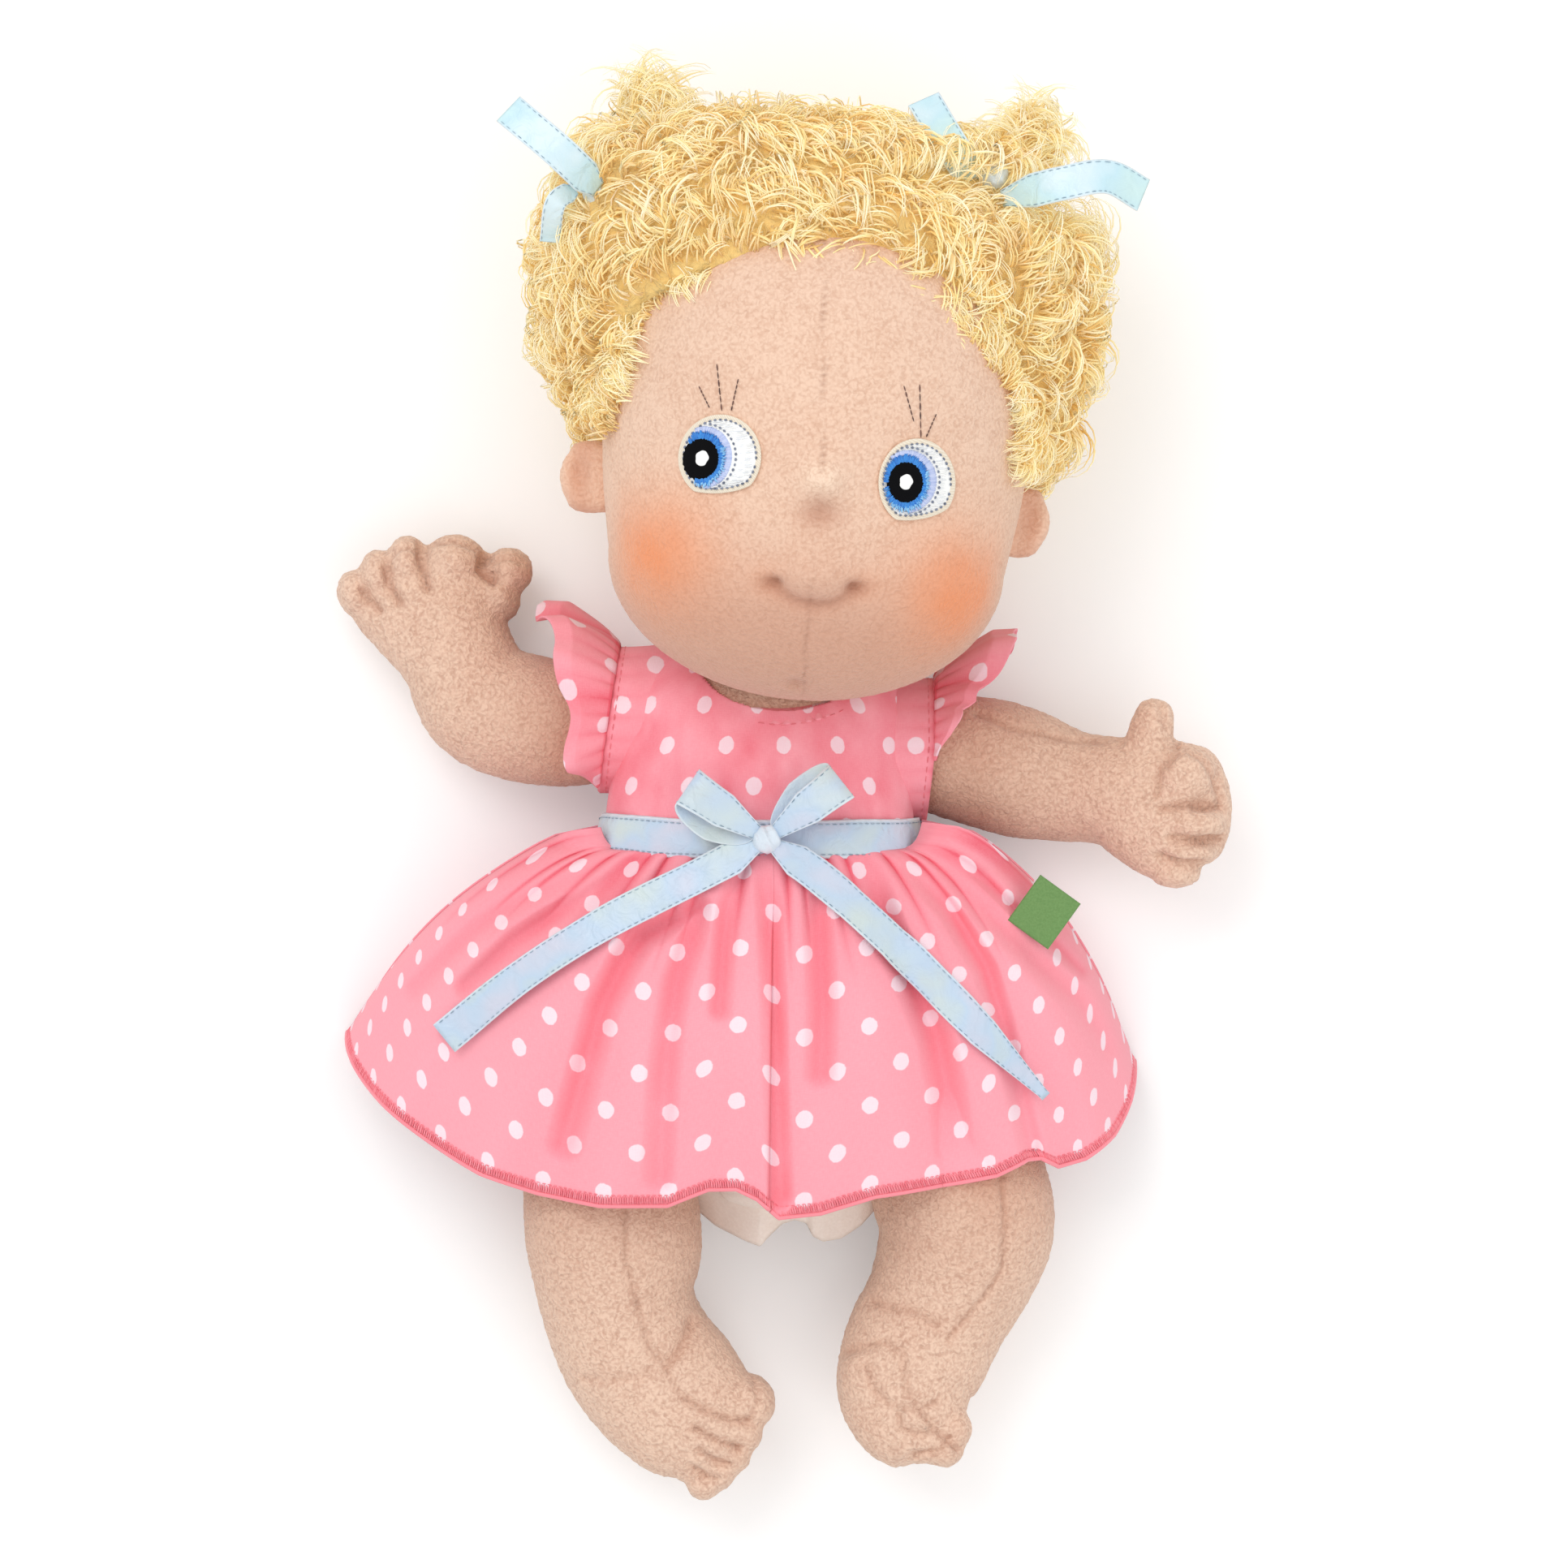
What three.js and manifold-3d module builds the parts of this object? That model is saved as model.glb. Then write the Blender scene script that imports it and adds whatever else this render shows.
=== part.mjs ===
// A soft cloth baby doll in a spotted cotton dress, lying on its back. Sizes are in millimetres.
// +Z is the way the face looks, +Y is towards the head and +X is the doll's left.
// The origin is on the surface that the doll lies on, under the middle of the bodice's back.

import * as THREE from "three";
import { mergeVertices } from "three/addons/utils/BufferGeometryUtils.js";
import Module from "manifold-3d";

const wasm = await Module();
wasm.setup();

// Clearances and cloth
const gap = 0.35;
const clothThickness = 1;
const ribbonThickness = 0.7;
const ribbonWidth = 8;
const roughMargin = 3;

// Torso, from the crotch to the shoulders: lift is the height of its back over the floor
const crotch = { x: 3, y: -96, wide: 15, deep: 14, lift: 9 };
const seat = { x: 2, y: -84, wide: 28, deep: 20, lift: 5 };
const hips = { x: 0, y: -68, wide: 35, deep: 23, lift: 3.8 };
const belly = { x: -2, y: -44, wide: 37, deep: 24.5, lift: 3.8 };
const waist = { x: -3, y: -20, wide: 33.4, deep: 24, lift: 4.2 };
const chest = { x: -1.5, y: -4, wide: 32.5, deep: 23.6, lift: 0.7 };
const armpits = { x: 0, y: 7, wide: 32.5, deep: 21.8, lift: 0.2 };
const shoulders = { x: 1, y: 16, wide: 28, deep: 15, lift: 4 };
const torsoDome = 5;

// Neck, along a line from its root to the middle of the head
const neckRoot = new THREE.Vector3(0.5, 15, 21);
const neckRadius = 10.5;
const neckLength = 20;
const nodForward = 8;
const nodBack = -10;
const headTurn = 25;

// Head, in its own frame: y runs from chin to crown, z from the back of the head to the face
const headCentre = new THREE.Vector3(9.5, 67.4, 0);
const headRoll = -4.5;
const chin = { y: -50, z: 57, wide: 23, deep: 18.5 };
const jaw = { y: -42, z: 55, wide: 34.5, deep: 29 };
const cheeks = { y: -27, z: 51.5, wide: 43, deep: 40 };
const temples = { y: -7, z: 52, wide: 46.6, deep: 44 };
const brow = { y: 15, z: 52, wide: 46.4, deep: 44.5 };
const forehead = { y: 34, z: 51, wide: 41, deep: 41 };
const crown = { y: 48, z: 50, wide: 28, deep: 30 };
const headDome = 9;
const noseBump = { x: 2, y: -9, across: 7, along: 8, height: 3.5 };
const muzzleBump = { x: 0, y: -27, across: 11, along: 9, height: 5 };
const cheekBump = { x: 26, y: -24, across: 12, along: 12, height: 2.5 };

// Ears
const earOffset = 49;
const earY = -13;
const earZ = 50;
const earProtrusion = 8;
const earHeight = 16;
const earThickness = 9;

// Wig of curly pile, with the edge of its opening round the face
const wigWide = 66;
const nape = { y: -33, z: 30, wide: 27, deep: 23 };
const wigNeck = { y: -20, z: 34, wide: 48, deep: 33 };
const wigEars = { y: -4, z: 38, wide: 0.94 * wigWide, deep: 40 };
const wigSides = { y: 16, z: 41, wide: wigWide, deep: 42 };
const wigTop = { y: 34, z: 45, wide: wigWide, deep: 46 };
const wigCrown = { y: 50, z: 48, wide: 0.91 * wigWide, deep: 43 };
const wigTip = { y: 60, z: 49, wide: 0.71 * wigWide, deep: 32 };
const wigDome = 12;
const hairlineWide = 46;
const hairlineTop = 41;
const hairlineDepth = 50;

// The two bunches of locks
const bunchBase = new THREE.Vector3(wigWide / 2, 50, 50);
const bunchLength = 26;
const bunchHeading = 66;
const bunchRadius = 12.5;
const bunchBaseRadius = 9;

// Eyes: patches of twill with embroidered thread rings
const eyeSpacing = 44.5;
const eyeY = -4.5;
const eyePatchWide = 9.3;
const eyePatchTall = 9;
const eyePatchThickness = 0.8;
const eyeGlance = 3;
const irisRadius = 5.6;
const pupilWide = 4.2;
const pupilTall = 4.8;
const glintRadius = 1.7;
const threadThickness = 0.6;

// Arms: both are sewn from one pattern and lie bent to different angles
const armRadius = 13.2;
const elbowRadius = 12.8;
const wristRadius = 11.3;
const palmWide = 16.5;
const palmDeep = 9.5;
const upperArmLength = 32;
const forearmLength = 22;
const handLength = 17;
const fingerRadius = 4.6;
const fingerSpread = 25;
const thumbLength = 9;
const shoulderHeight = 20;
const rightArm = {
  root: new THREE.Vector3(-34, 6, shoulderHeight),
  headings: [177, 112, 98],
  climbs: [-14, 0, 0],
  thumbSide: -1,
  raise: [-20, 0],
  raiseSign: -1,
};
const leftArm = {
  root: new THREE.Vector3(34.5, -1, shoulderHeight),
  headings: [-10, -12, -14],
  climbs: [-14, 20, 32],
  thumbSide: 1,
  raise: [-12, 20],
  raiseSign: 1,
};
const armSwing = 60;

// Legs: both are sewn from one pattern and rest turned to different angles
const thighRadius = 19;
const calfRadius = 17.2;
const ankleRadius = 15.5;
const footWide = 16.5;
const footDeep = 13.5;
const toesWide = 13;
const toesDeep = 8.5;
const thighLength = 30;
const calfLength = 20;
const instepLength = 20;
const toesLength = 13;
const toeRadius = 3.6;
const bigToeExtra = 0.8;
const hipHeight = 22.5;
const rightLeg = {
  root: new THREE.Vector3(-31, -82, hipHeight),
  headings: [-101, -88, -63, -62],
  climbs: [-6.5, -12, 9, 12],
  side: -1,
};
const leftLeg = {
  root: new THREE.Vector3(35, -80, hipHeight),
  headings: [-80, -104, -100, -78],
  climbs: [-6.5, -12, 16, 22],
  side: 1,
};
const legLift = 80;
const legSplay = 15;
const legClose = 4;

// Round patches of doubled fleece at the seams that carry the arms and legs
const patchThickness = 1.2;
const patchSpread = 28;

// Dress
const dressLooseness = 0.4;
const neckHoleX = 4;
const neckHoleY = 21;
const neckHoleWide = 26;
const neckHoleFront = 12;
const neckHoleBack = 5;
const bindingWidth = 2.2;
const bindingThickness = 0.9;
const sashTop = -15.5;
const sashWidth = 8.2;
const bodiceHem = -19.8;
const skirtBand = 5;
const skirtHemX = -8;
const skirtHemSide = 88;
const skirtHemY = -67;
const skirtHemFront = 35;
const skirtHemBack = 31;
const skirtHemHeight = 47;
const skirtHemLow = 0.2;
const skirtPuff = 9;
const skirtSpread = 0.9;
const skirtSideSpread = 0.45;
const skirtSamples = 70;
const skirtValleys = [25, 50, 85, 105, 120];
const skirtValleyWide = 5.5;
const skirtFoldDepth = 1.7;

// Flutter sleeves
const frillWidth = 15;
const frillFlare = 8;
const frillFolds = 4;
const frillFoldDepth = 1.6;
const frillSpan = 105;
const frillThickness = 0.9;
const frillSeamX = 37;
const frillLow = 0.5;
const frillRoot = -0.9;

// Bow, of the same ribbon as the sash
const knotWidth = 7;
const knotLength = 6.5;
const knotHeight = 4.5;
const loopLength = 20;
const loopHeight = 5;
const loopHeadings = [146, 38];
const knotX = -1.3;
const bowTails = {
  right: [[-5.5, -22], [-14.7, -27.5], [-38, -39.4], [-56, -51], [-71, -63.7]],
  left: [[2.5, -22], [10.4, -28.7], [26.5, -43], [40.9, -57.4], [60.6, -77.5]],
};

// Ribbons in the hair
const hairKnotWidth = 7;
const hairKnotHeight = 5;
const hairRibbons = {
  right: {
    knot: [-40, 121, 72],
    tails: [
      [[-41, 126, 73], [-50, 135, 72], [-61, 146, 70]],
      [[-45, 120, 72], [-49, 118, 71], [-50, 108, 66]],
    ],
  },
  left: {
    knot: [51, 127, 70],
    tails: [
      [[57, 125, 71], [67.8, 131, 72], [75, 130, 71], [83, 125, 70]],
      [[47, 131, 70], [42, 137, 70], [35, 147, 66]],
    ],
  },
};

// Nappy and its tabs, touch tape and side label
const nappyTop = -42;
const nappyThickness = 1.2;
const tabLength = 12;
const tabWidth = 7;
const tabSpacing = 34;
const tabDrop = 8;
const tapeLength = 26;
const tapeWidth = 9;
const tapeThickness = 0.8;
const tapeReach = 16;
const tapeY = 0;
const labelWidth = 11;
const labelLength = 12.5;
const labelThickness = 0.6;
const labelMiddle = { x: 60.2, y: -36.6 };
const labelHeading = -36;
const labelSettle = 1.75;

// Colours
const fleece = { color: 0xf0cdb4, roughness: 0.95 };
const blushFleece = { color: 0xefc6a8, roughness: 0.95 };
const curls = { color: 0xf0d78c, roughness: 0.8 };
const cotton = { color: 0xff8c96, roughness: 0.85 };
const cottonEdge = { color: 0xf07885, roughness: 0.85 };
const satin = { color: 0xc3e2f1, roughness: 0.35 };
const twill = { color: 0xf7f4ee, roughness: 0.8 };
const irisThread = { color: 0x3f7fd6, roughness: 0.5 };
const pupilThread = { color: 0x121214, roughness: 0.5 };
const glintThread = { color: 0xffffff, roughness: 0.5 };
const nappyCloth = { color: 0xf6e9e4, roughness: 0.9 };
const tapeNylon = { color: 0xf2f2f0, roughness: 0.7 };
const labelCloth = { color: 0x5f9448, roughness: 0.8 };

// Mesh and solid

function solidOf(geometry) {
  const bare = geometry.clone();
  bare.deleteAttribute("normal");
  bare.deleteAttribute("uv");
  const merged = mergeVertices(bare, 1e-4);
  return new wasm.Manifold(new wasm.Mesh({
    numProp: 3,
    vertProperties: new Float32Array(merged.attributes.position.array),
    triVerts: new Uint32Array(merged.index.array),
  }));
}

function geometryOf(solid) {
  const mesh = solid.getMesh();
  const geometry = new THREE.BufferGeometry();
  geometry.setAttribute("position", new THREE.BufferAttribute(mesh.vertProperties, 3));
  geometry.setIndex(new THREE.BufferAttribute(mesh.triVerts, 1));
  geometry.computeVertexNormals();
  return geometry;
}

// A surface of rings with the same number of points: closed across each ring,
// and along the rings by a pole at each end, or by joining the last ring to the first.
function skin(rings, poles) {
  const sides = rings[0].length;
  const points = rings.flat();
  const faces = [];
  const count = poles ? rings.length - 1 : rings.length;
  for (let i = 0; i < count; i += 1) {
    const here = i * sides;
    const next = ((i + 1) % rings.length) * sides;
    for (let j = 0; j < sides; j += 1) {
      const k = (j + 1) % sides;
      faces.push(here + j, next + j, next + k);
      faces.push(here + j, next + k, here + k);
    }
  }
  if (poles) {
    const first = points.push(poles[0]) - 1;
    const last = points.push(poles[1]) - 1;
    const end = (rings.length - 1) * sides;
    for (let j = 0; j < sides; j += 1) {
      const k = (j + 1) % sides;
      faces.push(first, j, k);
      faces.push(last, end + k, end + j);
    }
  }
  const geometry = new THREE.BufferGeometry();
  const flat = points.flatMap((p) => [p.x, p.y, p.z]);
  geometry.setAttribute("position", new THREE.Float32BufferAttribute(flat, 3));
  geometry.setIndex(signedVolume(points, faces) < 0 ? faces.reverse() : faces);
  return solidOf(geometry);
}

// Six times the volume inside a closed surface, negative where its faces point inwards
function signedVolume(points, faces) {
  let sum = 0;
  for (let i = 0; i < faces.length; i += 3) {
    const [a, b, c] = [points[faces[i]], points[faces[i + 1]], points[faces[i + 2]]];
    sum += a.dot(b.clone().cross(c));
  }
  return sum;
}

// A stuffed form: oval rings along a smooth line through the stations, domed at both ends.
// grow is added all round, which gives the same form with an even clearance.
// relief, if given, moves each point of the surface.
function stuffed(stations, { sides, steps, domes, domeSteps = 3, grow = 0, relief }) {
  const line = new THREE.CatmullRomCurve3(stations.map((s) => new THREE.Vector3(s.x, s.y, s.z)));
  const radii = stations.map((s) => new THREE.Vector3(s.wide, s.deep, 0));
  const size = new THREE.CatmullRomCurve3(radii, false, "catmullrom");
  const up = new THREE.Vector3(0, 0, 1);
  const rings = [];
  const ring = (u, push, shrink) => {
    const middle = line.getPoint(u);
    const along = line.getTangent(u);
    const side = along.clone().cross(up).normalize();
    const front = side.clone().cross(along);
    const { x: wide, y: deep } = size.getPoint(u);
    const points = [];
    for (let j = 0; j < sides; j += 1) {
      const angle = (2 * Math.PI * j) / sides;
      const point = middle.clone().addScaledVector(along, push);
      point.addScaledVector(side, (wide + grow) * shrink * Math.cos(angle));
      point.addScaledVector(front, (deep + grow) * shrink * Math.sin(angle));
      points.push(relief ? relief(point, Math.sin(angle)) : point);
    }
    rings.push(points);
  };
  for (let k = domeSteps - 1; k > 0; k -= 1) {
    const angle = (Math.PI / 2) * (k / domeSteps);
    ring(0, -(domes[0] + grow) * Math.sin(angle), Math.cos(angle));
  }
  const spans = (stations.length - 1) * steps;
  for (let i = 0; i <= spans; i += 1) {
    ring(i / spans, 0, 1);
  }
  for (let k = 1; k < domeSteps; k += 1) {
    const angle = (Math.PI / 2) * (k / domeSteps);
    ring(1, (domes[1] + grow) * Math.sin(angle), Math.cos(angle));
  }
  const poles = [0, 1].map((u) => {
    const push = u === 0 ? -(domes[0] + grow) : domes[1] + grow;
    return line.getPoint(u).addScaledVector(line.getTangent(u), push);
  });
  return skin(rings, poles);
}

function block(wide, long, high, x, y, z) {
  return solidOf(new THREE.BoxGeometry(wide, long, high).translate(x, y, z));
}

// An upright oval prism between two heights
function ovalPrism(x, y, wide, tall, low, high) {
  const outline = new THREE.Shape();
  outline.absellipse(0, 0, wide, tall, 0, 2 * Math.PI);
  const geometry = new THREE.ExtrudeGeometry(outline, {
    depth: high - low,
    bevelEnabled: false,
    curveSegments: 10,
  });
  return solidOf(geometry.translate(x, y, low));
}

const farAway = 400;

function above(solid, height) {
  return solid.subtract(block(farAway, farAway, farAway, 0, 0, height - farAway / 2));
}

function between(solid, low, high) {
  return solid.intersect(block(farAway, high - low, farAway, 0, (low + high) / 2, 0));
}

function union(solids) {
  return solids.reduce((a, b) => a.add(b));
}

// The largest piece of a solid that a cut has left in several
function largest(solid) {
  return solid.decompose().sort((a, b) => b.volume() - a.volume())[0];
}

// The solid turned about an axis through a point, as a joint turns it
function turned(solid, point, axis, degrees) {
  const angle = THREE.MathUtils.degToRad(degrees);
  const turn = new THREE.Matrix4().makeRotationAxis(axis.clone().normalize(), angle);
  const there = new THREE.Matrix4().makeTranslation(point.x, point.y, point.z);
  const back = new THREE.Matrix4().makeTranslation(-point.x, -point.y, -point.z);
  return solid.transform(there.multiply(turn).multiply(back).elements);
}

const doll = new THREE.Group();
doll.name = "doll";

function place(name, solid, finish, parent = doll) {
  const material = new THREE.MeshStandardMaterial({ metalness: 0, ...finish });
  const mesh = new THREE.Mesh(geometryOf(solid), material);
  mesh.name = name;
  parent.add(mesh);
  return mesh;
}

// Torso

const torsoStations = [crotch, seat, hips, belly, waist, chest, armpits, shoulders].map((s) => ({
  ...s,
  z: s.lift + s.deep,
}));
const torsoSides = 20;

function torsoForm(grow) {
  return stuffed(torsoStations, { sides: torsoSides, steps: 2, domes: [torsoDome, torsoDome], grow });
}

// The torso's form with its back flattened, as far over the floor as the cloth under it is thick
function restingForm(grow) {
  return above(torsoForm(grow), clothThickness + dressLooseness - grow);
}

// A layer under the torso's skin, from a lift over the torso's form down to a depth below that
function backLayer(lift, depth) {
  return restingForm(lift).subtract(restingForm(lift - depth));
}

const tapeStack = 2 * (tapeThickness + gap);

// Neck

const headMiddle = new THREE.Vector3(headCentre.x, headCentre.y, temples.z);
const neckAxis = headMiddle.clone().sub(neckRoot).normalize();

function neckForm(grow) {
  const tip = neckRoot.clone().addScaledVector(neckAxis, neckLength);
  const ends = [neckRoot, neckRoot.clone().lerp(tip, 0.5), tip];
  const stations = ends.map((p) => ({ x: p.x, y: p.y, z: p.z, wide: neckRadius, deep: neckRadius }));
  return stuffed(stations, { sides: 16, steps: 1, domes: [neckRadius, 4], grow });
}

// Head and what is sewn to it, in the head's own frame

function bump({ x, y, across, along, height }, point) {
  return height * Math.exp(-(((point.x - x) / across) ** 2) - ((point.y - y) / along) ** 2);
}

function faceRelief(point, facing) {
  if (facing <= 0) {
    return point;
  }
  const otherCheek = { ...cheekBump, x: -cheekBump.x };
  const bumps = [noseBump, muzzleBump, cheekBump, otherCheek];
  const rise = bumps.reduce((sum, b) => sum + bump(b, point), 0);
  return point.setZ(point.z + rise * Math.min(1, 2 * facing));
}

function headForm(grow, sides = 28, steps = 2) {
  const stations = [chin, jaw, cheeks, temples, brow, forehead, crown].map((s) => ({ x: 0, ...s }));
  return stuffed(stations, { sides, steps, domes: [headDome, headDome], grow, relief: faceRelief });
}

function toDoll(solid) {
  return solid.rotate([0, 0, headRoll]).translate([headCentre.x, headCentre.y, headCentre.z]);
}

function toHead(solid) {
  const away = [-headCentre.x, -headCentre.y, -headCentre.z];
  return solid.translate(away).rotate([0, 0, -headRoll]);
}

function earForm(side, grow) {
  const half = earHeight / 2 - 3;
  const stations = [-half, 0, half].map((y) => ({
    x: side * earOffset,
    y: earY + y,
    z: earZ,
    wide: y === 0 ? earProtrusion : earProtrusion * 0.8,
    deep: earThickness / 2,
  }));
  return stuffed(stations, { sides: 8, steps: 1, domes: [3, 3], grow });
}

function wigForm(grow) {
  const stations = [nape, wigNeck, wigEars, wigSides, wigTop, wigCrown, wigTip].map((s) => ({ x: 0, ...s }));
  return stuffed(stations, { sides: 24, steps: 2, domes: [6, wigDome], grow });
}

// What the wig leaves open in front of the face
function faceOpening() {
  const top = ovalPrism(0, 0, hairlineWide, hairlineTop, hairlineDepth, farAway / 2);
  const below = block(2 * hairlineWide, farAway / 2, farAway, 0, -farAway / 4, hairlineDepth + farAway / 2);
  return top.add(below);
}

function bunchForm(side, grow) {
  const heading = THREE.MathUtils.degToRad(bunchHeading);
  const way = new THREE.Vector3(side * Math.cos(heading), Math.sin(heading), 0);
  const base = new THREE.Vector3(side * bunchBase.x, bunchBase.y, bunchBase.z);
  const radii = [bunchBaseRadius, bunchRadius, bunchRadius * 0.8];
  const stations = radii.map((radius, i) => {
    const middle = base.clone().addScaledVector(way, (bunchLength * i) / 2);
    return { x: middle.x, y: middle.y, z: middle.z, wide: radius, deep: radius };
  });
  return stuffed(stations, { sides: 12, steps: 2, domes: [4, 6], grow, domeSteps: 2 });
}

// A skin of even thickness on the face, inside an oval seen from the front
function onFace(lift, thickness, oval) {
  const shell = headForm(lift + thickness).subtract(headForm(lift));
  return shell.intersect(oval);
}

function eyePrism(side, shift, wide, tall) {
  return ovalPrism((side * eyeSpacing) / 2 + shift, eyeY, wide, tall, temples.z, farAway / 2);
}

// Limbs

// The points of a line that starts at the root and goes on by lengths, headings and climbs
function chain(root, lengths, headings, climbs) {
  const points = [root.clone()];
  lengths.forEach((length, i) => {
    const heading = THREE.MathUtils.degToRad(headings[i]);
    const climb = THREE.MathUtils.degToRad(climbs[i]);
    const level = length * Math.cos(climb);
    const step = new THREE.Vector3(Math.cos(heading), Math.sin(heading), Math.tan(climb));
    points.push(points[i].clone().addScaledVector(step, level));
  });
  return points;
}

function station(point, wide, deep) {
  return { x: point.x, y: point.y, z: point.z, wide, deep };
}

function ball(point, radius) {
  return solidOf(new THREE.SphereGeometry(radius, 7, 5).translate(point.x, point.y, point.z));
}

function armForm(arm, grow) {
  const lengths = [upperArmLength, forearmLength, handLength];
  const [root, elbow, wrist, tip] = chain(arm.root, lengths, arm.headings, arm.climbs);
  const stations = [
    station(root, armRadius, armRadius),
    station(root.clone().lerp(elbow, 0.5), armRadius, armRadius),
    station(elbow, elbowRadius, elbowRadius),
    station(wrist, wristRadius, wristRadius),
    station(wrist.clone().lerp(tip, 0.6), palmWide, palmDeep),
    station(tip, palmWide * 0.8, palmDeep * 0.75),
  ];
  return stuffed(stations, { sides: 12, steps: 2, domes: [armRadius, 3], grow });
}

// Four fingers fanned round the end of the hand, and a thumb at its side
function fingers(arm) {
  const lengths = [upperArmLength, forearmLength, handLength];
  const [, , wrist, tip] = chain(arm.root, lengths, arm.headings, arm.climbs);
  const along = tip.clone().sub(wrist).normalize();
  const side = along.clone().cross(new THREE.Vector3(0, 0, 1)).normalize();
  const knobs = [0, 1, 2, 3].map((i) => {
    const across = (i / 3 - 0.5) * fingerSpread;
    const middle = tip.clone().addScaledVector(side, across - arm.thumbSide * 2);
    return ball(middle.addScaledVector(along, 1.5 - Math.abs(across) * 0.15), fingerRadius);
  });
  const reach = -arm.thumbSide * (palmWide + thumbLength / 2 - 3);
  const thumb = wrist.clone().addScaledVector(side, reach).addScaledVector(along, handLength * 0.4);
  return union([...knobs, ball(thumb, fingerRadius + 0.8)]);
}

function legForm(leg, grow) {
  const lengths = [thighLength, calfLength, instepLength, toesLength];
  const [root, knee, heel, instep, tip] = chain(leg.root, lengths, leg.headings, leg.climbs);
  const stations = [
    station(root, thighRadius, thighRadius),
    station(root.clone().lerp(knee, 0.5), thighRadius + 0.5, thighRadius),
    station(knee, calfRadius, calfRadius),
    station(heel, ankleRadius, ankleRadius),
    station(instep, footWide, footDeep),
    station(tip, toesWide, toesDeep),
  ];
  return stuffed(stations, { sides: 14, steps: 2, domes: [thighRadius, 4], grow });
}

function toes(leg) {
  const lengths = [thighLength, calfLength, instepLength, toesLength];
  const [, , , instep, tip] = chain(leg.root, lengths, leg.headings, leg.climbs);
  const along = tip.clone().sub(instep).normalize();
  const side = along.clone().cross(new THREE.Vector3(0, 0, 1)).normalize();
  const knobs = [0, 1, 2, 3, 4].map((i) => {
    const across = (i / 4 - 0.5) * 1.7 * toesWide;
    const middle = tip.clone().addScaledVector(side, across).addScaledVector(along, 2);
    const inner = i === (leg.side < 0 ? 0 : 4);
    return ball(middle, toeRadius + (inner ? bigToeExtra : 0));
  });
  return union(knobs);
}

// A plain bar with a ball end, with flats that lie outside the round bar of the same radius
function roomBar(root, way, radius) {
  const sides = 8;
  const outside = radius / Math.cos(Math.PI / sides);
  const far = root.clone().addScaledVector(way, 3 * radius);
  const ends = [station(root, outside, outside), station(far, outside, outside)];
  return stuffed(ends, { sides, steps: 1, domes: [outside, 1], domeSteps: 2 });
}

// The room that the upper end of a limb needs for pairs of turns: one sideways, then one forwards
function rootRoom(root, heading, radius, turns, sideAxis, forwardAxis) {
  const way = THREE.MathUtils.degToRad(heading);
  const bar = roomBar(root, new THREE.Vector3(Math.cos(way), Math.sin(way), 0), radius);
  return union(turns.map(([sideways, forwards]) => {
    return turned(turned(bar, root, sideAxis, sideways), root, forwardAxis, forwards);
  }));
}

function armRoot(arm, grow) {
  const swingAxis = new THREE.Vector3(0, -arm.raiseSign, 0);
  const raiseAxis = new THREE.Vector3(0, 0, arm.raiseSign);
  const turns = [0, armSwing].flatMap((swing) => arm.raise.map((raise) => [raise, swing]));
  return rootRoom(arm.root, arm.headings[0], armRadius + grow, turns, raiseAxis, swingAxis);
}

function legRoot(leg, grow) {
  const liftAxis = new THREE.Vector3(-1, 0, 0);
  const splayAxis = new THREE.Vector3(0, 0, leg.side);
  const lifts = [0, legLift * 0.6, legLift];
  const turns = [[legSplay, 0], ...lifts.map((lift) => [-legClose, lift])];
  return rootRoom(leg.root, leg.headings[0], thighRadius + grow, turns, splayAxis, liftAxis);
}

// A round cap of cloth between the limb's root and the body, on the inner side of the joint
function seamPatch(root, radius, inward) {
  const cap = (r) => solidOf(new THREE.SphereGeometry(r, 16, 12).translate(root.x, root.y, root.z));
  const shell = cap(radius + gap + patchThickness).subtract(cap(radius + gap));
  const spread = THREE.MathUtils.degToRad(patchSpread);
  const reach = (radius + 2 * patchThickness) / Math.cos(spread);
  const cone = new THREE.ConeGeometry(reach * Math.sin(spread), reach, 16);
  cone.translate(0, -reach / 2, 0);
  const aim = new THREE.Quaternion().setFromUnitVectors(new THREE.Vector3(0, -1, 0), inward.clone().normalize());
  cone.applyQuaternion(aim).translate(root.x, root.y, root.z);
  return shell.intersect(solidOf(cone));
}

// Body, neck and limbs, each cut by the larger ones

const arms = { right: rightArm, left: leftArm };
const legs = { right: rightLeg, left: leftLeg };
const inwards = { right: new THREE.Vector3(1, 0, 0), left: new THREE.Vector3(-1, 0, 0) };
const upInwards = { right: new THREE.Vector3(0.35, 1, 0), left: new THREE.Vector3(-0.35, 1, 0) };

const rootClearance = 2 * gap + patchThickness;
const armRoom = Object.values(arms).map((arm) => armRoot(arm, rootClearance));
const legRoom = Object.values(legs).map((leg) => legRoot(leg, rootClearance));
const nodAxis = new THREE.Vector3(1, 0, 0);
const nods = [nodBack, nodForward];
const roughHead = toDoll(headForm(roughMargin, 16, 1));
const headPoses = [headTurn, -headTurn].map((turn) => turned(roughHead, neckRoot, neckAxis, turn));
const neckBar = roomBar(neckRoot, neckAxis, neckRadius + 3 * gap);
const neckRoom = union(nods.map((angle) => turned(neckBar, neckRoot, nodAxis, angle)));
const headRoom = union(headPoses.map((pose) => turned(pose, neckRoot, nodAxis, nodForward)));

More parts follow.
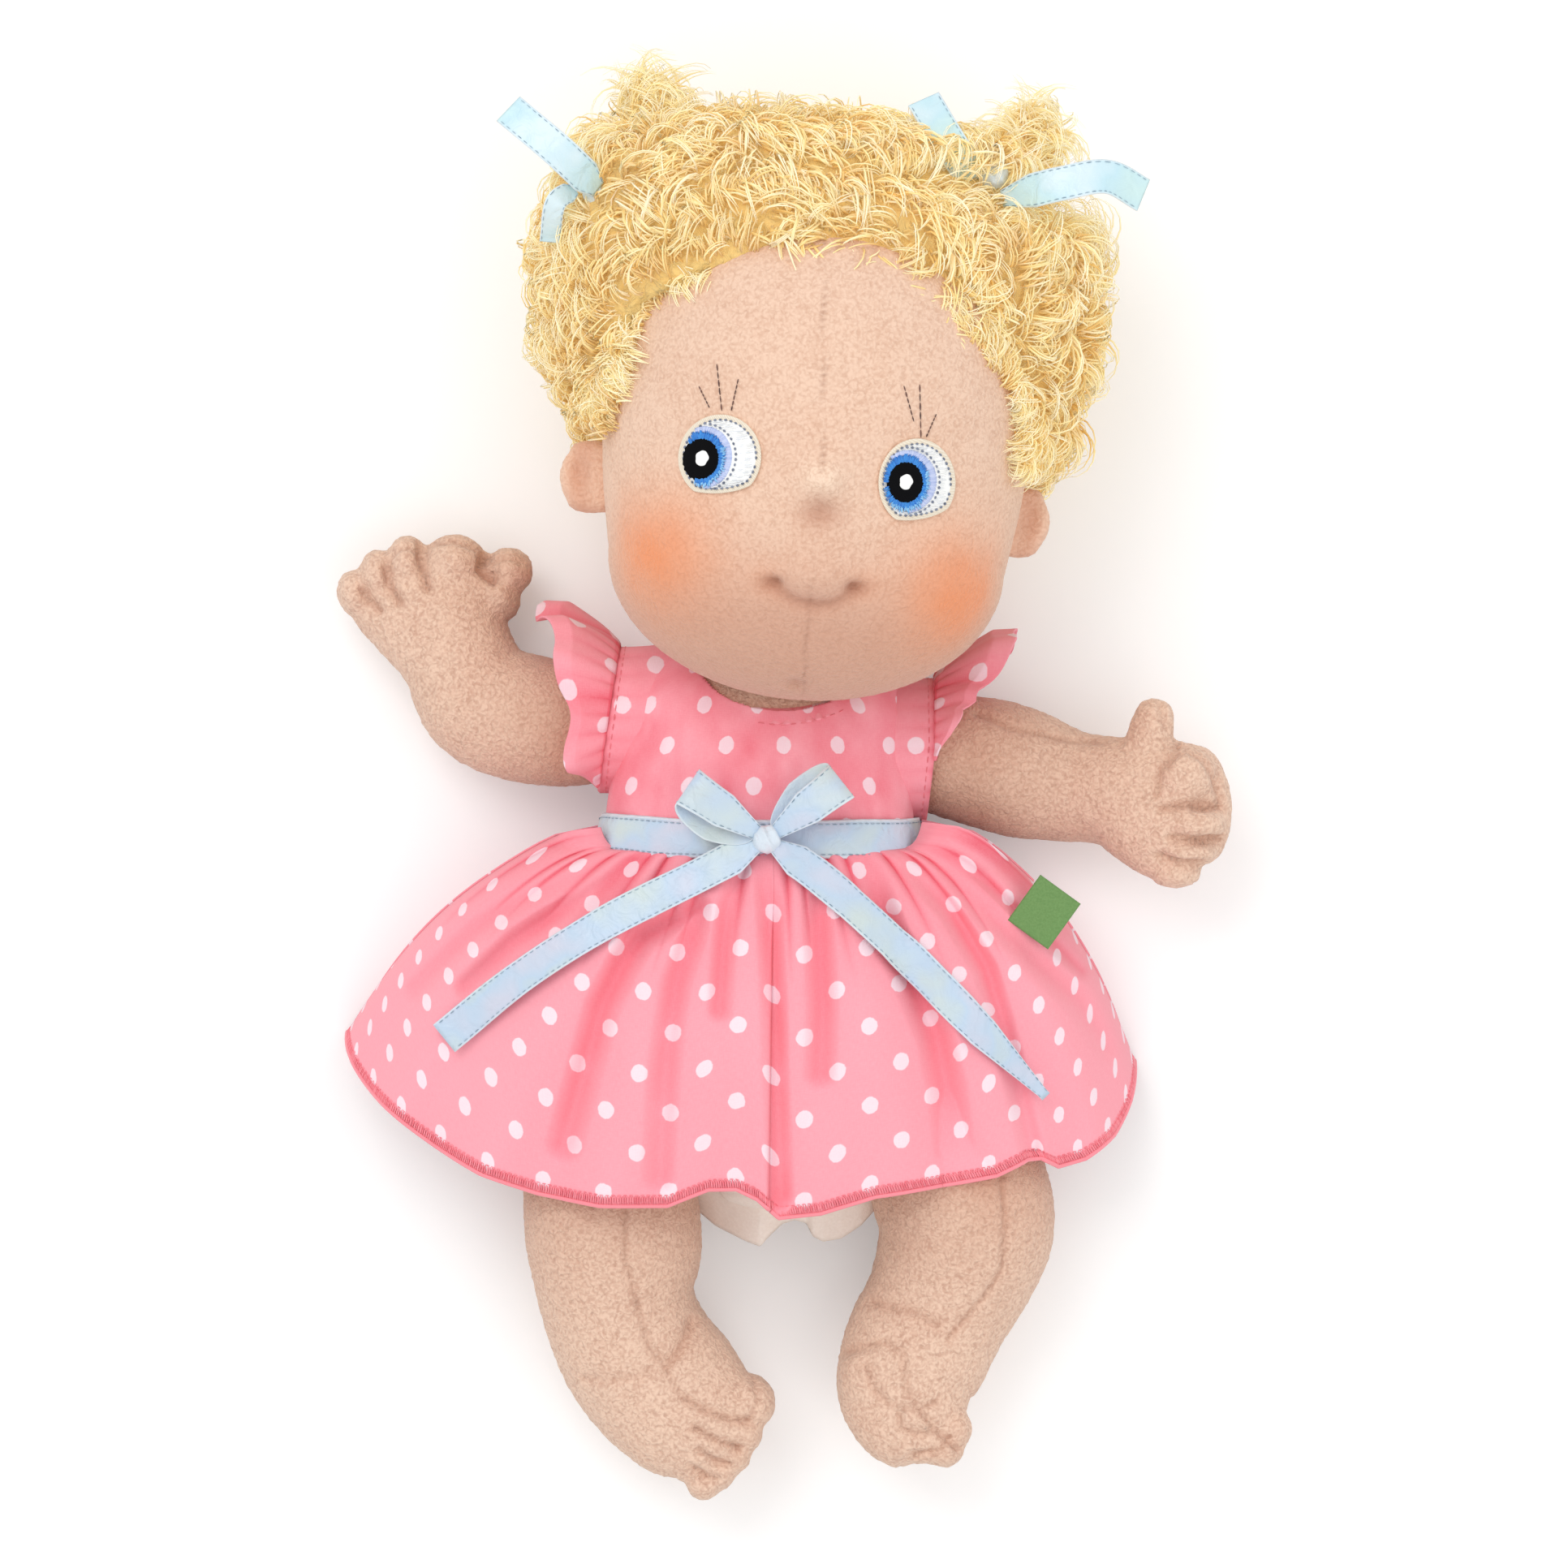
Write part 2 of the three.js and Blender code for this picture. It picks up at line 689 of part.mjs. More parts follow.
let torso = above(torsoForm(0), clothThickness + gap);
for (const room of [...armRoom, ...legRoom, neckRoom, headRoom]) {
  torso = torso.subtract(room);
}
const tapeRoom = block(tapeWidth + 2 * gap, tapeLength + 2 * gap, tapeReach, 0, tapeY, 0);
torso = torso.subtract(backLayer(clothThickness, clothThickness + tapeStack).intersect(tapeRoom));
place("torso", largest(torso), fleece);
place("neck", neckForm(0), fleece);

for (const [side, arm] of Object.entries(arms)) {
  const whole = armForm(arm, 0).add(fingers(arm));
  place(`arm_${side}`, above(whole, 0), fleece);
  place(`shoulder_patch_${side}`, seamPatch(arm.root, armRadius, inwards[side]), blushFleece);
}
for (const [side, leg] of Object.entries(legs)) {
  const whole = legForm(leg, 0).add(toes(leg));
  place(`leg_${side}`, above(whole, 0), fleece);
  place(`hip_patch_${side}`, seamPatch(leg.root, thighRadius, upInwards[side]), blushFleece);
}

// Head, ears, wig and eyes, in a group that leans with the head

const headGroup = new THREE.Group();
headGroup.position.copy(headCentre);
headGroup.rotation.z = THREE.MathUtils.degToRad(headRoll);
doll.add(headGroup);

const head = headForm(0).subtract(toHead(neckForm(gap)));
place("head", head, fleece, headGroup);

const ears = { right: -1, left: 1 };
let wig = above(wigForm(0), 0).subtract(headForm(2 * gap, 20)).subtract(faceOpening());
for (const [side, sign] of Object.entries(ears)) {
  wig = wig.subtract(earForm(sign, 2 * gap));
  place(`ear_${side}`, largest(earForm(sign, 0).subtract(headForm(gap))), fleece, headGroup);
}
wig = wig.subtract(toHead(neckForm(2 * gap)));
place("wig", largest(wig), curls, headGroup);

for (const [side, sign] of Object.entries(ears)) {
  place(`bunch_${side}`, largest(bunchForm(sign, 0).subtract(wigForm(gap))), curls, headGroup);
  const patch = onFace(gap, eyePatchThickness, eyePrism(sign, 0, eyePatchWide, eyePatchTall));
  place(`eye_patch_${side}`, patch, twill, headGroup);
  const thread = (wide, tall, hollowWide, hollowTall) => {
    const outer = eyePrism(sign, -eyeGlance, wide, tall);
    const lift = eyePatchThickness + 2 * gap;
    const ring = onFace(lift, threadThickness, outer);
    return hollowWide ? ring.subtract(eyePrism(sign, -eyeGlance, hollowWide, hollowTall)) : ring;
  };
  const iris = thread(irisRadius, irisRadius + 0.6, pupilWide + gap, pupilTall + gap);
  place(`iris_${side}`, iris, irisThread, headGroup);
  const pupil = thread(pupilWide, pupilTall, glintRadius + gap, glintRadius + gap);
  place(`pupil_${side}`, pupil, pupilThread, headGroup);
  place(`glint_${side}`, thread(glintRadius, glintRadius), glintThread, headGroup);
}

// Nappy

let nappy = torsoForm(gap + nappyThickness).subtract(torsoForm(gap));
nappy = between(nappy, -farAway, nappyTop);
for (const room of legRoom) {
  nappy = nappy.subtract(room);
}
place("nappy", largest(nappy), nappyCloth);

for (const [side, sign] of Object.entries(ears)) {
  const lift = 2 * gap + nappyThickness;
  const shell = torsoForm(lift + clothThickness * 0.8).subtract(torsoForm(lift));
  const middle = { x: (sign * tabSpacing) / 2, y: nappyTop - tabDrop };
  const spot = block(tabLength, tabWidth, farAway, middle.x, middle.y, farAway / 2 + hips.deep);
  place(`nappy_tab_${side}`, shell.intersect(spot), tapeNylon);
}

// Dress

const bodiceLift = dressLooseness + clothThickness;
const bodiceShell = backLayer(bodiceLift, clothThickness);
const middleHeight = shoulders.lift + shoulders.deep;

function neckHole(margin) {
  const wide = neckHoleWide + margin;
  const front = ovalPrism(neckHoleX, neckHoleY, wide, neckHoleFront + margin, middleHeight, farAway / 2);
  const back = ovalPrism(neckHoleX, neckHoleY, wide, neckHoleBack + margin, -farAway / 2, middleHeight);
  return front.add(back);
}

const armHoles = Object.values(arms).map((arm) => armRoot(arm, rootClearance + gap));
let bodice = between(bodiceShell, bodiceHem, farAway / 2).subtract(neckHole(0));
for (const hole of [...armHoles, headRoom]) {
  bodice = bodice.subtract(hole);
}
place("bodice", largest(bodice), cotton);

const bindingLift = bodiceLift + gap;
let binding = torsoForm(bindingLift + bindingThickness).subtract(torsoForm(bindingLift));
binding = above(binding, 0).intersect(neckHole(bindingWidth)).subtract(neckHole(0));
for (const hole of [...armHoles, headRoom]) {
  binding = binding.subtract(hole);
}
place("neck_binding", largest(binding), cottonEdge);

["hook_strip", "loop_strip"].forEach((name, i) => {
  const lift = dressLooseness - gap - i * (tapeThickness + gap);
  const spot = block(tapeWidth, tapeLength, tapeReach, 0, tapeY, 0);
  place(name, backLayer(lift, tapeThickness).intersect(spot), tapeNylon);
});

const sashLift = bodiceLift + 3 * gap;
const sash = torsoForm(sashLift + ribbonThickness).subtract(torsoForm(sashLift));
place("waist_sash", above(between(sash, sashTop - sashWidth, sashTop), 0), satin);

// Skirt: a gathered tube that is flattened against the floor behind and falls over the legs in front

// The torso's middle and half sizes at a height along the body
function torsoAt(y) {
  const line = new THREE.CatmullRomCurve3(torsoStations.map((s) => new THREE.Vector3(s.x, s.y, s.z)));
  const radii = torsoStations.map((s) => new THREE.Vector3(s.wide, s.deep, 0));
  const size = new THREE.CatmullRomCurve3(radii, false, "catmullrom");
  const u = solve((share) => line.getPoint(share).y - y, 0, 1);
  const { x: wide, y: deep } = size.getPoint(u);
  return { ...line.getPoint(u), wide, deep };
}

// Where a rising function crosses zero, by halving
function solve(f, low, high) {
  for (let i = 0; i < 40; i += 1) {
    const middle = (low + high) / 2;
    if (f(middle) < 0) {
      low = middle;
    } else {
      high = middle;
    }
  }
  return low;
}

const skirtTop = bodiceHem - gap;
const bandLift = bodiceLift + gap / 2;
const skirtFlare = torsoAt(skirtTop - skirtBand);

function mix(a, b, share) {
  return a + (b - a) * share;
}

// How deep in one of the front's folds a turn is, from 0 on a ridge to 1 in the middle of a fold
function valleyShare(turn) {
  const degrees = THREE.MathUtils.radToDeg(turn);
  const depths = skirtValleys.map((middle) => Math.exp(-(((degrees - middle) / skirtValleyWide) ** 2)));
  return Math.min(1, depths.reduce((sum, depth) => sum + depth, 0));
}

// A point of the skirt's outer face: turn goes round the waist from the doll's left over the front,
// fall goes from the waist to the hem, and fold is how much of the folds' depth is drawn
function skirtPoint(turn, fall, fold = 1) {
  const side = Math.cos(turn);
  const front = Math.max(0, Math.sin(turn));
  const back = Math.max(0, -Math.sin(turn));
  const top = {
    x: skirtFlare.x + (skirtFlare.wide + bandLift) * side,
    z: skirtFlare.z + (skirtFlare.deep + bandLift) * Math.sin(turn),
  };
  const hemHeight = mix(skirtHemLow, skirtHemHeight, front ** 0.7);
  const settle = back > 0 ? THREE.MathUtils.smoothstep(fall * 2.5, 0, 1) : fall;
  const ease = mix(fall, settle, Math.min(1, 3 * back));
  const wave = (1 - 2 * valleyShare(turn)) * fold;
  const spread = mix(skirtSpread, skirtSideSpread, Math.abs(side) ** 3);
  const height = mix(top.z, hemHeight, ease) + skirtPuff * Math.sin(Math.PI * fall) * front;
  return new THREE.Vector3(
    mix(top.x, skirtHemX + skirtHemSide * side, fall ** spread),
    mix(skirtTop - skirtBand, skirtHemY - skirtHemFront * front - skirtHemBack * back, fall) - wave * fall,
    height + skirtFoldDepth * fall ** 0.6 * wave * Math.min(1, 2 * front),
  );
}

function skirtBandPoint(turn, y) {
  const section = torsoAt(y);
  return new THREE.Vector3(
    section.x + (section.wide + bandLift) * Math.cos(turn),
    y,
    section.z + (section.deep + bandLift) * Math.sin(turn),
  );
}

// The same face moved in by the cloth's thickness along its normal
function inside(point, turn, face) {
  const step = 1e-3;
  const alongTurn = face(turn + step, 0).sub(face(turn - step, 0));
  const alongFall = face(turn, step).sub(face(turn, -step));
  return point.clone().addScaledVector(alongTurn.cross(alongFall).normalize(), -clothThickness);
}

function skirtForm() {
  const samples = skirtSamples;
  const falls = [0.06, 0.3, 0.55, 0.8, 1];
  const turns = Array.from({ length: samples }, (_, j) => (2 * Math.PI * j) / samples);
  const outer = [turns.map((turn) => skirtBandPoint(turn, skirtTop))];
  const inner = [
    turns.map((turn, j) => inside(outer[0][j], turn, (t, d) => skirtBandPoint(t, skirtTop - 50 * d))),
  ];
  for (const fall of [0, ...falls]) {
    const ring = turns.map((turn) => skirtPoint(turn, fall));
    outer.push(ring);
    const face = (t, d) => skirtPoint(t, Math.max(0, fall + d));
    inner.push(ring.map((point, j) => inside(point, turns[j], face)));
  }
  return skin([...outer, ...inner.reverse()], null);
}

place("skirt", above(skirtForm(), 0.05), cotton);

// The skirt's height without its folds, over a place in the plan
function skirtHeight(x, y) {
  const fallAt = (turn) => {
    const hem = skirtHemY - skirtHemFront * Math.sin(turn);
    return (y - skirtTop + skirtBand) / (hem - skirtTop + skirtBand);
  };
  const turn = solve((t) => x - skirtPoint(t, Math.max(0, fallAt(t)), 0).x, 0, Math.PI);
  return skirtPoint(turn, Math.max(0, fallAt(turn)), 0).z;
}

// Flutter sleeves, gathered round the armholes and wider over the shoulder

function frillForm(arm) {
  const side = arm.raiseSign;
  const seam = armRadius + rootClearance + 2 * gap + clothThickness;
  const span = THREE.MathUtils.degToRad(frillSpan);
  const samples = 6 * frillFolds;
  const face = (share, out, lift) => {
    const angle = mix(-span, span, share);
    const fullness = Math.cos((angle / span) * (Math.PI / 2)) ** 0.6;
    const reach = out * mix(0.35, 1, fullness);
    const wave = Math.cos(2 * Math.PI * frillFolds * share) * frillFoldDepth;
    const flare = frillFlare * Math.max(0, Math.cos(angle * 0.7));
    const radius = seam + (flare + wave) * Math.max(0, reach) + lift;
    const height = arm.root.z + radius * Math.sin(angle);
    return new THREE.Vector3(
      side * (frillSeamX + frillWidth * reach),
      arm.root.y + radius * Math.cos(angle),
      Math.max(height, frillLow + lift * 0.5),
    );
  };
  const rings = [];
  for (let i = 0; i <= samples; i += 1) {
    const share = i / samples;
    const outs = [frillRoot, 0.2, 0.6, 1];
    const top = outs.map((out) => face(share, out, frillThickness));
    const bottom = outs.map((out) => face(share, out, 0)).reverse();
    rings.push([...top, ...bottom]);
  }
  return capped(rings);
}

// A surface of rings with a flat face across each end
function capped(rings) {
  const middle = (ring) => ring.reduce((sum, p) => sum.add(p), new THREE.Vector3()).divideScalar(ring.length);
  return skin(rings, [middle(rings[0]), middle(rings[rings.length - 1])]);
}

for (const [side, arm] of Object.entries(arms)) {
  const collar = neckHole(bindingWidth + gap).add(headRoom);
  const frill = frillForm(arm).subtract(torsoForm(bodiceLift + gap)).subtract(collar);
  place(`frill_${side}`, largest(frill), cotton);
}

// Bow of satin ribbon

// A flat ribbon along points, with each end cut square. It faces the way that upAt gives at a point.
function ribbonStrip(points, widthAt = () => ribbonWidth, upAt = () => new THREE.Vector3(0, 0, 1)) {
  const line = new THREE.CatmullRomCurve3(points.map((p) => new THREE.Vector3(...p)));
  const spans = 3 * (points.length - 1);
  const rings = [];
  for (let i = 0; i <= spans; i += 1) {
    const middle = line.getPoint(i / spans);
    const along = line.getTangent(i / spans);
    const across = along.clone().cross(upAt(middle)).normalize().multiplyScalar(widthAt(i / spans) / 2);
    const normal = across.clone().cross(along).normalize().multiplyScalar(ribbonThickness / 2);
    rings.push([
      middle.clone().add(across).add(normal),
      middle.clone().sub(across).add(normal),
      middle.clone().sub(across).sub(normal),
      middle.clone().add(across).sub(normal),
    ]);
  }
  return capped(rings);
}

// A ribbon turned back on itself in a flat drop: it leaves the start, rounds the far end and returns
function ribbonLoop(start, heading, length, height, width) {
  const steps = 14;
  const way = new THREE.Vector3(Math.cos(heading), Math.sin(heading), 0);
  const across = new THREE.Vector3(-way.y, way.x, 0);
  const path = (angle, inset) => {
    const out = (1 - Math.cos(angle)) / 2;
    const rise = (height / 2 - inset) * Math.sin(angle) * mix(0.6, 1, out);
    return { along: mix(inset, length - inset, out), rise };
  };
  const rings = [];
  for (let i = 0; i < steps; i += 1) {
    const angle = (2 * Math.PI * i) / steps;
    const corners = [[0, 1], [0, -1], [ribbonThickness, -1], [ribbonThickness, 1]];
    const out = (1 - Math.cos(angle)) / 2;
    const half = (width / 2) * mix(0.45, 1, Math.min(1, 2 * out));
    rings.push(corners.map(([inset, hand]) => {
      const { along, rise } = path(angle, inset);
      const point = start.clone().addScaledVector(way, along).addScaledVector(across, hand * half);
      return point.setZ(point.z + rise);
    }));
  }
  return skin(rings, null);
}

// A ribbon's knot: a small plump roll across the ribbon
function knotForm(centre, width, length, height) {
  const half = width / 2 - 1;
  const stations = [-half, 0, half].map((x) => ({
    x: centre.x + x,
    y: centre.y,
    z: centre.z,
    wide: length / 2,
    deep: height / 2,
  }));
  return stuffed(stations, { sides: 12, steps: 1, domes: [1, 1], domeSteps: 2 });
}

const sashMiddle = sashTop - sashWidth / 2;
const sashFace = torsoAt(sashMiddle);
const sashHeight = sashFace.z + sashFace.deep + sashLift + ribbonThickness;
const knotCentre = new THREE.Vector3(knotX, sashMiddle, sashHeight + gap + knotHeight / 2);
place("bow_knot", knotForm(knotCentre, knotWidth, knotLength, knotHeight), satin);

["right", "left"].forEach((side, i) => {
  const heading = THREE.MathUtils.degToRad(loopHeadings[i]);
  const way = new THREE.Vector3(Math.cos(heading), Math.sin(heading), 0);
  const start = knotCentre.clone().addScaledVector(way, knotWidth / 2 + gap + 0.3);
  start.z = sashHeight + gap + loopHeight / 2;
  place(`bow_loop_${side}`, ribbonLoop(start, heading, loopLength, loopHeight, ribbonWidth), satin);
});

// The way that the skirt faces there, or straight up near the sash
function skirtFacing({ x, y }) {
  const reach = ribbonWidth / 2;
  const slopeX = (skirtHeight(x + reach, y) - skirtHeight(x - reach, y)) / (2 * reach);
  const steep = THREE.MathUtils.smoothstep(-y, -bodiceHem, -bodiceHem + 2 * reach);
  return new THREE.Vector3(-slopeX * steep, 0, 1).normalize();
}

const tailWidth = (share) => ribbonWidth * THREE.MathUtils.clamp(0.4 + 4 * share, 0, 1);
for (const [side, plan] of Object.entries(bowTails)) {
  const points = plan.map(([x, y]) => {
    const rest = Math.max(skirtHeight(x, y) + skirtFoldDepth, y > skirtTop - skirtBand ? sashHeight : 0);
    return [x, y, rest + gap + ribbonThickness];
  });
  place(`bow_tail_${side}`, ribbonStrip(points, tailWidth, skirtFacing), satin);
}

// Ribbons in the hair: each bunch has a knot, with a tail and a short loop or second tail

for (const [side, ribbon] of Object.entries(hairRibbons)) {
  const hair = toDoll(wigForm(gap).add(bunchForm(ears[side], gap)));
  const knot = knotForm(new THREE.Vector3(...ribbon.knot), hairKnotWidth, hairKnotWidth, hairKnotHeight);
  place(`hair_knot_${side}`, largest(knot.subtract(hair)), satin);
  ribbon.tails.forEach((tail, i) => {
    place(`hair_tail_${side}_${i + 1}`, largest(ribbonStrip(tail).subtract(hair)), satin);
  });
}

// Side label

const labelTurn = THREE.MathUtils.degToRad(labelHeading);
const labelRest = Math.max(...[-1, 0, 1].map((along) => {
  const corner = new THREE.Vector2(-labelWidth / 2, (along * labelLength) / 2);
  corner.rotateAround(new THREE.Vector2(), labelTurn);
  return skirtHeight(labelMiddle.x + corner.x, labelMiddle.y + corner.y);
}));
const labelHeight = labelRest + skirtFoldDepth + gap + labelThickness - labelSettle;
const label = solidOf(
  new THREE.BoxGeometry(labelWidth, labelLength, labelThickness)
    .rotateZ(labelTurn)
    .translate(labelMiddle.x, labelMiddle.y, labelHeight),
);
place("side_label", label, labelCloth);

export default doll;
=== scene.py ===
import bpy
import numpy as np
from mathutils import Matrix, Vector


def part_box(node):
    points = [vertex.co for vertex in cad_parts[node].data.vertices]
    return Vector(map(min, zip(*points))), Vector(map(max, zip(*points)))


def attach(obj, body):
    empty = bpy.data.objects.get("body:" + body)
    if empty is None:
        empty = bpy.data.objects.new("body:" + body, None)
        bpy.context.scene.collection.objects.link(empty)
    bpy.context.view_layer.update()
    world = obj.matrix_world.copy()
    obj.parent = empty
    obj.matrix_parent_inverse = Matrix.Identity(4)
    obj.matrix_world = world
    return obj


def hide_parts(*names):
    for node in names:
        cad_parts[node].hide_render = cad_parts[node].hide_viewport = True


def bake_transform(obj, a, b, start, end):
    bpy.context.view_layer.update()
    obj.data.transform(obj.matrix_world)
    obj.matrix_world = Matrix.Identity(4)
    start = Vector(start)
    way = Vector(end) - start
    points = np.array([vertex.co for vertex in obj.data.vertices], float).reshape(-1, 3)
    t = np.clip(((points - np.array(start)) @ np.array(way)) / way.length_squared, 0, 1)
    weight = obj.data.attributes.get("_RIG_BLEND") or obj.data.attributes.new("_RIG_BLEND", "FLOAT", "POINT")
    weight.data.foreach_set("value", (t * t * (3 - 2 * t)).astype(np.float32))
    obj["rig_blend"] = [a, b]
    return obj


# A soft cloth baby doll in a spotted cotton dress, lying on its back on a white table.
# Everything is in metres: +Z is the way the face looks, +Y is towards the head.

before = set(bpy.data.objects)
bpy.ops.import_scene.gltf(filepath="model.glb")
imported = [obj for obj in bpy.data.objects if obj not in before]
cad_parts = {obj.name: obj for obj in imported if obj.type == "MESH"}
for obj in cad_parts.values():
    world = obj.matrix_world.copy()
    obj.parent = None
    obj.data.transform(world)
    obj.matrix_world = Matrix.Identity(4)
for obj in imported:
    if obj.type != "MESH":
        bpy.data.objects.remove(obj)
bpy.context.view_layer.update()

# ---------------------------------------------------------------------------------------------
# Camera, table and studio light. The camera looks straight down at the doll from two metres,
# with a long lens. The table is plain white card under large soft lamps.

scene = bpy.context.scene
scene.view_settings.view_transform = "Standard"

camera_data = bpy.data.cameras.new("camera")
camera_data.sensor_width = 36.0
camera_data.lens = 203.2
camera = bpy.data.objects.new("camera", camera_data)
camera.location = (0.00251, -0.00825, 2.0)
scene.collection.objects.link(camera)
scene.camera = camera


def add(tree, kind, inputs=(), **settings):
    """Adds a node, sets its own settings, and gives its inputs values or links from sockets."""
    made = tree.nodes.new(kind)
    for key, value in settings.items():
        setattr(made, key, value)
    for key, value in dict(inputs).items():
        if isinstance(value, bpy.types.NodeSocket):
            tree.links.new(value, made.inputs[key])
        else:
            made.inputs[key].default_value = value
    return made


def maths(tree, operation, *values, clamp=False):
    """What a maths node puts out for numbers or sockets."""
    return add(tree, "ShaderNodeMath", dict(enumerate(values)), operation=operation,
               use_clamp=clamp).outputs[0]


def finish(name, roughness=0.9, sheen=0.0, tint=(1, 1, 1), specular=0.3):
    """A material with one Principled shader, whose constant values stand on its own sockets."""
    material = bpy.data.materials.new(name)
    material.use_nodes = True
    shader = material.node_tree.nodes["Principled BSDF"]
    for socket, value in (("Roughness", roughness), ("Sheen Weight", sheen), ("Sheen Roughness", 0.45),
                          ("Sheen Tint", (*tint, 1)), ("Specular IOR Level", specular)):
        shader.inputs[socket].default_value = value
    return material, material.node_tree, shader


def lamp(name, place, aim, size, power):
    """A square soft lamp at a place, turned to face another."""
    data = bpy.data.lights.new(name, "AREA")
    data.size = size
    data.energy = power
    made = bpy.data.objects.new(name, data)
    way = np.array(aim) - np.array(place)
    level = float(np.hypot(way[0], way[1]))
    made.location = place
    made.rotation_euler = (float(np.arctan2(level, -way[2])), 0, float(np.arctan2(-way[0], way[1])))
    scene.collection.objects.link(made)


lamp("key_lamp", (-0.55, 0.75, 1.35), (0, 0, 0), 0.9, 6.4)
lamp("fill_lamp", (0.8, -0.5, 1.2), (0, 0, 0), 1.2, 3.2)

world = bpy.data.worlds.new("studio")
world.use_nodes = True
sky = world.node_tree
sky_ray = add(sky, "ShaderNodeLightPath").outputs
sky_seen = maths(sky, "MAXIMUM", sky_ray["Is Camera Ray"], sky_ray["Is Transmission Ray"])
sky_light = sky.nodes["Background"]
sky_light.inputs["Strength"].default_value = 0.86
sky_light.inputs["Color"].default_value = (1, 1, 1, 1)
sky_white = add(sky, "ShaderNodeBackground", {"Color": (1, 1, 1, 1), "Strength": 1.0})
sky_mix = add(sky, "ShaderNodeMixShader", {0: sky_seen, 1: sky_light.outputs[0], 2: sky_white.outputs[0]})
sky.links.new(sky_mix.outputs[0], sky.nodes["World Output"].inputs["Surface"])
scene.world = world

table_mesh = bpy.data.meshes.new("table")
table_mesh.from_pydata([(-3, -3, 0), (3, -3, 0), (3, 3, 0), (-3, 3, 0)], [], [(0, 1, 2, 3)])
table = bpy.data.objects.new("table", table_mesh)
scene.collection.objects.link(table)
table.location = (0, 0, -0.0002)
card, card_tree, card_shader = finish("white_card", roughness=0.95, specular=0.0)
card_shader.inputs["Base Color"].default_value = (0.86, 0.86, 0.86, 1)
card_ray = add(card_tree, "ShaderNodeLightPath").outputs
card_seen = maths(card_tree, "MAXIMUM", card_ray["Is Camera Ray"], card_ray["Is Glossy Ray"])
card_shader.inputs["Emission Color"].default_value = (1, 1, 1, 1)
card_tree.links.new(maths(card_tree, "MULTIPLY", card_seen, 0.2), card_shader.inputs["Emission Strength"])
table_mesh.materials.append(card)

# ---------------------------------------------------------------------------------------------
# The torso: a body of flesh-coloured fleece, filled with stuffing and beans. It lies on its
# back, so the back is pressed flat. The dress and the nappy cover nearly all of it.

MM = 0.001


def smooth_line(points, share):
    """A Catmull-Rom line through rows whose first three numbers are a place and the rest sizes
    there, at shares of its spans from 0 to 1.

    The tangent at a point is the mean slope of the spans beside it, each as long as the square
    root of its distance; between two points runs the cubic with those tangents."""
    rows = np.asarray(points, float)
    rows = np.vstack([2 * rows[0] - rows[1], rows, 2 * rows[-1] - rows[-2]])
    spans = len(rows) - 3
    place = np.clip(np.asarray(share, float) * spans, 0, spans - 1e-9)
    start = place.astype(int)
    w = (place - start)[..., None]
    a, b, c, d = (rows[start + k] for k in range(4))
    gaps = [np.maximum(np.linalg.norm((q - p)[..., :3], axis=-1, keepdims=True), 1e-9) ** 0.5
            for p, q in ((a, b), (b, c), (c, d))]
    slope = ((b - a) / gaps[0] - (c - a) / (gaps[0] + gaps[1]) + (c - b) / gaps[1]) * gaps[1]
    next_slope = ((c - b) / gaps[1] - (d - b) / (gaps[1] + gaps[2]) + (d - c) / gaps[2]) * gaps[1]
    return (b + slope * w + (3 * (c - b) - 2 * slope - next_slope) * w ** 2
            + (2 * (b - c) + slope + next_slope) * w ** 3)


def unit(rows):
    """Each row divided by its length."""
    return rows / np.maximum(np.linalg.norm(rows, axis=-1, keepdims=True), 1e-12)


def frame_on(stations, share, grow):
    """The middle, tangent, sideways axis, front axis and half sizes at shares along a form's line.

    The sideways axis = tangent x up and the front axis = sideways x tangent."""
    ahead, behind = (smooth_line(stations, np.clip(share + step, 0, 1))[:, :3] for step in (0.05, -0.05))
    tangent = unit(ahead - behind)
    side = unit(np.cross(tangent, [0, 0, 1]))
    here = smooth_line(stations, share)
    return here[:, :3], tangent, side, np.cross(side, tangent), here[:, 3:5] + grow


def stuffed(stations, domes, around, along, grow=0.0, dome_rings=0):
    """A stuffed form as a grid of points, in millimetres, of rings round a smooth line.

    A point is the line's middle + side wide cos a + front deep sin a. At both ends the rings close
    as a dome: they shrink by cos e while they move out by the dome's height times sin e."""
    end = np.linspace(1, 0, max(5, along // 12, dome_rings))[1:-1] * np.pi / 2
    share = np.concatenate([np.zeros(len(end)), np.linspace(0, 1, along), np.ones(len(end))])
    lean = np.concatenate([end, np.zeros(along), end[::-1]])
    middle, tangent, side, front, size = frame_on(stations, share, grow)
    push = np.sin(lean) * np.where(share < 0.5, -(domes[0] + grow), domes[1] + grow)
    middle = middle + tangent * push[:, None]
    size = size * np.cos(lean)[:, None]
    angle = np.linspace(0, 2 * np.pi, around, endpoint=False)
    return (middle[:, None] + side[:, None] * size[:, None, :1] * np.cos(angle)[None, :, None]
            + front[:, None] * size[:, None, 1:] * np.sin(angle)[None, :, None])


def grid_faces(rows, columns, wrapped, poles):
    """Quads of a grid, the last column joined to the first if wrapped, with a fan to each pole."""
    i, j = np.meshgrid(np.arange(rows - 1), np.arange(columns if wrapped else columns - 1), indexing="ij")
    k = (j + 1) % columns
    quads = np.stack([i * columns + j, i * columns + k, (i + 1) * columns + k, (i + 1) * columns + j], -1)
    faces = quads.reshape(-1, 4).tolist()
    if poles:
        j = np.arange(columns)
        k = (j + 1) % columns
        first, last, end = rows * columns, rows * columns + 1, (rows - 1) * columns
        faces += np.stack([np.full(columns, first), k, j], -1).tolist()
        faces += np.stack([np.full(columns, last), end + j, end + k], -1).tolist()
    return faces


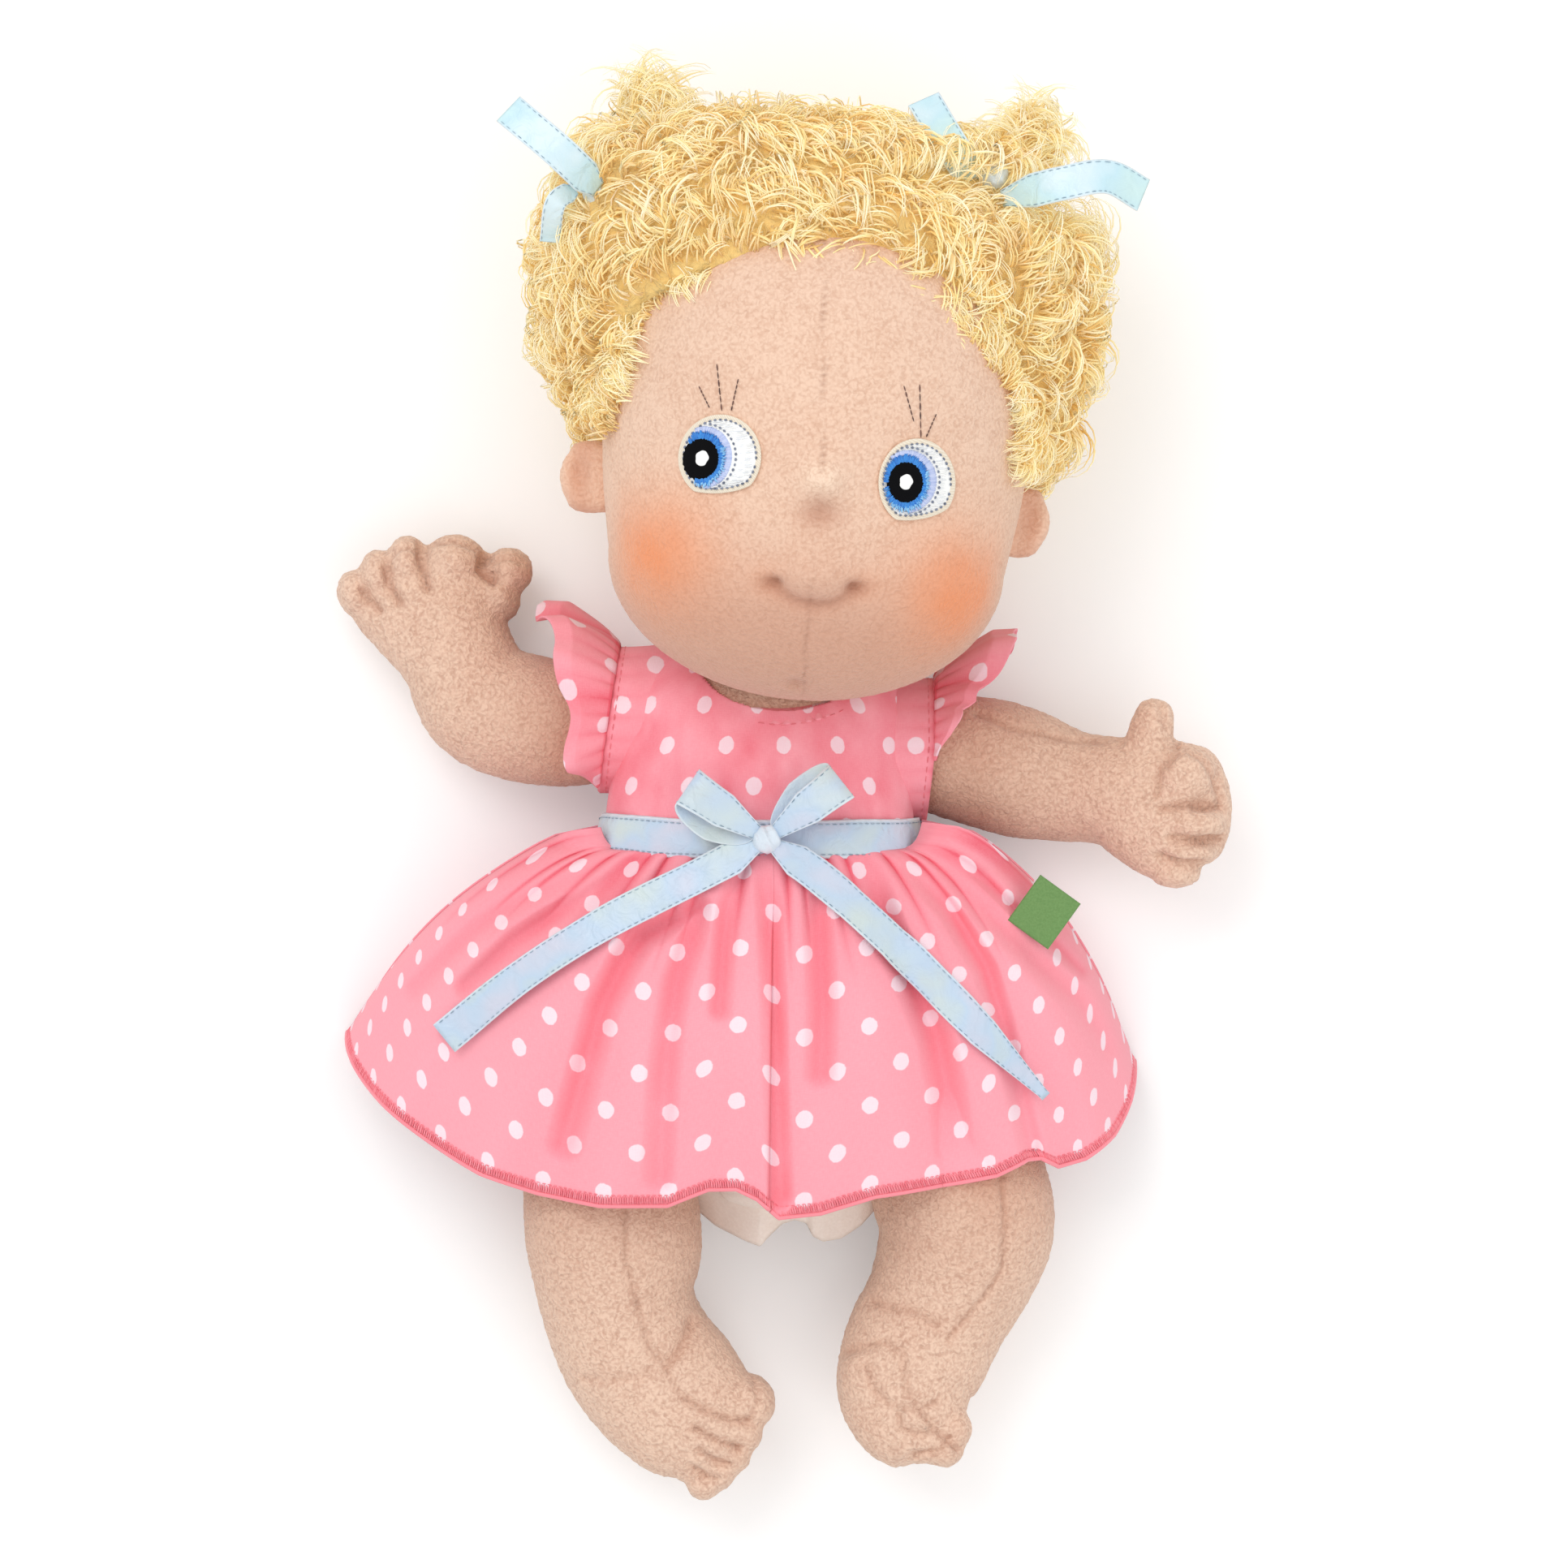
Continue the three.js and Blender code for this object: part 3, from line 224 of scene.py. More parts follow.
def is_inside_out(points, faces):
    """True where the closed surface's signed volume is negative."""
    total = 0.0
    for size in (3, 4):
        chosen = np.array([f for f in faces if len(f) == size])
        if len(chosen):
            a, b, c = points[chosen[:, 0]], points[chosen[:, 1]], points[chosen[:, 2]]
            total += (a * np.cross(b, c)).sum()
            if size == 4:
                total += (a * np.cross(c, points[chosen[:, 3]])).sum()
    return total < 0


def piece(name, points, faces, material=None, smooth=True):
    """A mesh object from points in millimetres and faces, with its place in its mesh."""
    mesh = bpy.data.meshes.new(name)
    mesh.from_pydata((np.asarray(points).reshape(-1, 3) * MM).tolist(), [], faces)
    mesh.validate()
    if smooth:
        mesh.polygons.foreach_set("use_smooth", [True] * len(mesh.polygons))
    made = bpy.data.objects.new(name, mesh)
    scene.collection.objects.link(made)
    if material:
        mesh.materials.append(material)
    return made


def closed(grid):
    """Points and outward faces of a grid of rings, each end ring closed on its own middle."""
    rows, columns = grid.shape[:2]
    points = np.vstack([grid.reshape(-1, 3), grid[0].mean(0), grid[-1].mean(0)])
    faces = grid_faces(rows, columns, True, True)
    if is_inside_out(points, faces):
        faces = [f[::-1] for f in faces]
    return points, faces


def form(name, grid, material=None):
    """A closed piece from a grid of rings."""
    return piece(name, *closed(grid), material)


def points_of(made):
    """A piece's points in millimetres."""
    flat = np.empty(len(made.data.vertices) * 3)
    made.data.vertices.foreach_get("co", flat)
    return flat.reshape(-1, 3) / MM


def move_points(made, points):
    """Puts a piece's points at places in millimetres."""
    made.data.vertices.foreach_set("co", (np.asarray(points) * MM).ravel())
    made.data.update()


def normals_of(made):
    """The direction that each point of a piece faces."""
    flat = np.empty(len(made.data.vertices) * 3)
    made.data.vertices.foreach_get("normal", flat)
    return flat.reshape(-1, 3)


def value_noise(points, size, seed):
    """Smooth noise from -1 to 1: random numbers on a lattice of the given size in millimetres,
    blended between its eight corners with w = 3t^2 - 2t^3."""
    q = np.asarray(points, float) / size + 1000.0
    cell = np.floor(q).astype(np.int64)
    t = q - cell
    t = t * t * (3 - 2 * t)
    total = 0.0
    for corner in range(8):
        step = np.array([corner & 1, corner >> 1 & 1, corner >> 2 & 1])
        spot = cell + step
        mixed = (spot * [73856093, 19349663, 83492791]).astype(np.int64)
        mixed = mixed[..., 0] ^ mixed[..., 1] ^ mixed[..., 2] ^ (seed * 2654435)
        mixed = (mixed ^ (mixed >> 13)) * 1274126177 & 0x7FFFFFFF
        weight = np.prod(np.where(step == 1, t, 1 - t), axis=-1)
        total = total + weight * ((mixed % 100003) / 50001.5 - 1)
    return total


def nap(points, depth, seed, size=1.1):
    """The fleece's pebbled nap as heights in millimetres: noise of about a millimetre and finer."""
    return depth * (0.7 * value_noise(points, size, seed) + 0.5 * value_noise(points, size * 0.5, seed + 1))


def ranged(tree, value, low, high, to_low=0.0, to_high=1.0):
    """A value mapped from one range to another and held at its ends."""
    return add(tree, "ShaderNodeMapRange", {"Value": value, "From Min": low, "From Max": high,
                                            "To Min": to_low, "To Max": to_high}).outputs[0]


def toned(tree, factor, first, second):
    """A mix of two colours by a factor."""
    return add(tree, "ShaderNodeMix", {0: factor, 6: first, 7: second}, data_type="RGBA").outputs[2]


def noise_on(tree, place, scale, detail, output="Fac", **more):
    """Noise over a socket of places."""
    return add(tree, "ShaderNodeTexNoise",
               {"Vector": place, "Scale": scale, "Detail": detail, **more}).outputs[output]


def own_place(tree):
    """A point's place on its own piece, in metres."""
    return add(tree, "ShaderNodeTexCoord").outputs["Object"]


def attribute(tree, name):
    """The number that a piece carries at each of its points."""
    return add(tree, "ShaderNodeAttribute", attribute_name=name).outputs["Fac"]


def raised(tree, height, strength, distance, **more):
    """A bumped normal from a height."""
    return add(tree, "ShaderNodeBump",
               {"Strength": strength, "Distance": distance, "Height": height, **more}).outputs[0]


def surface(tree, shader, colour, normal):
    """Gives a shader its colour and its bumped normal."""
    tree.links.new(colour, shader.inputs["Base Color"])
    tree.links.new(normal, shader.inputs["Normal"])


def light(red, green, blue):
    """A colour as it is seen on screen, 0 to 255, as the linear colour that a socket takes."""
    seen = np.array([red, green, blue]) / 255.0
    linear = np.where(seen <= 0.04045, seen / 12.92, ((seen + 0.055) / 1.055) ** 2.4)
    return (*linear.tolist(), 1.0)


def output_group(name, *outputs):
    """A new node group with number outputs of the given names."""
    group = bpy.data.node_groups.new(name, "ShaderNodeTree")
    for output in outputs:
        group.interface.new_socket(output, in_out="OUTPUT", socket_type="NodeSocketFloat")
    return group


def fleece_group():
    """Pebbled nap: soft cells of about a millimetre with fine fibres between them.

    Puts out Shade, how deep between the tufts a point is, Height for the bump, and Drift, a
    broad change of tone."""
    group = output_group("fleece_nap", "Shade", "Height", "Drift")
    group.interface.new_socket("Cells", in_out="INPUT", socket_type="NodeSocketFloat").default_value = 900
    cells_across = add(group, "NodeGroupInput").outputs["Cells"]
    place = own_place(group)
    bend = noise_on(group, place, 650.0, 2.0, "Color")
    shift = add(group, "ShaderNodeVectorMath", {0: bend, 1: (0.0016, 0.0016, 0.0016)}, operation="MULTIPLY")
    bent = add(group, "ShaderNodeVectorMath", {0: place, 1: shift.outputs[0]}, operation="ADD")
    cells = add(group, "ShaderNodeTexVoronoi", {"Vector": bent.outputs[0], "Scale": cells_across},
                feature="SMOOTH_F1")
    deep = ranged(group, cells.outputs["Distance"], 0.25, 0.75)
    shade = maths(group, "MULTIPLY", deep, noise_on(group, place, 2600.0, 4.0, Roughness=0.7))
    add(group, "NodeGroupOutput", {"Shade": shade, "Height": maths(group, "SUBTRACT", 1.0, shade),
                                   "Drift": noise_on(group, place, 120.0, 3.0)})
    return group


fleece_nap = fleece_group()


def fleece(name, pale, deep, cells, speck, strength):
    """Fleece in two tones, tinted where the piece's blush is sprayed, and darkened by painted shade where its
    shade and groove layers say so.
    """
    material, tree, shader = finish(name, roughness=0.97, sheen=0.48, tint=(1.0, 0.92, 0.82), specular=0.1)
    tufts = add(tree, "ShaderNodeGroup", node_tree=fleece_nap)
    tufts.inputs["Cells"].default_value = cells
    tone = maths(tree, "ADD", ranged(tree, tufts.outputs["Shade"], 0.0, 0.5, 0.0, speck),
                 ranged(tree, tufts.outputs["Drift"], 0.3, 0.7, -0.12, 0.12), clamp=True)
    colour = toned(tree, tone, pale, deep)
    # painted shade: the shade layer darkens where the light would leave shade, the groove layer darkens the
    # creases that stitches pull in; blush is sprayed colour
    for layer, paint in (("shade", (204, 148, 124)), ("blush", (242, 148, 98)), ("groove", (160, 112, 92))):
        colour = toned(tree, attribute(tree, layer), colour, light(*paint))
    surface(tree, shader, colour, raised(tree, tufts.outputs["Height"], strength, 0.0006))
    return material


limb_fleece = fleece("limb_fleece", light(242, 210, 187), light(216, 171, 148), 1550.0, 0.78, 0.7)
face_fleece = fleece("face_fleece", light(250, 220, 196), light(222, 178, 150), 1500.0, 0.6, 0.5)

TORSO = [(3, -96, 23, 15, 14), (2, -84, 25, 28, 20), (0, -68, 26.8, 35, 23), (-2, -44, 28.3, 37, 24.5),
         (-3, -20, 28.2, 33.4, 24), (-1.5, -4, 24.3, 32.5, 23.6), (0, 7, 22, 32.5, 21.8),
         (1, 16, 19, 28, 15)]


def torso_grid(grow, around=160, along=150):
    """The torso's form with its back pressed flat on the table, less what cloth lies under it."""
    grid = stuffed(TORSO, (5, 5), around, along, grow)
    grid[..., 2] = np.maximum(grid[..., 2], 1.4 - grow)
    return grid


def belongs(made, body, slot, *nodes):
    """Hides the nodes that a piece stands for and hangs the piece on the body that it rides on; its slot is not
    used.
    """
    if nodes:
        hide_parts(*nodes)
    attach(made, body)


def fleece_piece(name, grid, seed, node):
    """A stuffed fleece piece: its nap is pressed into its surface."""
    made = form(name, grid, limb_fleece)
    points = points_of(made)
    move_points(made, points + normals_of(made) * nap(points, 0.12, seed)[:, None])
    belongs(made, node, "skin_fleece", node)


fleece_piece("torso_skin", torso_grid(-0.5), 3, "torso")

NECK_ROOT = np.array([0.5, 15, 21])
HEAD_MIDDLE = np.array([9.5, 67.4, 52.0])
neck_way = unit(HEAD_MIDDLE - NECK_ROOT)
neck_stations = [(*(NECK_ROOT + neck_way * t), 10.3, 10.3) for t in (0, 10, 20)]
fleece_piece("neck_tube", stuffed(neck_stations, (10, 4), 64, 50), 5, "neck")

# ---------------------------------------------------------------------------------------------
# Arms: each is a stuffed tube of fleece, swollen into a mitten whose fingers are only sewn
# lines pulled tight through the stuffing. A round of doubled fleece joins it to the shoulder.


def ellipsoid(centre, radii, heading=0.0):
    """An egg-shaped form as a grid: rings of cos e round the Z axis at heights of sin e."""
    rise = np.linspace(-np.pi / 2, np.pi / 2, 18)[1:-1]
    turn = np.linspace(0, 2 * np.pi, 28, endpoint=False)
    grid = np.stack([np.cos(rise)[:, None] * np.cos(turn), np.cos(rise)[:, None] * np.sin(turn),
                     np.sin(rise)[:, None] * np.ones(28)], -1) * np.array(radii)
    c, s = np.cos(np.radians(heading)), np.sin(np.radians(heading))
    return grid @ np.array([[c, s, 0], [-s, c, 0], [0, 0, 1]]) + np.array(centre)


def fused(name, grids, voxel, rounds):
    """Closed forms melted into one skin: a voxel remesh in millimetres, then rounds of smoothing."""
    points, faces, start = [], [], 0
    for grid in grids:
        own_points, own_faces = closed(grid)
        faces += [[k + start for k in face] for face in own_faces]
        points.append(own_points)
        start += len(own_points)
    rough = piece(name + "_rough", np.vstack(points), faces)
    melt = rough.modifiers.new("melt", "REMESH")
    melt.mode = "VOXEL"
    melt.voxel_size = voxel * MM
    soften = rough.modifiers.new("soften", "SMOOTH")
    soften.factor = 0.5
    soften.iterations = rounds
    mesh = bpy.data.meshes.new_from_object(rough.evaluated_get(bpy.context.evaluated_depsgraph_get()))
    bpy.data.objects.remove(rough)
    mesh.name = name
    mesh.polygons.foreach_set("use_smooth", [True] * len(mesh.polygons))
    made = bpy.data.objects.new(name, mesh)
    scene.collection.objects.link(made)
    mesh.materials.clear()
    return made


def mark(made, name, values):
    """Writes one number for each point of a piece, for its material to read."""
    layer = made.data.attributes.new(name, "FLOAT", "POINT")
    layer.data.foreach_set("value", np.ascontiguousarray(values, dtype=np.float32).ravel())


def groove(points, route, wide):
    """How deep in a stitched groove each point is, 1 on the route seen from the front and falling
    as exp(-(d / wide)^2) with the distance d from its nearest stretch."""
    route = np.asarray(route, float)
    flat = points[:, :2]
    best = np.full(len(flat), 1e9)
    for a, b in zip(route[:-1], route[1:]):
        way = b - a
        t = np.clip(((flat - a) @ way) / (way @ way), 0, 1)
        best = np.minimum(best, np.linalg.norm(flat - a - t[:, None] * way, axis=1))
    return np.exp(-(best / wide) ** 2)


def sewn_limb(node, seed, grids, seams, stitched):
    """A limb: its forms melted together, with grooves pulled in along its sewn lines.

    A point moves in along its normal by the groove's depth times exp(-(d / wide)^2), where it
    faces up; the nap is added outwards; what would be under the table is pressed flat."""
    made = fused(node + "_skin", grids, 0.85, 5)
    points, normals = points_of(made), normals_of(made)
    facing = np.clip(normals[:, 2] * 2.5, 0, 1)
    # colour is painted shade in the creases that the stitches pull in; along the seams it is dashed and also
    # stands for the stitches
    pull, colour = np.zeros(len(points)), np.zeros(len(points))
    for route, depth, wide in stitched:
        pull = np.maximum(pull, 0.8 * depth * groove(points, route, wide) * facing)
        colour = np.maximum(colour, groove(points, route, 0.5 * wide) * facing * min(1, depth / 2.2) * 0.26)
    beat = 0.6 + 0.4 * np.sin(points[:, 1] * 2 * np.pi / 1.9 + points[:, 0])
    for route in seams:
        pull = np.maximum(pull, 0.8 * groove(points, route, 0.8) * facing)
        colour = np.maximum(colour, 0.4 * groove(points, route, 0.45) * facing * beat)
    points = points + normals * (nap(points, 0.26, seed) - pull)[:, None]
    points[:, 2] = np.maximum(points[:, 2], 0)
    move_points(made, points)
    # painted shade and reflected light near the dress: a warm shade on the limb that fades away from the dress's
    # edge, plus darker where the fleece is pulled in
    off_dress = np.where(points[:, 1] < -60, -95 - points[:, 1], np.abs(points[:, 0]) - 47)
    near_dress_shade = 0.55 * np.exp(-np.clip(off_dress, 0, 99) / 13) * (1 + 0.3 * value_noise(points, 8.0, seed + 3))
    mark(made, "groove", colour)
    mark(made, "shade", np.clip(0.10 + 0.16 * pull + 1.15 * near_dress_shade, 0, 0.75))
    mark(made, "blush", np.zeros(len(points)))
    made.data.materials.append(limb_fleece)
    belongs(made, node, "skin_fleece", node)


sewn_limb(
    "arm_right", 11,
    [stuffed([(-34, 6, 20, 13.2, 13.2), (-50, 5.6, 16, 14.3, 14), (-64.8, 10.2, 13.2, 14.2, 13.4),
              (-71, 21, 12.4, 13.0, 12.2), (-75, 29, 12.2, 15.6, 11.0), (-78, 36, 12, 17.8, 9.8),
              (-79, 40, 12, 15.5, 8)], (13.2, 3), 72, 90),
     *(ellipsoid(*lump) for lump in (
         ((-93.2, 34.4, 12.4), (4.6, 5.6, 7.6), 22), ((-88.2, 38.4, 13.0), (4.7, 6.0, 8.2), 10),
         ((-82.0, 41.2, 13.4), (4.9, 6.4, 8.8), 0), ((-71.4, 41.0, 13.2), (7.2, 6.9, 9.0), -6),
         ((-59.2, 39.6, 12.2), (5.5, 5.3, 7.4), -20), ((-62.2, 34.5, 11.6), (5.0, 6.6, 8.6), 35)))],
    [[(-77.1, 45.6), (-71, 46.2), (-65.3, 44)]],
    [([(-91.9, 35.6), (-90.6, 33.2), (-88.2, 30.6)], 2.2, 1.0),
     ([(-86.4, 39.8), (-85.6, 35.9), (-83.4, 32.4)], 2.4, 1.0),
     ([(-86.3, 41.4), (-84.4, 43.9), (-81.2, 44.8), (-78.8, 43.0)], 1.0, 0.8),
     ([(-78.8, 47.4), (-78.3, 40.4), (-77.1, 35.6)], 2.6, 1.0),
     ([(-64.3, 44.2), (-65.0, 39.8), (-62.6, 37.4)], 3.0, 1.2),
     ([(-62.6, 41.6), (-59.2, 42.6), (-56.4, 41.6)], 0.9, 0.7)])

sewn_limb(
    "arm_left", 13,
    [stuffed([(34.5, -1, 20, 13.2, 13.2), (48, -3.6, 16.5, 14.6, 14), (57.5, -6.3, 14, 14.4, 13.6),
              (67.5, -8.8, 14.2, 12.5, 12.2), (75.5, -9.8, 17, 12.2, 11.6), (83, -12, 20.6, 14.6, 10.8),
              (90, -14.6, 24, 15.6, 9.6), (94, -15.5, 26, 14, 8.2)], (13.2, 3), 72, 90),
     ellipsoid((91.6, -6.9, 27.0), (7.6, 7.0, 7.4)), ellipsoid((93.4, -17.3, 27.6), (7.6, 4.3, 7.0)),
     ellipsoid((91.8, -23.6, 27.2), (7.0, 3.7, 6.4)), ellipsoid((89.8, -28.2, 25.6), (5.8, 3.3, 5.6)),
     ellipsoid((95.2, -13.0, 23.0), (7.4, 13.6, 7.4), 4),
     stuffed([(84.2, -6, 21, 6.5, 6.5), (84.2, 2, 22.4, 5.3, 5.6), (85.2, 6.5, 23, 4.6, 5.0)],
             (3, 4.6), 28, 24)],
    [[(45.5, 7.6), (53.4, 4.2), (66, 1.6), (74, 1.2)]],
    [([(86.2, -13.6), (92.1, -12.9), (100.0, -13.4)], 2.6, 1.0),
     ([(88.6, -20.2), (94.4, -21.0), (100.0, -20.6)], 2.2, 0.9),
     ([(86.0, -24.4), (90.6, -26.1), (96.0, -26.2)], 2.0, 0.9),
     ([(85.2, -10.8), (85.4, -6.0), (87.4, -2.2), (92.1, -0.1), (96.3, -3.0), (98.8, -7.8), (99.8, -12.6)],
      1.5, 0.9),
     ([(91.2, 2.2), (89.4, -1.2), (87.2, -4)], 1.8, 1.0),
     ([(86.2, 9.6), (87.6, 4.4)], 0.9, 0.8)])

SEAM_BALLS = {"shoulder_right": ((-34, 6, 20), 13.2, (1, 0, 0)),
              "shoulder_left": ((34.5, -1, 20), 13.2, (-1, 0, 0)),
              "hip_right": ((-31, -82, 22.5), 19, (0.35, 1, 0)),
              "hip_left": ((35, -80, 22.5), 19, (-0.35, 1, 0))}


def seam_patch(name, root, radius, inward):
    """A round cap of cloth on a ball: rings of angle e from the inward axis, at two radii, the
    cloth's two faces, with a rolled edge between them."""
    axis = unit(np.array(inward, float))
    side = unit(np.cross(axis, [0, 0, 1.0]))
    up = np.cross(side, axis)
    reach = np.radians(27.5)
    inner, outer = radius + 0.35, radius + 1.55
    out = np.linspace(0.02, 1, 12) * reach
    edge = np.linspace(0, np.pi, 7)[1:-1]
    angle = np.concatenate([out, reach + 0.5 * (outer - inner) * np.sin(edge) / radius, out[::-1]])
    far = np.concatenate([np.full(12, outer), (outer + inner) / 2 + (outer - inner) / 2 * np.cos(edge),
                          np.full(12, inner)])
    turn = np.linspace(0, 2 * np.pi, 48, endpoint=False)
    ring = np.cos(turn)[:, None] * side + np.sin(turn)[:, None] * up
    grid = (np.array(root) + far[:, None, None] * (np.cos(angle)[:, None, None] * axis
            + np.sin(angle)[:, None, None] * ring[None]))
    belongs(form(name + "_cap", grid, limb_fleece), name, "skin_fleece", name.replace("_", "_patch_"))


for ball_name, (ball_root, ball_radius, ball_way) in SEAM_BALLS.items():
    seam_patch(ball_name, ball_root, ball_radius, ball_way)

# ---------------------------------------------------------------------------------------------
# Legs: stuffed fleece tubes with a seam down the shin and a crease over the ankle. The toes
# are sewn lines too, drawn in hard enough to make five small bumps.

sewn_limb(
    "leg_right", 17,
    [stuffed([(-31, -82, 22.5, 19, 19), (-36, -97, 21, 19.4, 19), (-35.4, -112, 19.4, 19.6, 18.4),
              (-34.6, -125, 17.4, 17.2, 17), (-30, -136, 16.4, 17.4, 16), (-22, -145.5, 17.8, 17.2, 14.2),
              (-14.6, -153.4, 20.6, 14.4, 10.6), (-11.6, -157.4, 22, 11, 8)], (19, 3), 84, 110),
     ellipsoid((-5.8, -146.4, 20.6), (6.6, 6.4, 8.4), -45), ellipsoid((-6.8, -153.4, 21.4), (4.6, 4.6, 7.0)),
     ellipsoid((-9.2, -158.4, 21.6), (4.4, 4.2, 6.6)), ellipsoid((-12.4, -162.2, 21.4), (4.2, 4.0, 6.2)),
     ellipsoid((-15.4, -164.6, 21.0), (3.9, 3.9, 5.8))],
    [[(-33, -101), (-32.5, -114.7), (-29.8, -124.9), (-27.6, -133.5), (-23.8, -138.1), (-22.2, -141.6),
      (-20.1, -144.8)]],
    [([(-20.1, -144.8), (-15.2, -147.5), (-8.8, -150), (-5.2, -150.5)], 1.9, 0.9),
     ([(-4.5, -140.5), (-3.0, -145.4), (-5.4, -150.3)], 1.0, 0.8),
     ([(-17.4, -151.6), (-12.5, -154.5), (-7.4, -156.4)], 1.9, 0.9),
     ([(-16.6, -156.6), (-13, -159), (-9.6, -160.2)], 1.7, 0.8),
     ([(-18, -160.6), (-15.4, -162.6), (-12.4, -163.2)], 1.5, 0.8),
     ([(-18.0, -128.2), (-20.6, -134.4), (-23.6, -138)], 1.7, 1.2),
     ([(-42.2, -140.6), (-35.2, -141.1), (-27.6, -139.4)], 0.8, 1.1)])

sewn_limb(
    "leg_left", 19,
    [stuffed([(35, -80, 22.5, 19, 19), (41, -96, 21, 19.8, 19), (43.2, -107, 19.6, 19.8, 18.4),
              (40.2, -118, 17.4, 18, 17), (36.6, -126, 16.6, 16.6, 16), (32.4, -134.4, 17.8, 16.6, 15),
              (29.8, -144, 20.8, 15.4, 13), (31.6, -151.6, 23.6, 12.6, 10), (33.4, -155.4, 25, 9.6, 7.6)],
             (19, 3), 84, 110),
     ellipsoid((22.6, -141.6, 22.4), (8.0, 9.6, 9.6), 18), ellipsoid((27.2, -151.6, 24.2), (6.2, 6.0, 7.6)),
     ellipsoid((33.4, -155.2, 25.0), (5.2, 4.9, 6.8)), ellipsoid((38.2, -156.2, 25.4), (4.6, 4.6, 6.2)),
     ellipsoid((40.8, -152.2, 24.6), (3.8, 4.4, 6.0))],
    [[(50.7, -95), (51.8, -106.6), (51, -116.3), (46.6, -123), (41.5, -128.6), (39, -131.7)]],
    [([(15.6, -135.0), (20.5, -133.2), (25.1, -132.4), (28.7, -134.9), (29.7, -142.4), (32.3, -147.3)],
      1.3, 0.9),
     ([(20.5, -137.3), (22.6, -142.9), (25.6, -146), (32.0, -147.6)], 1.2, 0.9),
     ([(28.0, -148.2), (28.7, -151.6), (32.3, -152.9), (36.6, -152.4)], 1.6, 0.8),
     ([(32.3, -147.3), (36.4, -152.2), (41.5, -156.5)], 1.9, 0.9),
     ([(36.6, -145.6), (32.6, -147.4)], 1.5, 0.8),
     ([(31.3, -157.8), (37.4, -156.3), (39.4, -153.6)], 1.5, 0.8),
     ([(22.4, -123.8), (30.8, -125.5), (36.4, -128.6)], 1.4, 1.2)])

# ---------------------------------------------------------------------------------------------
# The head: a hard-stuffed ball of finer fleece, with one seam down the middle of the face. The
# nose and mouth are only stitches that pull the fleece in round two bumps; cheeks are sprayed.

HEAD = [(0, -27, 52.3, 43.6, 38.8), (0, -7, 52, 46.6, 44),
        (0, 15, 52, 46.4, 44.5), (0, 34, 51, 41, 41), (0, 48, 50, 28, 30)]
HEAD_TURN = np.radians(-4.5)
HEAD_COS, HEAD_SIN = np.cos(HEAD_TURN), np.sin(HEAD_TURN)
LEAN = np.array([[HEAD_COS, HEAD_SIN, 0], [-HEAD_SIN, HEAD_COS, 0], [0, 0, 1]])
HEAD_PLACE = np.array([9.5, 67.4, 0])


def to_doll(points):
    """From the head's own frame, with y from chin to crown, to the doll's."""
    return points @ LEAN + HEAD_PLACE


def to_head(points):
    """From the doll's frame to the head's own."""
    return (points - HEAD_PLACE) @ LEAN.T


def mound(points, x, y, across, along, height):
    """A smooth bump: height times exp(-(dx / across)^2 - (dy / along)^2)."""
    return height * np.exp(-((points[..., 0] - x) / across) ** 2 - ((points[..., 1] - y) / along) ** 2)


CENTRE_SEAM = [(-1.2, 42), (-0.6, 26), (0.6, 12), (2.2, -11), (2.1, -24), (1.9, -35), (1.4, -46),
               (1.7, -60)]
SMILE = [(-7.2, -33.2), (-5.6, -35.0), (-1.8, -36.6), (2.6, -37.2), (6.6, -36.6), (9.8, -34.8),
         (11.4, -32.8)]


def bumps(spot, table):
    """The sum of mounds, one for each row of x, y, across, along, height."""
    return sum(mound(spot, *row) for row in table)


NOSE_AND_CHEEKS = [(2.6, -9, 6, 9, 1.4), (2.0, -10.4, 3.8, 3.4, 3.9), (2.2, -28, 13, 11, 2.6),
                   (2.2, -31.2, 7.6, 4.8, 3.0), (27, -26, 12, 12, 2.5), (-26, -26, 12, 12, 2.5)]
EYE_HOLLOWS = [(-20.4, -6.8, 11.5, 11, 1.0), (22.5, -8.9, 11.5, 11, 1.0)]
PITS = [(-7.4, -33.4, 2.6, 1.8, 2.0), (11.6, -33.0, 2.6, 1.8, 2.0), (-0.4, -54.3, 1.6, 1.1, 1.3),
        (2.2, -17.2, 4.2, 2.6, 1.3)]
CHEEK_PAINT = [(-33.5, -28.0, 12.5, 12.5, 0.80), (34.5, -32.0, 12, 13.5, 0.80)]
DIMPLE_PAINT = [(-8.6, -32.4, 3.6, 3.2, 0.45), (12.8, -32.0, 3.6, 3.2, 0.4)]


def forward(z):
    """How much a place of the head faces forwards, by its height: 1 on the face, 0 behind."""
    return np.clip(2 * (z - 52) / 44, 0, 1)


head_grid = stuffed(HEAD, (30.3, 9), 250, 150, dome_rings=64)
head_grid[..., 2] += bumps(head_grid, NOSE_AND_CHEEKS) * forward(head_grid[..., 2])
head = form("head_skin", to_doll(head_grid), face_fleece)
skin_points = points_of(head)
own = to_head(skin_points)
facing = np.clip((own[:, 2] - 56) / 14, 0, 1)
seam_near = groove(own, CENTRE_SEAM, 0.55) * facing
smile_near = groove(own, SMILE, 1.6) * facing
pits = bumps(own, PITS) * facing
push = (nap(own, 0.13, 23, 0.9) - 0.35 * seam_near - 1.0 * smile_near - pits
        - bumps(own, EYE_HOLLOWS) * facing)
move_points(head, skin_points + normals_of(head) * push[:, None])
cheek_paint = np.clip(bumps(own, CHEEK_PAINT), 0, 0.9) * facing * (1 + 0.15 * value_noise(own, 5.0, 31))
mark(head, "blush", np.clip(cheek_paint + 0.4 * bumps(own, DIMPLE_PAINT) * facing, 0, 1))
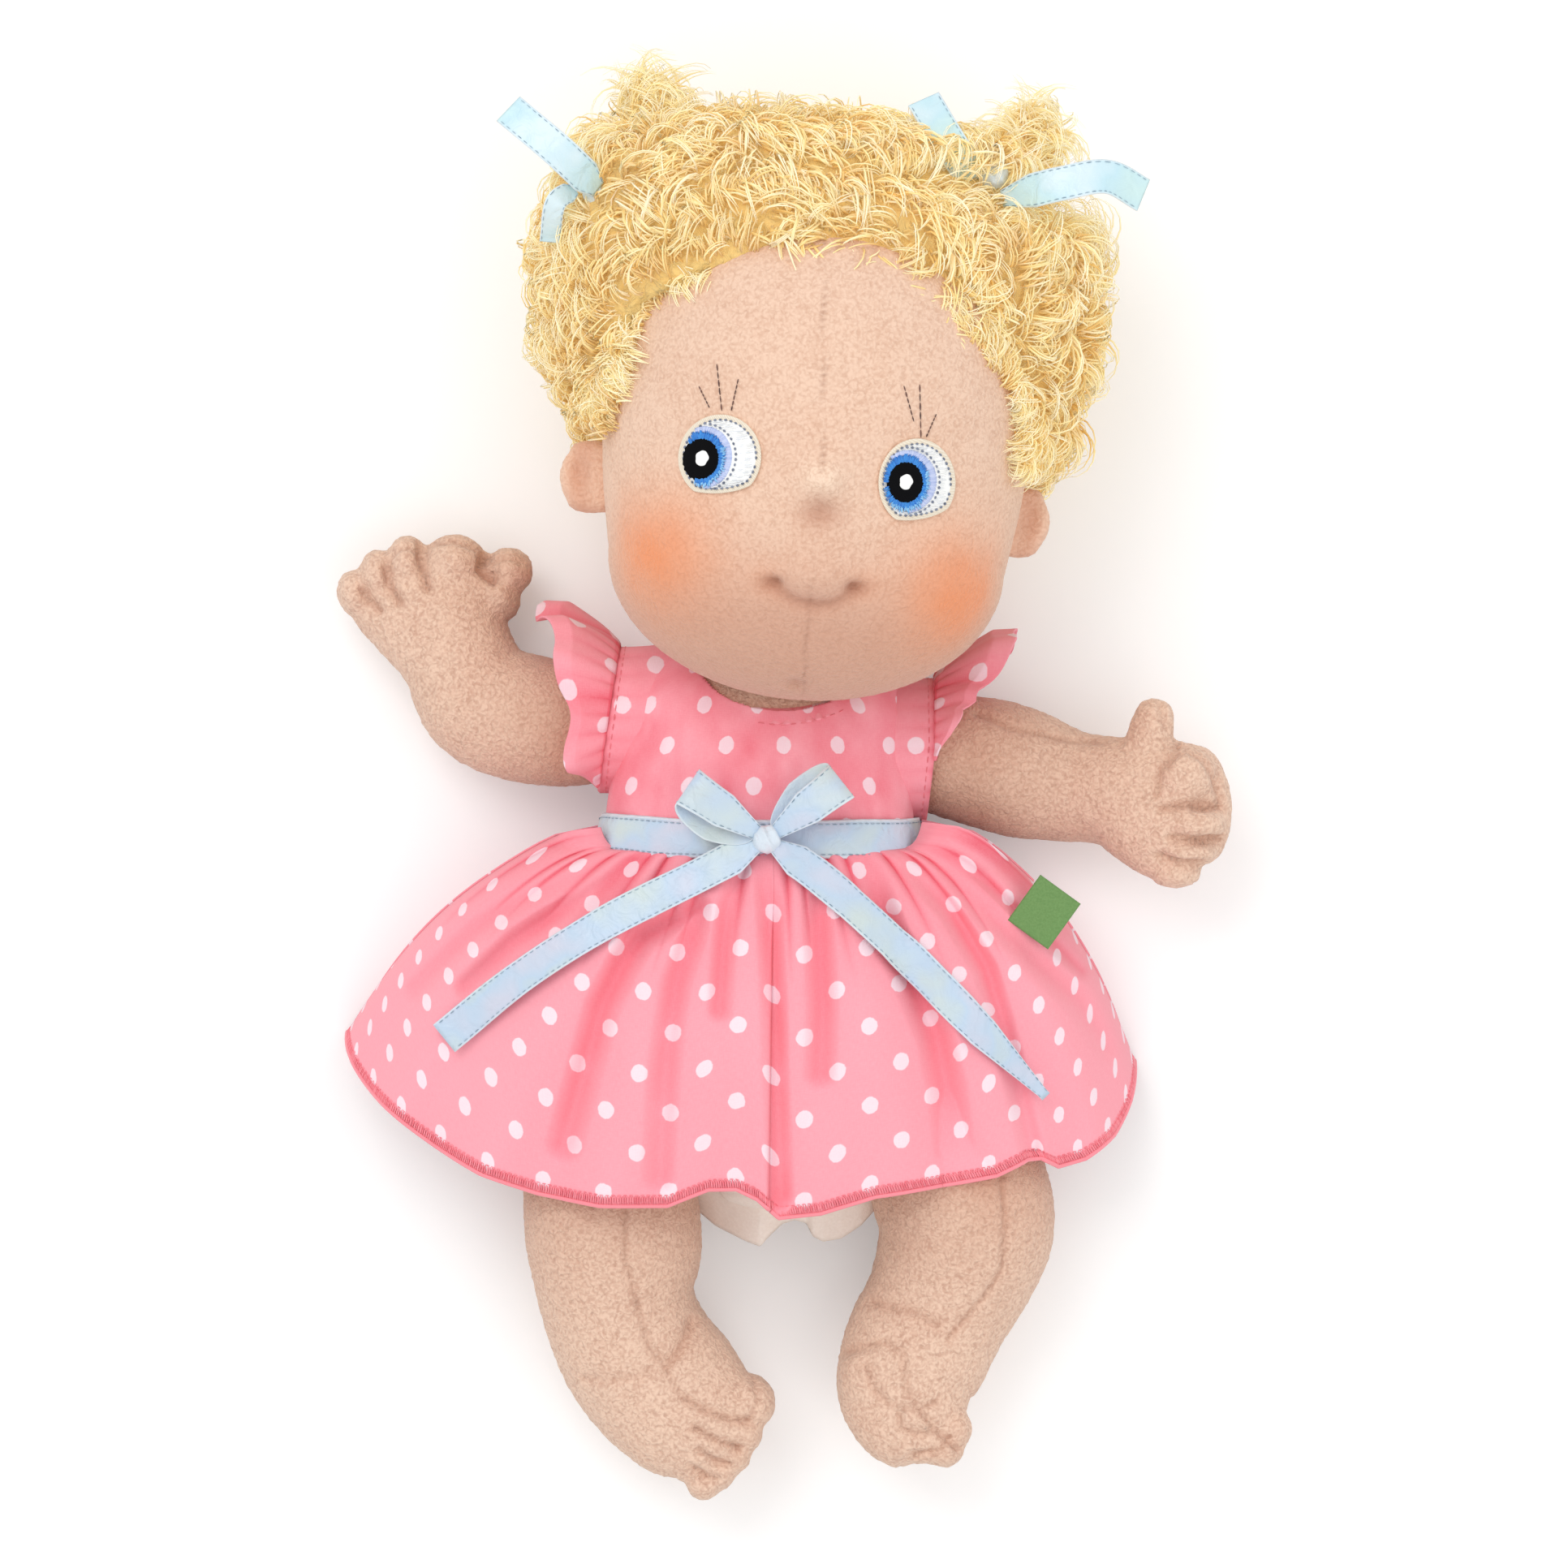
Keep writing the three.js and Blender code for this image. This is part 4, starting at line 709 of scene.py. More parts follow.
# the groove layer: dashes along the centre seam for its stitches and their painted shade, a painted shadow along
# the smile under the muzzle, and painted shade in the pits
dashed = 0.5 + 0.5 * np.sin(own[:, 1] * 2 * np.pi / 1.7)
seam_line = groove(own, CENTRE_SEAM, 0.3) * facing * dashed
smile_painted_shadow = groove(own, SMILE, 0.7) * facing * np.clip(1.2 - np.abs(own[:, 0] - 2.2) / 12, 0.3, 1)
mark(head, "groove", np.clip(0.55 * seam_line + 0.42 * smile_painted_shadow + 0.24 * pits, 0, 1))
# the shade layer is painted light and shade: darker towards the chin, under the nose and along the smile, with a
# painted highlight on the nose's tip
below = np.clip((-12 - own[:, 1]) / 34, 0, 1)
below = below * below * (3 - 2 * below)
under_nose_painted_shadow = mound(own, 2.2, -17.6, 5.2, 3.6, 0.34)
nose_painted_highlight = mound(own, 2.0, -10.0, 3.6, 3.0, 0.42)
mark(head, "shade", np.clip(0.26 + 0.50 * below + 0.2 * smile_near + under_nose_painted_shadow * facing - nose_painted_highlight, 0, 1))
belongs(head, "head", "skin_fleece", "head")

for side, sign, ear_x, ear_y in (("right", -1, -47.6, -11.8), ("left", 1, 44.8, -14.2)):
    shell = stuffed([(ear_x - sign * 0.5, ear_y - 5, 50, 6.6, 4.2), (ear_x, ear_y, 50, 8, 4.6),
                     (ear_x - sign * 0.5, ear_y + 5, 50, 6.6, 4.2)], (3, 3), 56, 48)
    shell[..., 2] -= mound(shell, ear_x + sign * 3.4, ear_y, 2.4, 4.6, 2.4) * (shell[..., 2] > 50)
    ear = form(f"ear_{side}_skin", to_doll(shell), face_fleece)
    ear_points = points_of(ear)
    move_points(ear, ear_points + normals_of(ear) * nap(ear_points, 0.16, 41 + sign)[:, None])
    # the shade layer is painted shade over the ear, deepest in its bowl
    from_bowl = to_head(ear_points)[:, 0] - ear_x - sign * 3.2
    mark(ear, "shade", np.clip(0.2 + 0.5 * np.exp(-(from_bowl / 2.6) ** 2), 0, 0.6))
    mark(ear, "blush", np.full(len(ear_points), 0.12))
    mark(ear, "groove", np.zeros(len(ear_points)))
    belongs(ear, "head", "skin_fleece", f"ear_{side}")

# ---------------------------------------------------------------------------------------------
# The eyes: a rounded patch of cream twill with everything on it embroidered: a white, an iris
# of blue stitches, a black pupil and a white glint. Dark threads above it are the lashes.


def cut_at(stations, y, steps=600):
    """A form's middle x, middle z and two half sizes at heights y along the body."""
    rows = smooth_line(stations, np.linspace(0, 1, steps))
    return [np.interp(y, rows[:, 1], rows[:, k]) for k in (0, 2, 3, 4)]


def head_front(x, y):
    """The height of the face's own skin over places of the head's frame, by its rings: at each
    y the ring is an oval of the head's middle, width and depth there, plus the face's bumps."""
    _, lift, wide, deep = cut_at(HEAD, y, 400)
    z = lift + deep * np.sqrt(np.clip(1 - (x / wide) ** 2, 0.02, 1))
    spot = np.stack([x, y, z], -1)
    return z + bumps(spot, NOSE_AND_CHEEKS) * forward(z) - bumps(spot, EYE_HOLLOWS)


def patch_outline(angle, wide, tall, slant):
    """The eye's rounded drop: an oval whose lower side is flattened along a slanting line."""
    x = wide * np.cos(angle)
    y = tall * np.sin(angle)
    floor = -0.74 * tall + slant * x
    return x, np.where(y < floor, floor + (y - floor) * 0.42, y)


def laid_disc(outline, middle, lift, crown, steps=26):
    """A crowned disc laid on the face: points from its middle out to an outline, at share r with
    height lift + crown (1 - r^4), and a side wall down to the face at the rim."""
    x, y = outline
    share = np.concatenate([np.linspace(0.04, 1, steps), [1.012, 1.0, 0.96]])
    sink = np.concatenate([np.zeros(steps), [0.45, 0.95, 1.0]])
    px = middle[0] + share[:, None] * x[None]
    py = middle[1] + share[:, None] * y[None]
    top = lift + crown * (1 - np.minimum(share, 1) ** 4)
    pz = head_front(px, py) + np.where(sink > 0, lift * (1 - sink), top)[:, None]
    return np.stack([px, py, pz], -1)


def disc_piece(name, grid, material, *nodes, slot="eye_twill"):
    """A laid disc as a piece of the head."""
    belongs(form(name, to_doll(grid), material), "head", slot, *nodes)


def one_texture(name, kind, values, output, tones, strength, distance, settings=(), **looks):
    """A cloth whose one texture, over its own places, gives both its two tones and its bump."""
    material, tree, shader = finish(name, **looks)
    texture = add(tree, kind, {"Vector": own_place(tree), **values}, **dict(settings)).outputs[output]
    colour = toned(tree, texture, light(*tones[0]), light(*tones[1]))
    surface(tree, shader, colour, raised(tree, texture, strength, distance))
    return material, tree, shader, colour


def thread_colours(name, pale, deep, tint=(1, 1, 1), roughness=0.45):
    """Embroidery thread: each stitch has its own shade, and a fine twist runs along it."""
    material, tree, shader = finish(name, roughness=roughness, sheen=0.25, tint=tint, specular=0.45)
    twist = noise_on(tree, own_place(tree), 5200.0, 2.0)
    shade = ranged(tree, maths(tree, "MULTIPLY", attribute(tree, "stitch"), twist), 0.1, 0.6)
    surface(tree, shader, toned(tree, shade, light(*pale), light(*deep)), raised(tree, twist, 0.4, 0.0001))
    return material


twill = one_texture("cream_twill", "ShaderNodeTexWave",
                    {"Scale": 900.0, "Distortion": 1.5, "Detail": 1.0}, "Fac",
                    ((232, 218, 196), (246, 236, 218)), 0.35, 0.0002, {"bands_direction": "DIAGONAL"},
                    roughness=0.85, sheen=0.15, specular=0.2)[0]
white_thread = thread_colours("white_thread", (252, 252, 250), (226, 230, 236))
lilac_thread = thread_colours("lilac_thread", (204, 214, 244), (168, 182, 226))
blue_thread = thread_colours("blue_thread", (56, 146, 226), (20, 92, 186), (0.7, 0.85, 1))
sky_thread = thread_colours("sky_thread", (150, 206, 244), (84, 160, 226), (0.9, 0.95, 1))
black_thread = thread_colours("black_thread", (6, 6, 9), (2, 2, 4), (0.2, 0.2, 0.25), 0.85)
black_shader = black_thread.node_tree.nodes["Principled BSDF"]
black_shader.inputs["Sheen Weight"].default_value = 0.0
black_shader.inputs["Specular IOR Level"].default_value = 0.12
grey_thread = thread_colours("grey_thread", (128, 136, 156), (82, 90, 110))
brown_thread = thread_colours("brown_thread", (104, 66, 58), (62, 38, 36))


def chains(points):
    """Faces of many closed tubes given as points[tube, ring, corner], facing outwards."""
    count, rings, sides = points.shape[:3]
    quads = np.array(grid_faces(rings, sides, True, False))
    caps = np.array([np.arange(sides)[::-1], (rings - 1) * sides + np.arange(sides)])
    start = rings * sides * np.arange(count)[:, None, None]
    faces = (quads + start).reshape(-1, 4).tolist() + (caps + start).reshape(-1, sides).tolist()
    if is_inside_out(points[0].reshape(-1, 3), quads.tolist()):
        faces = [f[::-1] for f in faces]
    return faces


def spindles(middle, ups, radius, slim, flat, rng, spread):
    """Slim five-sided spindles along lines of places: at share t of a line the radius is
    r (slim + (1 - slim) sin(pi t)), less by flat along the ups."""
    count, rings = middle.shape[:2]
    bow = np.sin(np.pi * np.linspace(0, 1, rings))
    side = unit(np.cross(unit(np.gradient(middle, axis=1)), ups))
    over = np.cross(side, unit(np.gradient(middle, axis=1)))
    turn = np.linspace(0, 2 * np.pi, 5, endpoint=False)[:, None]
    size = radius * (slim + (1 - slim) * bow)[None, :, None, None] * rng.uniform(*spread, (count, 1, 1, 1))
    return middle[:, :, None] + size * (np.cos(turn) * side[:, :, None]
                                        + flat * np.sin(turn) * over[:, :, None])


def straight(starts, ends, steps):
    """Lines of evenly spaced places from starts to ends."""
    starts, ends = np.asarray(starts, float), np.asarray(ends, float)
    return starts[:, None] + (ends - starts)[:, None] * np.linspace(0, 1, steps)[None, :, None]


def stitches(name, starts, ends, radius, lifts, material, slot, seed, *nodes):
    """Satin stitches: each is a slim spindle from a start to an end, raised over the face at share
    t along it by lift + arch sin(pi t)."""
    rng = np.random.default_rng(seed)
    line = straight(starts, ends, 7)
    z = head_front(line[..., 0], line[..., 1]) + lifts[0] + lifts[1] * np.sin(np.pi * np.linspace(0, 1, 7))
    middle = np.concatenate([line, z[..., None]], -1)
    points = to_doll(spindles(middle, [0, 0, 1.0], radius, 0.35, 0.7, rng, (0.8, 1.15)))
    made = piece(name, points, chains(points), material)
    mark(made, "stitch", np.repeat(rng.uniform(0, 1, len(line)), 35))
    belongs(made, "head", slot, *nodes)


def run(line):
    """How far along a line of places each of them is."""
    return np.concatenate([[0], np.cumsum(np.linalg.norm(np.diff(line, axis=0), axis=1))])


def at_run(line, at, far=None):
    """A line's places at distances along it; far says where each place is, if not its own run."""
    far = run(line) if far is None else far
    return np.stack([np.interp(at, far, line[:, k]) for k in range(line.shape[1])], -1)


def dashes(line, filled, step=1.15):
    """Start and end places of dashes evenly spaced along a line, each a share of its step."""
    at = np.arange(0, run(line)[-1] - step, step)
    return at_run(line, at), at_run(line, at + step * filled)


def on_oval(middle, wide, tall, angle):
    """Places at angles round a middle, on one oval or on many."""
    return np.stack([middle[0] + wide * np.cos(angle), middle[1] + tall * np.sin(angle)], -1)


def inside_patch(eye, spots, shrink):
    """True where places are inside an eye patch's outline, drawn in by a share."""
    reach = spots - np.array(eye["middle"])
    turn = np.arctan2(reach[:, 1] / eye["tall"], reach[:, 0] / eye["wide"])
    outline = patch_outline(turn, eye["wide"] * shrink, eye["tall"] * shrink, eye["slant"])
    return np.hypot(*reach.T) < np.hypot(*outline) * 0.995


EYES = {
    "right": {"middle": (-20.4, -6.8), "wide": 8.9, "tall": 9.1, "slant": 0.17, "iris": (-3.9, -0.6),
              "lashes": [((-26.1, 8.2), (-23.4, 3.6)), ((-22.6, 13.2), (-20.7, 3.0)),
                         ((-17.7, 10.2), (-18.7, 3.2))]},
    "left": {"middle": (22.5, -8.9), "wide": 8.3, "tall": 9.4, "slant": 0.32, "iris": (-2.5, -0.2),
             "lashes": [((18.0, 11.6), (20.8, 4.0)), ((21.4, 12.2), (22.6, 0.6)),
                        ((25.5, 6.2), (23.7, 1.0))]},
}
around_eye = np.linspace(0, 2 * np.pi, 121)[:-1]

for side, eye in EYES.items():
    mx, my = eye["middle"]
    wide, tall, slant = eye["wide"], eye["tall"], eye["slant"]
    iris = ix, iy = mx + eye["iris"][0], my + eye["iris"][1]
    rim = patch_outline(around_eye, wide, tall, slant)
    disc_piece(f"eye_{side}_patch", laid_disc(rim, (mx, my), 0.75, 0.5), twill, f"eye_patch_{side}")

    # the white of the eye: a bed of white thread with rows of flat stitches across it, in bands
    bed = patch_outline(around_eye, wide * 0.88, tall * 0.88, slant)
    disc_piece(f"eye_{side}_bed", laid_disc(bed, (mx, my), 0.98, 0.42), white_thread)
    rng = np.random.default_rng(101 if side == "left" else 77)
    cells = []
    for row in np.arange(-tall, tall, 0.22):
        for column in np.arange(-wide, wide, 2.3):
            start = column + 0.9 * (int(round(row / 0.22)) % 2) + rng.uniform(-0.2, 0.2)
            cells.append((mx + start, my + row, mx + start + 2.1, my + row + rng.uniform(-0.1, 0.1) + 0.35))
    starts, ends = np.split(np.array(cells), 2, axis=1)
    kept = (inside_patch(eye, starts, 0.87) & inside_patch(eye, ends, 0.87)
            & (np.hypot(*(((starts + ends) / 2 - iris) * [1, 0.85]).T) > 5.2))
    stitches(f"eye_{side}_white", starts[kept], ends[kept], 0.17, (1.12, 0.16), white_thread,
             "eye_twill", 5)

    # a lilac crescent round the iris's upper and outer side, within a dashed arc
    fan = np.radians(np.arange(-78, 132, 1.35))
    swell = 0.6 + 1.0 * np.clip(np.cos(fan - np.radians(28)), 0, 1)
    inner = on_oval(iris, 4.5, 5.6, fan)
    outer = on_oval(iris, 5.4 + swell, 6.3 + swell * 0.7, fan)
    kept = inside_patch(eye, outer, 0.93)
    stitches(f"eye_{side}_lilac", inner[kept], outer[kept], 0.17, (1.28, 0.18), lilac_thread,
             "eye_twill", 6)
    arc = on_oval(iris, 5.9 + swell, 6.8 + swell * 0.7, fan)
    first, last = dashes(arc[inside_patch(eye, arc, 0.90)], 0.55)
    stitches(f"eye_{side}_arc", first, last, 0.3, (1.55, 0.1), grey_thread, "eye_twill", 7)

    # the dashed outline just inside the patch's bare border
    line_x, line_y = patch_outline(np.append(around_eye, 2 * np.pi), wide * 0.885, tall * 0.885, slant)
    first, last = dashes(np.stack([mx + line_x, my + line_y], -1), 0.58)
    stitches(f"eye_{side}_outline", first, last, 0.28, (1.2, 0.12), grey_thread, "eye_twill", 8)

    # the iris: jagged rays of blue with paler ones at the lower outer side
    rays = np.radians(np.arange(0, 360, 1.5))
    far = 4.9 + rng.uniform(-0.3, 0.4, len(rays))
    near = 3.5 + rng.uniform(-0.25, 0.15, len(rays))
    first, last = on_oval(iris, near, 1.14 * near, rays), on_oval(iris, far, 1.2 * far, rays)
    kept = inside_patch(eye, last, 0.90)
    stitches(f"eye_{side}_iris", first[kept], last[kept], 0.17, (1.52, 0.3), blue_thread, "iris_thread", 9,
             f"iris_{side}")
    low = kept & (np.abs(((np.degrees(rays) + 180) % 360) - 180 + 48) < 76)
    low &= rng.uniform(0, 1, len(rays)) < 0.7
    pale_last = first + (last - first) * rng.uniform(0.95, 1.35, (len(rays), 1))
    low &= inside_patch(eye, pale_last, 0.93)
    pale_first = first + (last - first) * 0.62
    stitches(f"eye_{side}_iris_pale", pale_first[low], pale_last[low], 0.15, (1.68, 0.22), sky_thread,
             "iris_thread", 10)

    # the pupil and its glint
    edge = 1 + 0.02 * np.sin(26 * around_eye) + 0.015 * np.sin(17 * around_eye + 1)
    pupil = laid_disc((4.05 * np.cos(around_eye) * edge, 4.75 * np.sin(around_eye) * edge), iris, 1.7, 0.35)
    disc_piece(f"eye_{side}_pupil", pupil, black_thread, f"pupil_{side}", slot="pupil_thread")
    gx, gy = 1.45 * np.cos(around_eye) * (1 + 0.08 * np.sin(5 * around_eye)), 1.75 * np.sin(around_eye)
    glint_sin, glint_cos = np.sin(np.radians(70)), np.cos(np.radians(70)) * 0.6
    glint = laid_disc((gx * glint_sin + gy * glint_cos, gy * glint_sin - gx * glint_cos),
                      (ix + 0.1, iy + 0.1), 2.12, 0.25, 12)
    disc_piece(f"eye_{side}_glint", glint, white_thread, f"glint_{side}", slot="glint_thread")

    # three lashes of one thread each, sewn in short running stitches
    first, last = [], []
    for a, b in np.array(eye["lashes"], float):
        cuts = np.linspace(0, 1, 7)[:-1]
        first += [a + (b - a) * t for t in cuts]
        last += [a + (b - a) * (t + 0.15) for t in cuts]
    stitches(f"eye_{side}_lashes", first, last, 0.17, (0.12, 0.12), brown_thread, "pupil_thread", 12)

# ---------------------------------------------------------------------------------------------
# The wig: a cap of curly pile sewn to the head, in small locks that clump, curl over and hook
# at their tips. It is parted nowhere, pale at the tips and painted deep gold towards the roots as
# the shade where one sees into it, and it carries a faint painted glow.

WIG = [(0, -27, 29, 24, 21), (0, -16, 33, 43, 32), (0, -3, 38, 54, 40), (0, 16, 41, 61.5, 42),
       (-2, 34, 45, 64, 46), (-3, 50, 48, 61, 43), (-2, 61, 49, 49, 32)]
OPEN_WIDE, OPEN_TOP, OPEN_DEPTH = 46.0, 36.5, 50.0

pile_cloth, pile_tree, pile_shader, pile_tone = one_texture(
    "pile_backing", "ShaderNodeTexNoise", {"Scale": 260.0, "Detail": 5.0, "Distortion": 2.5}, "Fac",
    ((230, 184, 104), (246, 218, 150)), 0.9, 0.002,
    roughness=0.9, sheen=0.3, tint=(1, 0.93, 0.7), specular=0.1)
# a faint painted glow in the pile's own tones, for light scattered through it
pile_tree.links.new(pile_tone, pile_shader.inputs["Emission Color"])
pile_shader.inputs["Emission Strength"].default_value = 0.10

lock_thread, lock_tree, lock_shader = finish("curly_pile", roughness=0.36, sheen=0.3, tint=(1, 0.97, 0.84),
                                             specular=0.5)
# the ramp by the tip layer: deep gold at the roots is painted shade of the pile's depth, pale at the tips; the
# emission is a painted glow of light scattered through the pile
lock_ramp = add(lock_tree, "ShaderNodeValToRGB", {0: attribute(lock_tree, "tip")})
lock_ramp.color_ramp.elements[0].color = light(238, 192, 108)
lock_ramp.color_ramp.elements[1].color = light(255, 248, 220)
lock_ramp.color_ramp.elements.new(0.4).color = light(252, 232, 168)
lock_pale = toned(lock_tree, attribute(lock_tree, "tone"), lock_ramp.outputs[0], light(255, 250, 236))
lock_tree.links.new(lock_pale, lock_shader.inputs["Base Color"])
lock_tree.links.new(lock_ramp.outputs[0], lock_shader.inputs["Emission Color"])
lock_shader.inputs["Emission Strength"].default_value = 0.17


def wig_point(share, angle, grow):
    """Places on the wig's form and the way it faces there, at shares along it and angles round."""
    def at(s, a):
        middle, _, side, front, size = frame_on(WIG, s, grow)
        return middle + side * size[:, :1] * np.cos(a)[:, None] + front * size[:, 1:] * np.sin(a)[:, None]

    spot = at(share, angle)
    along = at(np.clip(share + 2e-3, 0, 1), angle) - at(np.clip(share - 2e-3, 0, 1), angle)
    round_it = at(share, angle + 2e-3) - at(share, angle - 2e-3)
    facing = unit(np.cross(round_it, along))
    outward = spot - smooth_line(WIG, share)[:, :3]
    return spot, facing * np.sign((facing * outward).sum(-1, keepdims=True))


def hairline_shift(y):
    """How far sideways the opening's oval is drawn at a height over the face."""
    return np.interp(y, [0, 8, 15, 25, 40], [0.0, 0.5, -1.0, -5.5, -8.0])


def in_opening(spot, margin):
    """True in front of the face, where the wig is open: an oval above and everything below."""
    across = (spot[:, 0] - hairline_shift(spot[:, 1])) / (OPEN_WIDE - margin)
    oval = across ** 2 + (spot[:, 1] / (OPEN_TOP - margin)) ** 2 < 1
    under = (np.abs(spot[:, 0]) < 2 * OPEN_WIDE) & (spot[:, 1] < margin - 2)
    return (spot[:, 2] > OPEN_DEPTH + margin * 0.6) & (oval | under)


# the cap: where the wig is open, its pile is sunk below the face
cap_grid = stuffed(WIG, (6, 12), 130, 90, -3.5)
cap_points = cap_grid.reshape(-1, 3)
hidden = in_opening(cap_points, 0.0)
inward = cap_points.copy()
head_wide = np.interp(cap_points[:, 1], [-50, -42, -27, -7, 15, 34, 48, 57],
                      [20, 34, 43, 46.6, 46.4, 41, 28, 4])
level = np.sqrt(np.clip(1 - (cap_points[:, 0] / np.maximum(head_wide, 1)) ** 2, 0, 1))
buried = 46 + 40 * level
inward[hidden, 2] = np.minimum(cap_points[hidden, 2], np.maximum(buried[hidden], 50))
inward[:, 2] = np.maximum(inward[:, 2], 0.6)
cap = form("wig_backing", to_doll(inward.reshape(cap_grid.shape)), pile_cloth)
belongs(cap, "head", "curly_pile", "wig")


def locks(name, roots, facings, flows, reach, curl, radius, hairs, seed, rings=8):
    """Curly locks: each root grows a clump of hairs along one curling line.

    The line leaves along the facing, leans over towards the flow and winds on a circle: at share
    t its turn is curl t^1.1, its way is facing cos(turn) + flow sin(turn), and the places are the
    running sum of the ways times reach / rings. Hairs start apart and draw together to the tip;
    each is a three-sided tube that thins as (1 - t)^0.7."""
    rng = np.random.default_rng(seed)
    count = len(roots)
    t = np.linspace(0, 1, rings)
    turn = curl[:, None] * t[None] ** 1.1 + rng.uniform(-0.3, 0.5, (count, 1))
    side = np.cross(facings, flows)
    sway = rng.normal(0, 0.4, (count, 1))
    sway = sway * np.sin(t[None] * rng.uniform(2, 5, (count, 1)) + rng.uniform(0, 6, (count, 1)))
    ways = unit(facings[:, None] * np.cos(turn)[..., None] + flows[:, None] * np.sin(turn)[..., None]
                + side[:, None] * sway[..., None])
    steps = np.cumsum(ways[:, 1:] * (reach[:, None] / (rings - 1))[..., None], axis=1)
    line = roots[:, None] + np.concatenate([np.zeros((count, 1, 3)), steps], axis=1)
    spread = rng.normal(0, 1, (count, hairs, 1, 3)) * radius * 2.6
    stray = rng.normal(0, 1, (count, hairs, 1, 3)) * radius * 4
    stray = stray * (rng.uniform(0, 1, (count, hairs, 1, 1)) > 0.88)
    middle = line[:, None] + spread * (1.1 - 0.65 * t)[:, None] + stray * (t ** 2)[:, None]
    middle = middle.reshape(-1, rings, 3)
    ahead = unit(np.gradient(middle, axis=1))
    across = unit(np.cross(ahead, np.array([0.31, 0.2, 0.93])))
    over = np.cross(across, ahead)
    corner = (np.array([0, 2, 4]) * np.pi / 3)[:, None]
    thinning = radius * np.maximum((1 - t) ** 0.7, 0.14)[None, :, None, None]
    width = thinning * rng.uniform(0.7, 1.3, (len(middle), 1, 1, 1))
    points = middle[:, :, None] + width * (np.cos(corner) * across[:, :, None]
                                           + np.sin(corner) * over[:, :, None])
    flat = to_doll(points.reshape(-1, 3))
    flat[:, 2] = np.maximum(flat[:, 2], 0.15)
    made = piece(name, flat, chains(points), lock_thread)
    tone = np.clip(rng.normal(0.10, 0.20, (count, 1)) + rng.normal(0, 0.10, (count, hairs)), 0, 0.85)
    mark(made, "tone", np.repeat(tone.ravel(), 3 * rings))
    # the tip layer: 0 at the root, painted in the pile's shade, to 1 at the lock's pale tip
    depth = np.clip(t[None] * 1.05 + rng.normal(0, 0.12, (len(middle), 1)), 0, 1)
    mark(made, "tip", np.repeat(depth.ravel(), 3))
    belongs(made, "head", "curly_pile")


def across_facing(facings, angles):
    """A level way on each facing's plane, turned by an angle."""
    base = unit(np.cross(facings, np.array([0.15, 0.1, 0.98])))
    other = np.cross(facings, base)
    return unit(np.cos(angles)[:, None] * base + np.sin(angles)[:, None] * other)


rng = np.random.default_rng(2026)
SWARM, CROWN, FRONT, BACK, RIM = 15000, 2200, 4560, 2000, 1400
CROWN_SIZE = np.array([46, 8, 27])
share, angle = rng.uniform(0.0, 1.0, SWARM), rng.uniform(0, 2 * np.pi, SWARM)
spot, facing_there = wig_point(share, angle, -3.4)
keep = rng.uniform(0, 66, SWARM) < smooth_line(WIG, share)[:, 3]
keep &= ~in_opening(spot, -2.5) & (spot[:, 2] > 2.0)
spot, facing_there = spot[keep], facing_there[keep]
crown_turn, lean = rng.uniform(0, 2 * np.pi, CROWN), np.arccos(1 - rng.uniform(0, 1, CROWN))
crown_way = np.stack([np.sin(lean) * np.cos(crown_turn), np.cos(lean),
                      np.sin(lean) * np.sin(crown_turn)], -1)
spot = np.vstack([spot, np.array([-2, 62, 49.0]) + crown_way * CROWN_SIZE])
facing_there = np.vstack([facing_there, unit(crown_way / CROWN_SIZE)])
in_front = spot[:, 2] > 30
order = np.concatenate([rng.permutation(np.flatnonzero(in_front))[:FRONT],
                        rng.permutation(np.flatnonzero(~in_front))[:BACK]])
spot, facing_there = spot[order], facing_there[order]
swirl = 5.5 * value_noise(spot, 15.0, 61) + rng.normal(0, 0.38, len(spot))
flow = across_facing(facing_there, swirl)
reach = rng.uniform(9.5, 19.0, len(spot)) * np.interp(spot[:, 1], [-16, 6], [0.55, 1.0])
curl = rng.uniform(2.8, 7.2, len(spot))
for k in range(6):
    cut = slice(k * FRONT // 6, (k + 1) * FRONT // 6)
    locks(f"wig_locks_{k + 1}", spot[cut], facing_there[cut], flow[cut], reach[cut], curl[cut], 0.27,
          3, 300 + cut.start)
for k in range(2):
    cut = slice(FRONT + k * BACK // 2, FRONT + (k + 1) * BACK // 2)
    locks(f"wig_back_locks_{k + 1}", spot[cut], facing_there[cut], flow[cut], 0.85 * reach[cut],
          curl[cut], 0.38, 2, 500 + k, rings=7)

# the edge round the face: short hairs that hang over the fleece from the cap's rim
rim_turn = np.radians(rng.uniform(-4, 184, RIM))
rim = np.stack([(OPEN_WIDE + rng.uniform(-1.2, 4.5, RIM)) * np.cos(rim_turn),
                (OPEN_TOP + rng.uniform(-1.6, 4, RIM)) * np.sin(rim_turn), np.zeros(RIM)], -1)
rim[:, 0] += hairline_shift(rim[:, 1])
rim_wide = np.interp(rim[:, 1], [-20, -7, 15, 34, 48, 57], [48, 50.5, 50.5, 46, 34, 12])
rim_level = np.sqrt(np.clip(1 - (rim[:, 0] / rim_wide) ** 2, 0.0, 1))
rim[:, 2] = 52 + 41 * rim_level * np.clip(1 - (rim[:, 1] / 58) ** 4, 0.1, 1)
rim_out = unit((rim - [0, 0, 52]) / np.array([46, 55, 44]) ** 2)
rim_flow = across_facing(rim_out, 5.0 * value_noise(rim, 12.0, 62) + rng.normal(0, 0.4, RIM))
for k in range(2):
    cut = slice(k * RIM // 2, (k + 1) * RIM // 2)
    locks(f"wig_edge_{k + 1}", rim[cut] - rim_out[cut] * 1.0, rim_out[cut], rim_flow[cut],
          rng.uniform(6, 12.5, RIM // 2), rng.uniform(2.6, 5.8, RIM // 2), 0.25, 3, 900 + k)

